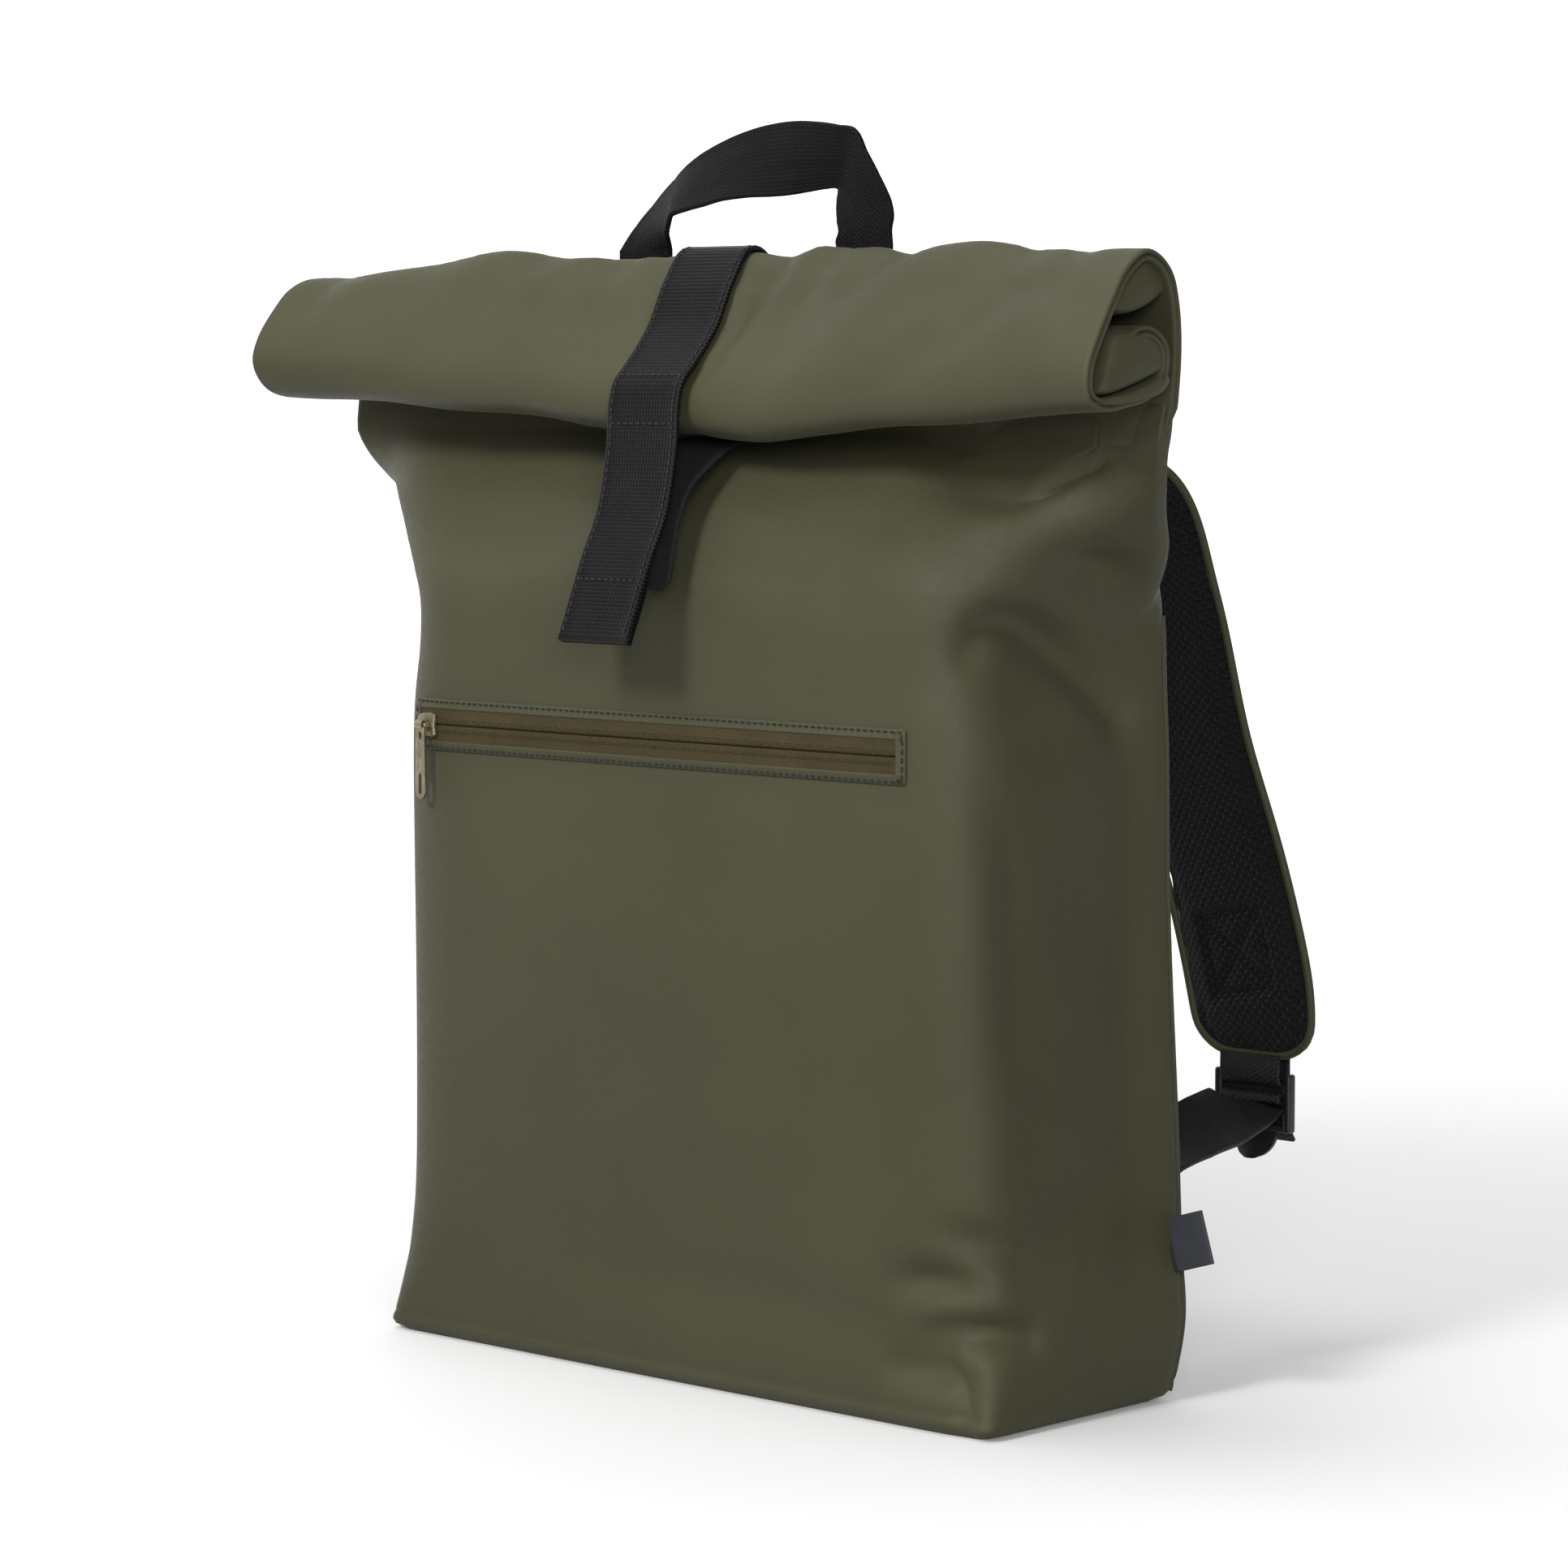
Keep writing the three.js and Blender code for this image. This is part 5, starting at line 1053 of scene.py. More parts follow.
loop_tape = band("loop_tape_cloth", finer_stations(tape_stations, 8), loop_pile)
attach(loop_tape, "bag")
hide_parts("closure_loop_tape")

thread_black, _ = worn_material("black_thread", (0.0015, 0.0015, 0.0015), (0.004, 0.004, 0.004), 300.0,
                                (4000.0, 0.5), (0.5, 0.7))


def stitch_rows(name, runs, material, pitch=0.0034, length=0.0027, radius=0.0005):
    """Rows of thread stitches, each lying along its run of (points, normals)."""
    points = []
    faces = []
    for path, normals in runs:
        path = np.asarray(path, float)
        normals = np.asarray(normals, float)
        place = np.concatenate([[0], np.cumsum(np.linalg.norm(np.diff(path, axis=0), axis=1))])
        for middle in np.arange(pitch / 2, place[-1] - length / 2, pitch):
            ends = [np.array([np.interp(s, place, path[:, k]) for k in range(3)])
                    for s in (middle - length / 2, middle, middle + length / 2)]
            normal = np.array([np.interp(middle, place, normals[:, k]) for k in range(3)])
            normal /= np.linalg.norm(normal)
            along = ends[2] - ends[0]
            side = np.cross(along, normal)
            side /= np.linalg.norm(side)
            first = len(points)
            points.append(ends[0] - normal * radius * 0.4)
            for spot, size in ((ends[1] - along * 0.28, 0.85), (ends[1] + along * 0.28, 0.85)):
                for turn in range(6):
                    angle = turn * math.pi / 3
                    points.append(spot + side * math.cos(angle) * radius * size
                                  + normal * math.sin(angle) * radius * size)
            points.append(ends[2] - normal * radius * 0.4)
            for turn in range(6):
                after = (turn + 1) % 6
                faces.append((first, first + 1 + after, first + 1 + turn))
                faces.append((first + 1 + turn, first + 1 + after, first + 7 + after, first + 7 + turn))
                faces.append((first + 13, first + 7 + turn, first + 7 + after))
    piece = make_piece(name, points, faces, material)
    face_outward(piece)
    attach(piece, "bag")
    return piece


# Threads lie this far out from the webbing's middle, as a share of its thickness
STITCH_SEAT = 0.46


def row_across(stations, index, share, side=1):
    """A row across a band at a station, from one edge's share to the other's, on one face."""
    at = np.array([s[0] for s in stations], float)
    _, across, up = band_frames(at, [s[1] for s in stations])
    width, thickness = float(stations[index][2]), float(stations[index][3])
    edges = np.linspace(-share, share, 9)
    lift = side * thickness * STITCH_SEAT
    points = [at[index] + across[index] * (e * width / 2) + up[index] * lift for e in edges]
    return points, [up[index] * side] * len(points)


def row_along(stations, first, share, side=1):
    """A row along a band from one station to its end, at a share of its half width, on one face."""
    at = np.array([s[0] for s in stations], float)
    _, across, up = band_frames(at, [s[1] for s in stations])
    points = [at[i] + across[i] * (share * float(stations[i][2]) / 2)
              + up[i] * (side * float(stations[i][3]) * STITCH_SEAT)
              for i in range(first, len(stations))]
    return points, list(up[first:] * side)


# Stitches down both selvedges from the crest and in three rows across, counted from the end
closure_at = np.array([s[0] for s in closure_stations])
closure_run = np.concatenate([[0], np.cumsum(np.linalg.norm(np.diff(closure_at, axis=0), axis=1))])
front_side = -1 if band_frames(closure_at, [X_AXIS] * len(closure_at))[2][-10][1] > 0 else 1
hem_index = int(np.abs(closure_run - (closure_run[-1] - HEM_ROW)).argmin())
kink_index = int(np.abs(closure_run - (closure_run[-1] - KINK_ROW)).argmin())
lower_index = int(np.abs(closure_run - (closure_run[-1] - LOWER_ROW)).argmin())
crest_index = int(closure_at[:, 2].argmax())
stitches = stitch_rows("closure_stitches", [
    row_across(closure_stations, hem_index, 0.88, front_side),
    row_across(closure_stations, kink_index, 0.9, front_side),
    row_across(closure_stations, lower_index, 0.9, front_side),
    row_along(closure_stations, crest_index, -0.86, front_side),
    row_along(closure_stations, crest_index, 0.86, front_side),
], thread_black)


# Front zip
# A level opening in the front panel: turned and stitched fabric lips, brown woven tapes with the
# coil's stitching beside the slit, and an old brass slider with its pull at the left end.
ZIP_LENGTH = 0.268
ZIP_HEIGHT = 0.021
ZIP_CENTRE_X = -0.005
ZIP_CENTRE_Z = 0.254
WELT_WIDTH = 0.004
PANEL_GAP = 0.0005
TAPE_THICKNESS = 0.001
LIP_STITCH_INSET = 0.0011
LIP_STITCH_LIFT = 0.0019
LIP_PROFILE = (
    (0.0, -0.0004), (0.02, 0.0006), (0.1, 0.0011), (0.35, 0.0013), (0.6, 0.0016), (0.8, 0.0021),
    (0.93, 0.0021), (1.0, 0.0016), (1.03, 0.0008), (1.0, -0.0004),
)

zip_left = ZIP_CENTRE_X - ZIP_LENGTH / 2
zip_right = ZIP_CENTRE_X + ZIP_LENGTH / 2
zip_bottom = ZIP_CENTRE_Z - ZIP_HEIGHT / 2
zip_top = ZIP_CENTRE_Z + ZIP_HEIGHT / 2


def ring_path(left, right, bottom, top, rounding, step=0.0022):
    """Points (x, z) and outward ways round a rectangle with rounded corners."""
    spots = []
    ways = []
    corners = ((right - rounding, bottom + rounding, -90), (right - rounding, top - rounding, 0),
               (left + rounding, top - rounding, 90), (left + rounding, bottom + rounding, 180))
    for i, (x, z, start) in enumerate(corners):
        for turn in np.radians(np.linspace(start, start + 90, 6)):
            spots.append((x + rounding * math.cos(turn), z + rounding * math.sin(turn)))
            ways.append((math.cos(turn), math.sin(turn)))
        nx, nz, nstart = corners[(i + 1) % 4]
        turn = math.radians(nstart)
        reach = (nx + rounding * math.cos(turn), nz + rounding * math.sin(turn))
        count = max(int(math.dist(spots[-1], reach) / step), 1)
        for s in range(1, count):
            spots.append(tuple(np.array(spots[-1]) + (np.array(reach) - spots[-1]) / (count - s + 1)))
            ways.append((math.cos(turn), math.sin(turn)))
    return np.array(spots), np.array(ways)


outer_ring, outer_ways = ring_path(zip_left, zip_right, zip_bottom, zip_top, 0.0012)
lip_grid = []
for (x, z), (way_x, way_z) in zip(outer_ring, outer_ways):
    corner = max(abs(way_x) + abs(way_z), 1.0)
    row = []
    for share, lift in LIP_PROFILE:
        inward = share * WELT_WIDTH * corner
        row.append(on_panel(x - way_x * inward, z - way_z * inward, -1, PANEL_GAP * 0.4 + lift)[0])
    lip_grid.append(row)
lip_grid.append(lip_grid[0])
lip_grid = np.array(lip_grid)
zip_lips = make_piece("zip_lips", lip_grid, grid_faces(len(lip_grid), len(LIP_PROFILE)), olive_fabric)
face_outward(zip_lips)
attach(zip_lips, "bag")
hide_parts("zip_welt")

tape_cloth = woven_material("brown_zip_tape", (0.047, 0.036, 0.0145), (0.086, 0.066, 0.028),
                            0.00135, 0.8, 1.0, 0.0009, bump_height=0.00022, shine=0.15,
                            rib_shade_range=(0.45, 1.25))
for name, near, far in (("upper", 0.0002, 1), ("lower", -0.0002, -1)):
    reach = far * (ZIP_HEIGHT / 2 - WELT_WIDTH + 0.0006)
    spots_x = np.linspace(zip_left + WELT_WIDTH - 0.0006, zip_right - WELT_WIDTH + 0.0006, 110)
    shares = np.linspace(0, 1, 9)
    grid = []
    uvs = []
    for x in spots_x:
        row = []
        for share in shares:
            z = ZIP_CENTRE_Z + near + (reach - near) * share
            crown = 0.0004 * math.exp(-((share - 0.2) / 0.13) ** 2) - 0.0003 * share
            dip = -0.0008 * math.exp(-(share / 0.05) ** 2)
            row.append(on_panel(x, z, -1, PANEL_GAP + TAPE_THICKNESS + crown + dip)[0])
            uvs.append((x, z - ZIP_CENTRE_Z))
        grid.append(row)
    grid = np.array(grid)
    tape = make_piece(f"zip_tape_cloth_{name}", grid, grid_faces(*grid.shape[:2], closed=False),
                      tape_cloth, uvs)
    thick = tape.modifiers.new("thick", "SOLIDIFY")
    thick.thickness = TAPE_THICKNESS
    thick.offset = 0
    apply_modifiers(tape)
    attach(tape, "bag")
    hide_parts(f"zip_tape_{name}")


def panel_run(x0, z0, x1, z1, side, lift, count=60):
    spots = [on_panel(x0 + (x1 - x0) * s, z0 + (z1 - z0) * s, side, lift)
             for s in np.linspace(0, 1, count)]
    return [s[0] for s in spots], [s[1] for s in spots]


row_left = zip_left + LIP_STITCH_INSET
row_right = zip_right - LIP_STITCH_INSET
row_bottom = zip_bottom + LIP_STITCH_INSET
row_top = zip_top - LIP_STITCH_INSET
lip_stitches = stitch_rows("zip_lip_stitches", [
    panel_run(row_left, row_top, row_right, row_top, -1, LIP_STITCH_LIFT),
    panel_run(row_left, row_bottom, row_right, row_bottom, -1, LIP_STITCH_LIFT),
    panel_run(row_right, row_bottom, row_right, row_top, -1, LIP_STITCH_LIFT, 8),
    panel_run(row_left, row_bottom, row_left, row_top, -1, LIP_STITCH_LIFT, 8),
], thread_black, pitch=0.0033, length=0.0024, radius=0.00046)

brown_thread, _ = worn_material("brown_thread", (0.012, 0.009, 0.004), (0.03, 0.023, 0.01), 300.0,
                                (3000.0, 0.5), (0.5, 0.7))
tape_left = zip_left + WELT_WIDTH + 0.0015
tape_right = zip_right - WELT_WIDTH
coil_rows = []
for aside, up in ((0.0012, 0.0008), (0.0025, 0.0011), (-0.0012, 0.0008), (-0.0025, 0.0011)):
    coil_z = ZIP_CENTRE_Z + aside
    coil_lift = PANEL_GAP + TAPE_THICKNESS + up
    coil_rows.append(panel_run(tape_left, coil_z, tape_right, coil_z, -1, coil_lift))
coil_stitches = stitch_rows("zip_coil_stitches", coil_rows, brown_thread,
                            pitch=0.0018, length=0.001, radius=0.0003)

old_brass, shader = worn_material("old_brass", (0.13, 0.11, 0.065), (0.34, 0.3, 0.2), 160.0,
                                  (900.0, 0.4), (0.28, 0.48), 0.25, 0.0001)
shader.inputs["Metallic"].default_value = 0.9

pull_joint = frame["joints"][0]
pull_place = Vector(pull_joint["pos_m"])
pull_turn = math.atan2(pull_joint["axis"][1], pull_joint["axis"][0]) + math.pi
SLIDER_LENGTH = 0.012
SLIDER_WIDTH = 0.009
SLIDER_PLATE = 0.0018
BRIDGE_RADIUS = 0.0009
BRIDGE_HEIGHT = 0.0041
PULL_LENGTH = 0.03
PULL_WIDTH = 0.0064
EYE_LENGTH = 0.0046


def cut_plate(name, loops, thickness, bevel):
    """A plate with holes: the first loop is its outline; it lies in XZ with its middle at y = 0."""
    curve = bpy.data.curves.new(name, "CURVE")
    curve.dimensions = "2D"
    curve.fill_mode = "BOTH"
    curve.extrude = thickness / 2 - bevel
    curve.bevel_depth = bevel
    curve.bevel_resolution = 2
    for loop in loops:
        spline = curve.splines.new("POLY")
        spline.points.add(len(loop) - 1)
        for point, (x, z) in zip(spline.points, loop):
            point.co = (x, z, 0, 1)
        spline.use_cyclic_u = True
    holder = bpy.data.objects.new(name, curve)
    bpy.context.scene.collection.objects.link(holder)
    bpy.context.view_layer.update()
    mesh = bpy.data.meshes.new_from_object(holder.evaluated_get(bpy.context.evaluated_depsgraph_get()))
    bpy.data.objects.remove(holder)
    mesh.transform(Matrix.Rotation(math.pi / 2, 4, "X"))
    return mesh


def rounded_bar(name, size, bevel, place):
    shape = bmesh.new()
    bmesh.ops.create_cube(shape, size=1, matrix=Matrix.Translation(place) @ Matrix.Diagonal((*size, 1)))
    bmesh.ops.bevel(shape, geom=shape.edges[:], offset=bevel, segments=3, profile=0.6, affect="EDGES")
    mesh = bpy.data.meshes.new(name)
    shape.to_mesh(mesh)
    shape.free()
    return mesh


def round_rod(name, radius, length, place, hole=0.0):
    """A rod along X, or a ring with a hole, with rounded rims."""
    rim = min(radius * 0.25, 0.0003)
    half = length / 2
    inner = hole or 0.00001
    profile = [(-half, radius - rim), (-half + rim, radius), (half - rim, radius), (half, radius - rim),
               (half, inner), (-half, inner)]
    turns = np.linspace(0, 2 * math.pi, 24, endpoint=False)
    grid = np.array([[(x, r * math.cos(a), r * math.sin(a)) for x, r in profile] for a in turns])
    grid = np.concatenate([grid, grid[:1]]) + np.array(place)
    mesh = bpy.data.meshes.new(name)
    mesh.from_pydata(grid.reshape(-1, 3).tolist(), [], grid_faces(len(grid), len(profile)))
    return mesh


def joined_piece(name, meshes, material, smooth_angle=40):
    shape = bmesh.new()
    for mesh in meshes:
        shape.from_mesh(mesh)
    bmesh.ops.remove_doubles(shape, verts=shape.verts, dist=1e-6)
    bmesh.ops.recalc_face_normals(shape, faces=shape.faces)
    whole = bpy.data.meshes.new(name)
    shape.to_mesh(whole)
    shape.free()
    whole.materials.clear()
    whole.materials.append(material)
    whole.polygons.foreach_set("use_smooth", [True] * len(whole.polygons))
    whole.polygons.foreach_set("material_index", [0] * len(whole.polygons))
    whole.set_sharp_from_angle(angle=math.radians(smooth_angle))
    piece = bpy.data.objects.new(name, whole)
    bpy.context.scene.collection.objects.link(piece)
    return piece


def half_round(middle, radius, start, count=12):
    return [(middle[0] + radius * math.cos(a), middle[1] + radius * math.sin(a))
            for a in np.radians(np.linspace(start, start + 180, count))]


pull_low = -PULL_LENGTH + PULL_WIDTH / 2
pull_outline = [(-PULL_WIDTH * 0.4, -0.0012), *half_round((0, pull_low), PULL_WIDTH / 2, 180, 20),
                (PULL_WIDTH * 0.4, -0.0012)]
top_half = PULL_WIDTH * 0.2
top_hole = (half_round((0, -PULL_WIDTH * 0.42 - top_half), top_half, 0)
            + half_round((0, -PULL_WIDTH * 0.98 + top_half), top_half, 180))
low_half = PULL_WIDTH * 0.25
low_hole = (half_round((0, pull_low + PULL_WIDTH * 1.1 - low_half), low_half, 0)
            + half_round((0, pull_low - PULL_WIDTH * 0.28 + low_half), low_half, 180))
rim_outline = [(x * 0.78, z * 0.985 - 0.0006) for x, z in pull_outline]
pull_plate = cut_plate("pull_plate", [pull_outline, top_hole, low_hole], 0.00105, 0.0002)
pull_rim = cut_plate("pull_rim", [pull_outline, rim_outline], 0.0015, 0.0003)
low_middle = pull_low + 0.0015
ring_outline = [(x * 1.45, (z - low_middle) * 1.12 + low_middle) for x, z in low_hole]
low_ring = cut_plate("pull_low_ring", [ring_outline, low_hole], 0.0014, 0.00025)
pull_eye = round_rod("pull_eye", 0.0020, EYE_LENGTH, (0, 0, 0), hole=BRIDGE_RADIUS + 0.0003)
zip_pull = joined_piece("zip_pull_tab", [pull_plate, pull_rim, low_ring, pull_eye], old_brass)
zip_pull.data.transform(Matrix.Translation(pull_place) @ Matrix.Rotation(pull_turn, 4, "Z"))
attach(zip_pull, "zip_pull")
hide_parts("zip_pull")

half_slider = SLIDER_LENGTH / 2
slider_side = [(half_slider, SLIDER_WIDTH * 0.42), (half_slider * 0.7, SLIDER_WIDTH / 2),
               (-half_slider * 0.3, SLIDER_WIDTH * 0.46), (-half_slider * 0.85, 0.0032),
               (-half_slider, 0.0026)]
slider_outline = [(x, -z) for x, z in slider_side[::-1]] + [(half_slider * 0.86, 0.0)] + slider_side
plate = cut_plate("slider_plate", [slider_outline], SLIDER_PLATE, 0.0004)
plate.transform(Matrix.Translation((0, BRIDGE_HEIGHT - SLIDER_PLATE / 2, 0)))
post_x = EYE_LENGTH / 2 + 0.0012
bridge = round_rod("bridge", BRIDGE_RADIUS, 2 * post_x + 0.0018, (0, 0, 0))
post_size = (0.0019, BRIDGE_HEIGHT - 0.0006, 0.0019)
posts = [rounded_bar("post", post_size, 0.0005, Vector((x, BRIDGE_HEIGHT / 2 - 0.0002, 0)))
         for x in (-post_x, post_x)]
zip_slider = joined_piece("zip_slider_body", [plate, bridge, *posts], old_brass)
zip_slider.data.transform(Matrix.Translation(pull_place) @ Matrix.Rotation(pull_turn, 4, "Z"))
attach(zip_slider, "bag")
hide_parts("zip_slider")


# Yoke and grab handle
# An olive band sewn across the back holds the ends of every strap. The handle is one length of
# herringbone webbing whose legs climb behind the roll and turn on edge over it.
YOKE_WIDTH = 0.176
YOKE_BOTTOM = 0.316
YOKE_THICKNESS = 0.003
HANDLE_WEBBING = 0.029
HANDLE_THICKNESS = 0.0022
HANDLE_SPREAD = 0.118
HANDLE_RISE = 0.038
HANDLE_ARCH = (
    (-0.468, 0.215, 0.086, 0.36),
    (-0.424, 0.382, 0.167, 0.554),
    (-0.367, 0.544, 0.489, 0.727),
    (-0.306, 0.636, 0.57, 0.614),
    (-0.232, 0.716, 0.64, 0.508),
    (-0.141, 0.797, 0.704, 0.44),
    (-0.018, 0.863, 0.82, 0.3),
    (0.123, 0.898, 1, 0.08),
    (0.254, 0.908, 1.2, -0.15),
    (0.35, 0.9, 1.33, -0.26),
    (0.424, 0.869, 1.396, -0.298),
    (0.446, 0.691, 1.528, -0.226),
    (0.473, 0.514, 1.696, -0.131),
    (0.498, 0.341, 1.82, 0),
    (0.507, 0.218, 1.87, 0),
    (0.497, 0.1, 1.92, 0),
)


PATCH_COLUMNS = 41
PATCH_ROWS = 21
PATCH_RIM = 0.0016
PATCH_STITCH_INSET = 0.004
PATCH_STITCH_DIP = 0.0006


def panel_patch(name, left, right, bottom, top, side, lift, thickness, material):
    """A sewn-on flat piece that follows a panel, with softened edges."""
    spots_x = left + (right - left) * (0.5 - 0.5 * np.cos(np.linspace(0, math.pi, PATCH_COLUMNS)))
    spots_z = bottom + (top - bottom) * (0.5 - 0.5 * np.cos(np.linspace(0, math.pi, PATCH_ROWS)))
    grid = []
    for x in spots_x:
        row = []
        for z in spots_z:
            rim = min(x - left, right - x, z - bottom, top - z)
            height = thickness * min(1, 0.35 + rim / PATCH_RIM)
            dip = PATCH_STITCH_DIP * math.exp(-((rim - PATCH_STITCH_INSET) / PATCH_RIM) ** 2)
            row.append(on_panel(x, z, side, lift + height - dip)[0])
        grid.append(row)
    low = [[on_panel(x, z, side, lift * 0.3)[0] for z in spots_z] for x in spots_x]
    outline = [(0, j) for j in range(PATCH_ROWS)]
    outline += [(i, PATCH_ROWS - 1) for i in range(1, PATCH_COLUMNS)]
    outline += [(PATCH_COLUMNS - 1, j) for j in range(PATCH_ROWS - 2, -1, -1)]
    outline += [(i, 0) for i in range(PATCH_COLUMNS - 2, 0, -1)]
    points = [p for row in grid for p in row] + [low[i][j] for i, j in outline]
    faces = grid_faces(PATCH_COLUMNS, PATCH_ROWS, closed=False)
    base = PATCH_COLUMNS * PATCH_ROWS
    for k, (i, j) in enumerate(outline):
        ni, nj = outline[(k + 1) % len(outline)]
        faces.append((i * PATCH_ROWS + j, base + k, base + (k + 1) % len(outline),
                      ni * PATCH_ROWS + nj))
    faces.append(tuple(base + k for k in range(len(outline))))
    piece = make_piece(name, points, faces, material)
    face_outward(piece)
    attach(piece, "bag")
    return piece


def box_runs(left, right, bottom, top, side, lift, inset):
    corners = ((left + inset, bottom + inset), (right - inset, bottom + inset),
               (right - inset, top - inset), (left + inset, top - inset))
    return [panel_run(*corners[i], *corners[(i + 1) % 4], side, lift) for i in range(4)]


yoke = panel_patch("yoke_band", -YOKE_WIDTH / 2, YOKE_WIDTH / 2, YOKE_BOTTOM, YOKE_TOP, 1, SEAT_GAP,
                   YOKE_THICKNESS, olive_fabric)
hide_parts("back_yoke")
yoke_lift = SEAT_GAP + YOKE_THICKNESS - 0.0005
yoke_stitches = stitch_rows("yoke_stitches", box_runs(
    -YOKE_WIDTH / 2, YOKE_WIDTH / 2, YOKE_BOTTOM, YOKE_TOP, 1, yoke_lift, 0.004), thread_black)

crest = roll_folds_at(0)[5][2] + ROLL_THICKNESS
leg_x = HANDLE_SPREAD / 2


def behind_roll(x):
    shares = [(x + s * HANDLE_WEBBING / 2) / (ROLL_LENGTH / 2) for s in (-1, 0, 1)]
    rearmost = max(roll_folds_at(s)[:, 1].max() for s in shares)
    return rearmost + (ROLL_THICKNESS + HANDLE_THICKNESS) / 2 + 2 * SEAT_GAP


def handle_leg(x, across):
    climb = up_the_back(x, HANDLE_THICKNESS, 2 * SEAT_GAP)
    rise = [np.array((x, behind_roll(x), z))
            for z in np.linspace(NECK_HEIGHT + 0.2 * ROLL_HEIGHT, crest, 4)]
    return [(p, across, HANDLE_WEBBING, HANDLE_THICKNESS) for p in climb + rise]


left_leg = handle_leg(-leg_x, X_AXIS)
right_leg = handle_leg(leg_x, (-1.0, 0.0, 0.0))[::-1]
arch = []
for across, up, turn, tilt in HANDLE_ARCH:
    angle = turn * math.pi / 2
    way = np.array((math.cos(angle), -math.tan(tilt), -math.sin(angle)))
    arch.append((np.array((across * HANDLE_SPREAD, behind_roll(leg_x), crest + up * HANDLE_RISE)),
                 way / np.linalg.norm(way), HANDLE_WEBBING, HANDLE_THICKNESS))
over = finer_stations([left_leg[-1], *arch, right_leg[0]], 10)
handle_stations = finer_stations(left_leg, 3)[:-1] + over + finer_stations(right_leg, 3)[1:]
slanted = [0] * (3 * len(left_leg) - 3) + [1] * len(over) + [0] * (3 * len(right_leg) - 3)
handle = band("handle_webbing", handle_stations, twill_cloth, slanted)
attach(handle, "bag")
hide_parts("grab_handle")


# Shoulder straps
# Foam pads under black air mesh, with olive fabric on the outer side wrapped round the edge and a
# bound rim. A box of stitches near the bottom holds the short webbing that carries the buckle.
PAD_WIDTH = 0.062
PAD_TOP_WIDTH = 0.054
PAD_THICKNESS = 0.009
PAD_BOW = 0.104
PAD_START_OUT = 0.154
PAD_START_UP = 0.9
PAD_ROUTE = (
    (0.168, 0.05, 0.945, 0.9),
    (0.222, 0.33, 0.976, 0.95),
    (0.268, 0.57, 0.946, 1),
    (0.28, 0.76, 0.828, 1),
    (0.298, 0.9, 0.659, 1),
    (0.343, 0.965, 0.511, 1),
    (0.373, 0.988, 0.4, 1),
    (0.381, 0.99, 0.352, 0.96),
    (0.381, 0.99, 0.336, 0.82),
    (0.381, 0.99, 0.323, 0.52),
)
PAD_SECTION = (
    (-1, -0.35), (-0.97, -0.65), (-0.9, -0.85), (-0.72, -1), (-0.36, -1), (0, -1), (0.36, -1),
    (0.72, -1), (0.9, -0.85), (0.97, -0.65), (1, -0.35), (1, 0.35), (0.97, 0.65), (0.9, 0.85),
    (0.72, 1), (0.36, 1), (0, 1), (-0.36, 1), (-0.72, 1), (-0.9, 0.85), (-0.97, 0.65), (-1, 0.35),
)
PAD_VOXEL = 0.0038
PAD_PRESSURE = 4
PAD_SWELL_STEPS = 15
PAD_SWELL = 0.0022
MESH_CELL = 0.0042
BOX_FROM_END = 0.043
BOX_HALF_LENGTH = 0.017
BOX_HALF_WIDTH = 0.015
STITCH_GROOVE = 0.0015
BINDING_RADIUS = 0.0017
BINDING_INSET = 0.0005
BINDING_RISE = 0.0008

air_mesh, tree, shader = new_material("black_air_mesh")
flat = node(tree, "ShaderNodeUVMap", uv_map="along_across").outputs["UV"]
split = node(tree, "ShaderNodeSeparateXYZ", {0: flat})
row_turn = calc(tree, "DIVIDE", split.outputs["X"], MESH_CELL * 0.5)
row_number = calc(tree, "FLOOR", row_turn)
row_shift = calc(tree, "MULTIPLY", calc(tree, "MODULO", calc(tree, "ABSOLUTE", row_number), 2.0), 0.5)
cell_turn = calc(tree, "ADD", calc(tree, "DIVIDE", split.outputs["Y"], MESH_CELL), row_shift)
cell_x = calc(tree, "SUBTRACT", calc(tree, "FRACT", row_turn), 0.5)
cell_y = calc(tree, "SUBTRACT", calc(tree, "FRACT", cell_turn), 0.5)
reach_x = calc(tree, "MULTIPLY", cell_x, 0.62)
reach = calc(tree, "SQRT", calc(tree, "ADD", calc(tree, "MULTIPLY", reach_x, reach_x),
                                calc(tree, "MULTIPLY", cell_y, cell_y)))
hole = node(tree, "ShaderNodeMapRange", {"Value": reach, "From Min": 0.14, "From Max": 0.36})
hole.interpolation_type = "SMOOTHSTEP"
place = node(tree, "ShaderNodeTexCoord").outputs["Object"]
wear = placed_group(tree, cloth_wear, {
    "Place": place, "Deep Colour": (0.0012, 0.0012, 0.0014, 1),
    "Rubbed Colour": (0.004, 0.004, 0.0044, 1),
    "Patch Scale": 30.0, "Speck Scale": 2200.0, "Speck Share": 0.7, "Roughness Low": 0.7,
    "Roughness High": 0.9})
knit = calc(tree, "ADD", calc(tree, "MULTIPLY", wear.outputs["Height"], 0.25), hole.outputs["Result"])
bump = node(tree, "ShaderNodeBump", {"Height": knit, "Strength": 1.0, "Distance": 0.0011})
# The holes are painted dark: painted shade in the mesh's openings, added to the bump that sinks them.
shade = node(tree, "ShaderNodeMapRange",
             {"Value": hole.outputs["Result"], "To Min": 0.15, "To Max": 1.1})
shaded_colour = node(tree, "ShaderNodeMix", {0: 1.0, 6: wear.outputs["Colour"], 7: shade.outputs["Result"]},
            data_type="RGBA", blend_type="MULTIPLY")
tree.links.new(shaded_colour.outputs[2], shader.inputs["Base Color"])
tree.links.new(wear.outputs["Roughness"], shader.inputs["Roughness"])
tree.links.new(bump.outputs["Normal"], shader.inputs["Normal"])
shader.inputs["Specular IOR Level"].default_value = 0.2
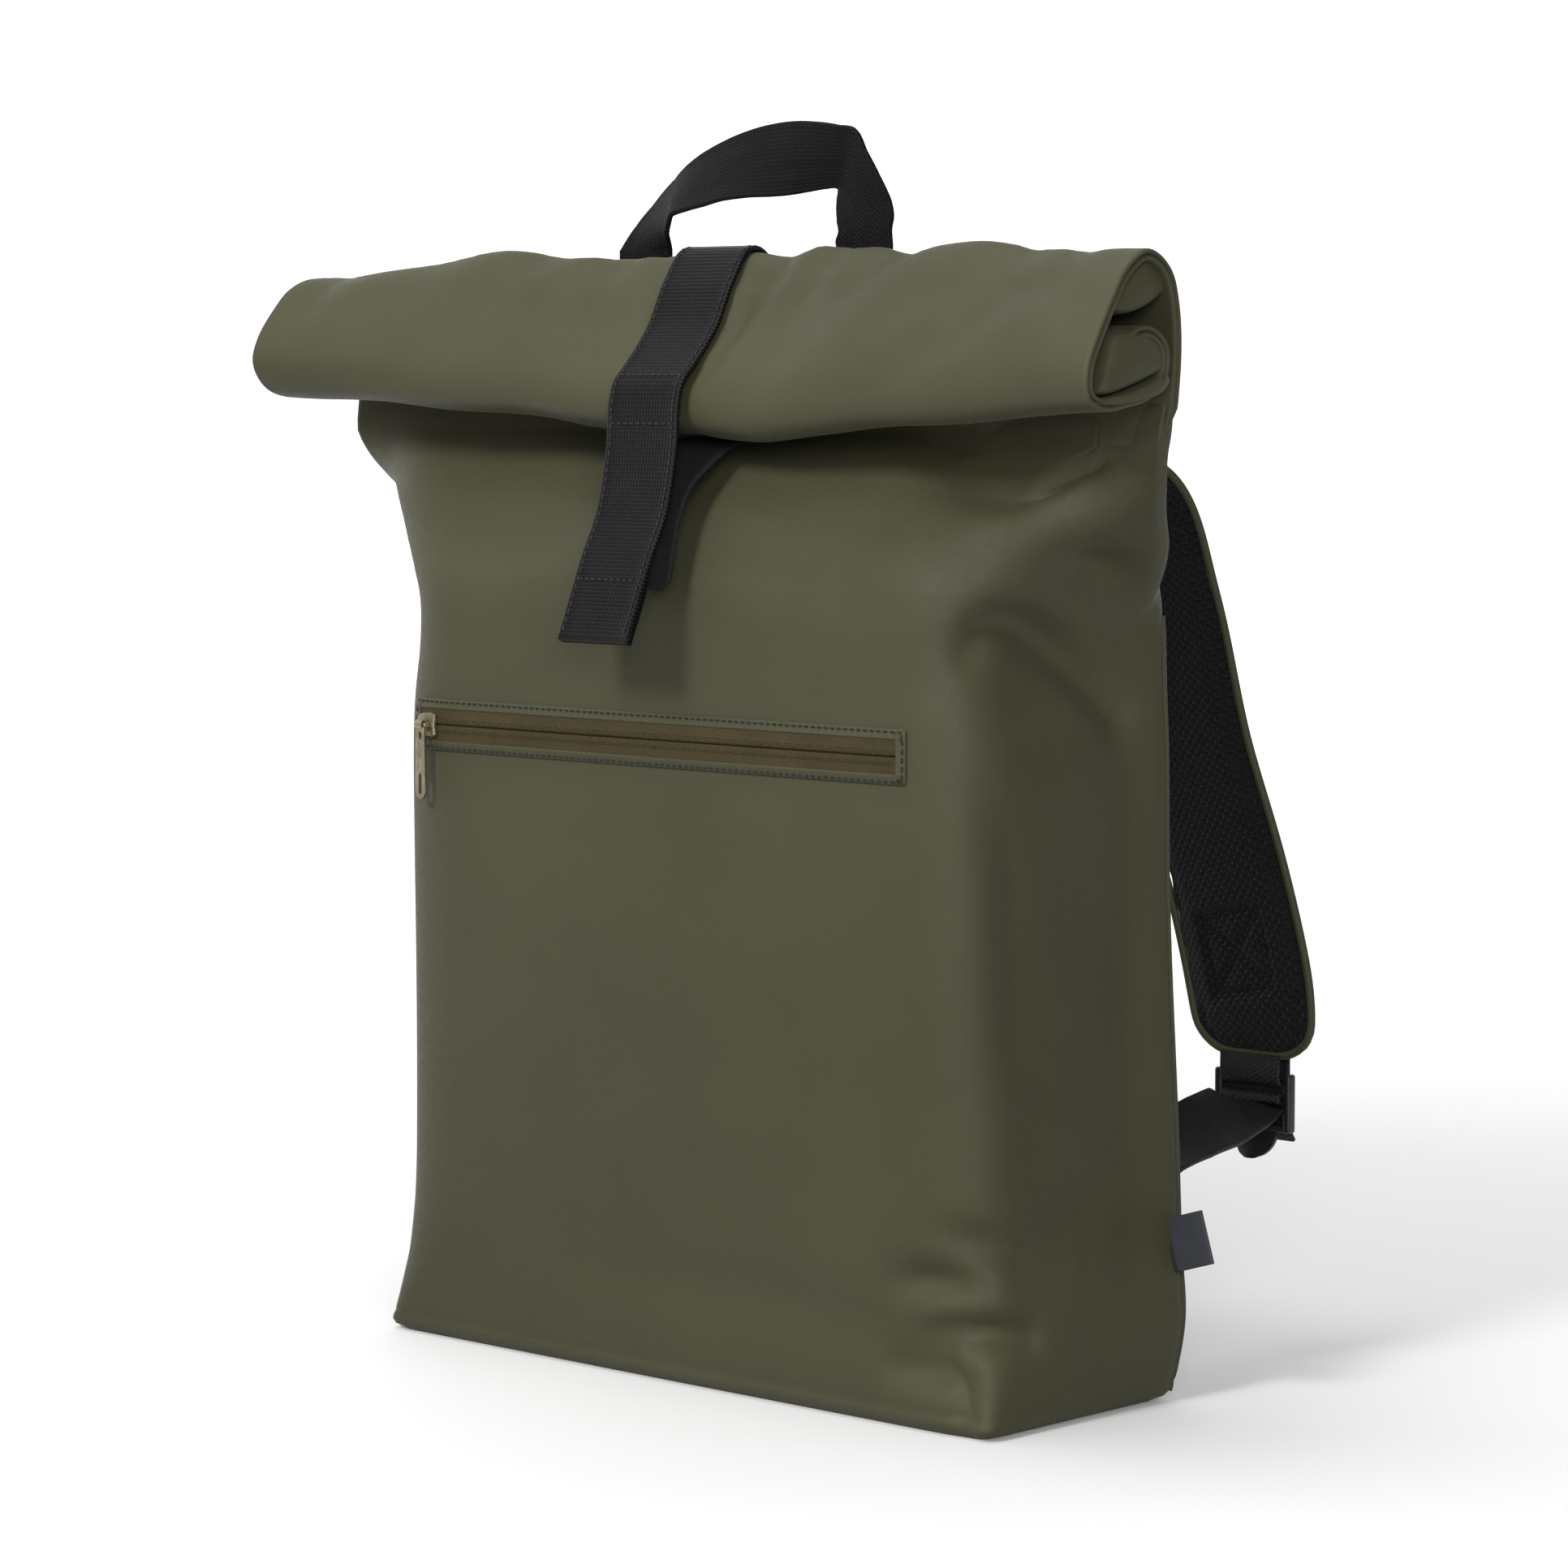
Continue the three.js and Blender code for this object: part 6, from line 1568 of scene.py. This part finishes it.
shader.inputs["Sheen Weight"].default_value = 0.1

pad_behind = 0.514 * BODY_DEPTH


def swollen(piece, at, across, half_width):
    """The foam's fullness: the pad's skin blown up a little by cloth simulation, least at its rim."""
    remesh = piece.modifiers.new("voxels", "REMESH")
    remesh.mode = "VOXEL"
    remesh.voxel_size = PAD_VOXEL
    remesh.use_smooth_shade = True
    apply_modifiers(piece)
    still = np.array([v.co for v in piece.data.vertices])
    cloth = piece.modifiers.new("cloth", "CLOTH")
    cloth.settings.use_pressure = True
    cloth.settings.uniform_pressure_force = PAD_PRESSURE
    cloth.settings.effector_weights.gravity = 0
    cloth.settings.quality = 4
    for step in range(1, PAD_SWELL_STEPS + 1):
        bpy.context.scene.frame_set(step)
    shown = piece.evaluated_get(bpy.context.evaluated_depsgraph_get())
    blown = np.array([v.co for v in shown.data.vertices])
    piece.modifiers.clear()
    bpy.context.scene.frame_set(1)
    nearest = np.array([np.linalg.norm(at - p, axis=1).argmin() for p in still])
    rim = np.abs(((still - at[nearest]) * across[nearest]).sum(axis=1)) / half_width[nearest]
    cap = PAD_SWELL * np.clip(1.05 - rim ** 2, 0.05, 1)
    move = blown - still
    size = np.maximum(np.linalg.norm(move, axis=1), 1e-9)
    still = still + move * np.minimum(1, cap / size)[:, None]
    piece.data.vertices.foreach_set("co", still.ravel())
    piece.data.update()
    smooth = piece.modifiers.new("smooth", "SMOOTH")
    smooth.factor = 0.5
    smooth.iterations = 3
    finer = piece.modifiers.new("finer", "SUBSURF")
    finer.levels = 1
    apply_modifiers(piece)


def shoulder_pad(side_name, hand):
    seat, seat_normal = on_panel(hand * PAD_START_OUT * BODY_WIDTH, PAD_START_UP * NECK_HEIGHT, 1,
                                 2 * SEAT_GAP + YOKE_THICKNESS)
    leave = seat + seat_normal * PAD_THICKNESS / 2
    route = [(leave, X_AXIS, PAD_TOP_WIDTH, PAD_THICKNESS)]
    for out, back, up, width in PAD_ROUTE:
        place = (hand * out * BODY_WIDTH, pad_behind + back * PAD_BOW, up * NECK_HEIGHT)
        route.append((place, X_AXIS, width * PAD_WIDTH, PAD_THICKNESS))
    stations = [(seat, X_AXIS, PAD_TOP_WIDTH, PAD_THICKNESS)] + finer_stations(route, 10)
    at = np.array([s[0] for s in stations], float)
    half_width = np.array([float(s[2]) / 2 for s in stations])
    along, across, up = band_frames(at, [s[1] for s in stations])
    grid = np.array([[at[i] + across[i] * (u * (half_width[i] - 0.0006))
                      + up[i] * (v * (PAD_THICKNESS / 2 - 0.0008))
                      for u, v in PAD_SECTION] for i in range(len(at))])
    count = len(PAD_SECTION)
    faces = grid_faces(len(at), count)
    faces.append(tuple(range(count))[::-1])
    faces.append(tuple((len(at) - 1) * count + k for k in range(count)))
    piece = make_piece(f"shoulder_pad_{side_name}_foam", grid, faces, air_mesh)
    face_outward(piece)
    swollen(piece, at, across, half_width)
    length = np.concatenate([[0], np.cumsum(np.linalg.norm(np.diff(at, axis=0), axis=1))])
    points = np.array([v.co for v in piece.data.vertices])
    nearest = np.concatenate([np.linalg.norm(at[None] - chunk[:, None], axis=2).argmin(axis=1)
                              for chunk in np.array_split(points, 20)])
    offset = points - at[nearest]
    along_run = length[nearest] + (offset * along[nearest]).sum(axis=1)
    across_run = (offset * across[nearest]).sum(axis=1)
    rise = (offset * up[nearest]).sum(axis=1)
    # The sewn box with its cross, pressed into the mesh side near the bottom
    far = np.abs(along_run - (length[-1] - BOX_FROM_END))
    wide = np.abs(across_run)
    inside = (far < BOX_HALF_LENGTH) & (wide < BOX_HALF_WIDTH)
    near_box = (far < BOX_HALF_LENGTH + STITCH_GROOVE) & (wide < BOX_HALF_WIDTH + STITCH_GROOVE)
    line = np.minimum(np.abs(far - BOX_HALF_LENGTH), np.abs(wide - BOX_HALF_WIDTH))
    line = np.where(near_box, line, 1)
    cross = np.abs(far / BOX_HALF_LENGTH - wide / BOX_HALF_WIDTH) * 0.011
    cross = np.where(inside, cross, 1)
    dip = 0.0016 * np.exp(-(np.minimum(line, cross) / 0.0018) ** 2) + 0.0008 * inside
    # A shallow channel all along beside the bound edge, above the box
    dip += 0.0012 * np.exp(-((wide - half_width[nearest] + 0.006) / 0.0016) ** 2) * (far > 0.02)
    points = points - up[nearest] * (dip * (rise > 0))[:, None]
    piece.data.vertices.foreach_set("co", points.ravel())
    lay_cloth_out(piece.data, np.column_stack([along_run, across_run]))
    piece.data.materials.clear()
    piece.data.materials.append(air_mesh)
    piece.data.materials.append(olive_fabric)
    outer = rise < 0.0006
    cloths = [int(sum(outer[v] for v in p.vertices) > 2) for p in piece.data.polygons]
    piece.data.polygons.foreach_set("material_index", cloths)
    piece.data.polygons.foreach_set("use_smooth", [True] * len(piece.data.polygons))
    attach(piece, "bag")
    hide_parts(f"shoulder_pad_{side_name}")
    bound = range(4, len(at))
    edge_reach = half_width - BINDING_INSET
    rim = [at[i] - across[i] * edge_reach[i] + up[i] * BINDING_RISE for i in bound]
    rim += [at[-1] + across[-1] * (u * half_width[-1]) - along[-1] * 0.0004 + up[-1] * BINDING_RISE
            for u in np.linspace(-0.85, 0.85, 9)]
    rim += [at[i] + across[i] * edge_reach[i] + up[i] * BINDING_RISE for i in reversed(bound)]
    rim = np.array(rim)
    steps = np.concatenate([[0], np.cumsum(np.linalg.norm(np.diff(rim, axis=0), axis=1))])
    even = np.linspace(0, steps[-1], int(steps[-1] / 0.0035))
    rim = np.column_stack([np.interp(even, steps, rim[:, k]) for k in range(3)])
    for _ in range(3):
        rim[1:-1] = (rim[:-2] + 2 * rim[1:-1] + rim[2:]) / 4
    binding = tube(f"shoulder_pad_{side_name}_binding", rim, BINDING_RADIUS, olive_fabric, sides=8)
    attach(binding, "bag")


shoulder_pad("right", 1)
shoulder_pad("left", -1)


# Buckles and adjusting webbing
# A moulded black ladder-lock hangs in a short loop of webbing under each pad. The adjusting
# webbing comes up from its patch low on the back, round the middle bar, and ends in a free tail.
BUCKLE_BAR = 0.003
BUCKLE_SLOT = 0.0075
BUCKLE_SIDE = 0.0035
BUCKLE_DROP = 0.0185
BUCKLE_WEB = 0.0016
BUCKLE_LIP_LENGTH = 0.0125
BUCKLE_LIP_HALF_WIDTH = 0.0098
BUCKLE_LIP_BEND = 0.0052
BUCKLE_LIP_THICKNESS = 0.0018
STRAP_WEBBING = 0.03
STRAP_THICKNESS = 0.002
TAIL_LENGTH = 0.016
ANCHOR_WIDTH = 0.034
ANCHOR_TOP = 0.076
ANCHOR_BOTTOM = 0.044
ANCHOR_THICKNESS = 0.0026
ANCHOR_INSET = 0.0205
WEBBING_ROUTE = (
    (0, 0.1, 0.5, 0.15), (0.1, 0.32, 0.8, 0.5), (0.35, 0.6, 0.93, 0.6), (0.7, 0.85, 1.02, 0.45),
    (0.92, 0.965, 1.02, 0.15),
)
WEBBING_LEAVES = 0.0047
TAIL_CURL = ((0.0, 0.45), (0.1, 0.75), (0.26, 1.0))

pad_end = PAD_ROUTE[-1]
buckle_x = pad_end[0] * BODY_WIDTH
buckle_y = pad_behind + pad_end[1] * PAD_BOW
buckle_z = pad_end[2] * NECK_HEIGHT - BUCKLE_DROP
bar_pitch = BUCKLE_BAR + BUCKLE_SLOT
turn_radius = BUCKLE_BAR * math.sqrt(0.5) + SEAT_GAP + STRAP_THICKNESS / 2
anchor_x = 0.5 * BODY_WIDTH - ANCHOR_INSET

strap_cloth = woven_material("plain_black_webbing", (0.007, 0.007, 0.008), (0.017, 0.017, 0.019),
                             0.0019, 0.55, 1.0, 0.0012)

moulded_black, _ = worn_material("moulded_black_plastic", (0.006, 0.006, 0.0065),
                                 (0.013, 0.013, 0.014), 90.0,
                                 (1600.0, 0.3), (0.36, 0.5), 0.2, 0.00015)


def turn_around(x, z, over):
    return [np.array((x, buckle_y - turn_radius * math.cos(a), z + over * turn_radius * math.sin(a)))
            for a in np.linspace(0, math.pi, 13)]


def webbing_at(points):
    return [(p, X_AXIS, STRAP_WEBBING, STRAP_THICKNESS) for p in points]


for side_name, hand in (("right", 1), ("left", -1)):
    x = hand * buckle_x
    keeper_top = pad_end[2] * NECK_HEIGHT + 0.001
    keeper_path = [np.array((x, buckle_y - turn_radius, keeper_top)),
                   *turn_around(x, buckle_z + bar_pitch, -1),
                   np.array((x, buckle_y + turn_radius, keeper_top))]
    keeper = band(f"keeper_webbing_{side_name}", webbing_at(keeper_path), strap_cloth)
    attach(keeper, "bag")
    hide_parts(f"buckle_keeper_{side_name}")

    slot_width = STRAP_WEBBING + 4 * SEAT_GAP
    height = 2 * bar_pitch + BUCKLE_BAR
    parts = []
    for up, deep in ((-bar_pitch, BUCKLE_BAR * 1.15), (0, BUCKLE_BAR), (bar_pitch, BUCKLE_BAR)):
        bar_size = (slot_width + BUCKLE_SIDE, deep, BUCKLE_BAR)
        parts.append(rounded_bar("bar", bar_size, 0.001, Vector((0, 0, up))))
    web_size = (slot_width, BUCKLE_WEB, BUCKLE_SLOT)
    parts.append(rounded_bar("web", web_size, 0.0005, Vector((0, 0.0004, bar_pitch / 2))))
    for edge_side in (-1, 1):
        middle = Vector((edge_side * (slot_width + BUCKLE_SIDE) / 2, 0, 0))
        parts.append(rounded_bar("side", (BUCKLE_SIDE, BUCKLE_BAR * 1.6, height), 0.0013, middle))
    # The rounded lip below the lowest bar, which is pulled up to loosen the strap
    lip_points = []
    for t in np.linspace(0, 1, 9):
        half = BUCKLE_LIP_HALF_WIDTH * math.sqrt(max(1 - (t * 0.98) ** 3, 0))
        bend = 0.0016 - BUCKLE_LIP_BEND * t * t
        lip_z = -bar_pitch - 0.0004 - BUCKLE_LIP_LENGTH * t
        lip_points.append([(u * half, bend - 0.0008 * (1 - u * u), lip_z)
                           for u in np.linspace(-1, 1, 15)])
    lip_points = np.array(lip_points)
    lip_back = lip_points + np.array((0, BUCKLE_LIP_THICKNESS, 0))
    lip_points = np.concatenate([lip_points, lip_back[:, ::-1]], axis=1)
    lip_mesh = bpy.data.meshes.new("lip")
    lip_rows, lip_columns = lip_points.shape[:2]
    lip_faces = grid_faces(lip_rows, lip_columns)
    lip_faces.append(tuple(range(lip_columns)))
    lip_faces.append(tuple((lip_rows - 1) * lip_columns + k for k in range(lip_columns))[::-1])
    lip_mesh.from_pydata(lip_points.reshape(-1, 3).tolist(), [], lip_faces)
    parts.append(lip_mesh)
    buckle = joined_piece(f"ladder_lock_{side_name}", parts, moulded_black, smooth_angle=50)
    buckle.data.transform(Matrix.Translation((x, buckle_y, buckle_z)))
    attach(buckle, "bag")
    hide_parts(f"strap_buckle_{side_name}")

    seat, _ = on_panel(hand * anchor_x, ANCHOR_TOP - 0.004, 1, SEAT_GAP + STRAP_THICKNESS / 2)
    rises, _ = on_panel(hand * anchor_x, ANCHOR_TOP + 0.006, 1, SEAT_GAP + STRAP_THICKNESS)
    threads = np.array((x, buckle_y - turn_radius, buckle_z - 0.001))
    route = []
    for across, back, rise, stand in WEBBING_ROUTE:
        place = (seat[0] + (threads[0] - seat[0]) * across, seat[1] + (threads[1] - seat[1]) * back,
                 seat[2] + WEBBING_LEAVES + (threads[2] - seat[2] - WEBBING_LEAVES) * rise)
        route.append((place, (math.cos(stand), 0, -hand * math.sin(stand)), STRAP_WEBBING,
                      STRAP_THICKNESS))
    turn = turn_around(x, buckle_z, 1)
    down = turn[-1]
    tail = [np.array((x, down[1] + back * TAIL_LENGTH, down[2] - drop * TAIL_LENGTH))
            for back, drop in TAIL_CURL]
    lead = finer_stations(webbing_at([seat, rises]) + route + webbing_at([threads]), 8)
    tail_stations = finer_stations(webbing_at([turn[-1], *tail]), 5)[1:]
    webbing_piece = band(f"adjusting_webbing_{side_name}", lead + webbing_at(turn) + tail_stations,
                         strap_cloth)
    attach(webbing_piece, "bag")
    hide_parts(f"strap_webbing_{side_name}")

    left, right = sorted((hand * anchor_x - ANCHOR_WIDTH / 2, hand * anchor_x + ANCHOR_WIDTH / 2))
    anchor = panel_patch(f"anchor_patch_{side_name}", left, right, ANCHOR_BOTTOM, ANCHOR_TOP, 1,
                         SEAT_GAP + 0.0014,
                         ANCHOR_THICKNESS - 0.0004, olive_fabric)
    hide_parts(f"strap_anchor_{side_name}")
    anchor_lift = SEAT_GAP + 0.001 + ANCHOR_THICKNESS
    anchor_stitches = stitch_rows(f"anchor_stitches_{side_name}", box_runs(
        left, right, ANCHOR_BOTTOM, ANCHOR_TOP, 1, anchor_lift - 0.0004, 0.0035), thread_black)


# Side label
# A charcoal woven tab folded in half, with both ends caught in the seam at the right back corner.
# It leans outward and down, and both of its faces are plain.
LABEL_LENGTH = 0.016
LABEL_HEIGHT = 0.021
LABEL_CENTRE_Z = 0.0645
LABEL_TILT = -0.3
LABEL_PLY = 0.0005
LABEL_ROOT = 0.003
LABEL_HALF_GAP = 0.00042
LABEL_FOLD_START = 0.46
LABEL_FOLD_ROUND = 0.04

label_cloth = woven_material("charcoal_label", (0.024, 0.026, 0.032), (0.052, 0.056, 0.067),
                             0.0006, 0.35, 1.0, 0.0005, bump_height=0.00008)
label_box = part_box("side_label")
label_y = (label_box[0][1] + label_box[1][1]) / 2
label_up = (math.sin(LABEL_TILT), 0, math.cos(LABEL_TILT))
label_out = np.array((math.cos(LABEL_TILT), 0, -math.sin(LABEL_TILT)))
label_middle = np.array(((label_box[0][0] + label_box[1][0]) / 2, label_y, LABEL_CENTRE_Z))
# Out along the front ply, round the fold and back along the other, in shares of the label's length
sewn_in = -0.5 - LABEL_ROOT / LABEL_LENGTH
fold_line = [(reach, 1.0) for reach in np.linspace(sewn_in, LABEL_FOLD_START, 8)]
fold_line += [(LABEL_FOLD_START + LABEL_FOLD_ROUND * math.cos(a), math.sin(a))
              for a in np.radians(np.linspace(75, -75, 7))]
fold_line += [(reach, -1.0) for reach in np.linspace(LABEL_FOLD_START, sewn_in, 8)]
label_stations = []
for reach, aside in fold_line:
    bow = 1 + 0.5 * math.cos(math.pi * min(max(reach, -0.5), LABEL_FOLD_START))
    place = label_middle + label_out * reach * LABEL_LENGTH
    place = place + np.array((0, -aside * LABEL_HALF_GAP * bow, 0))
    label_stations.append((place, label_up, LABEL_HEIGHT, LABEL_PLY))
label = band("label_tab", label_stations, label_cloth)
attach(label, "bag")
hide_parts("side_label")
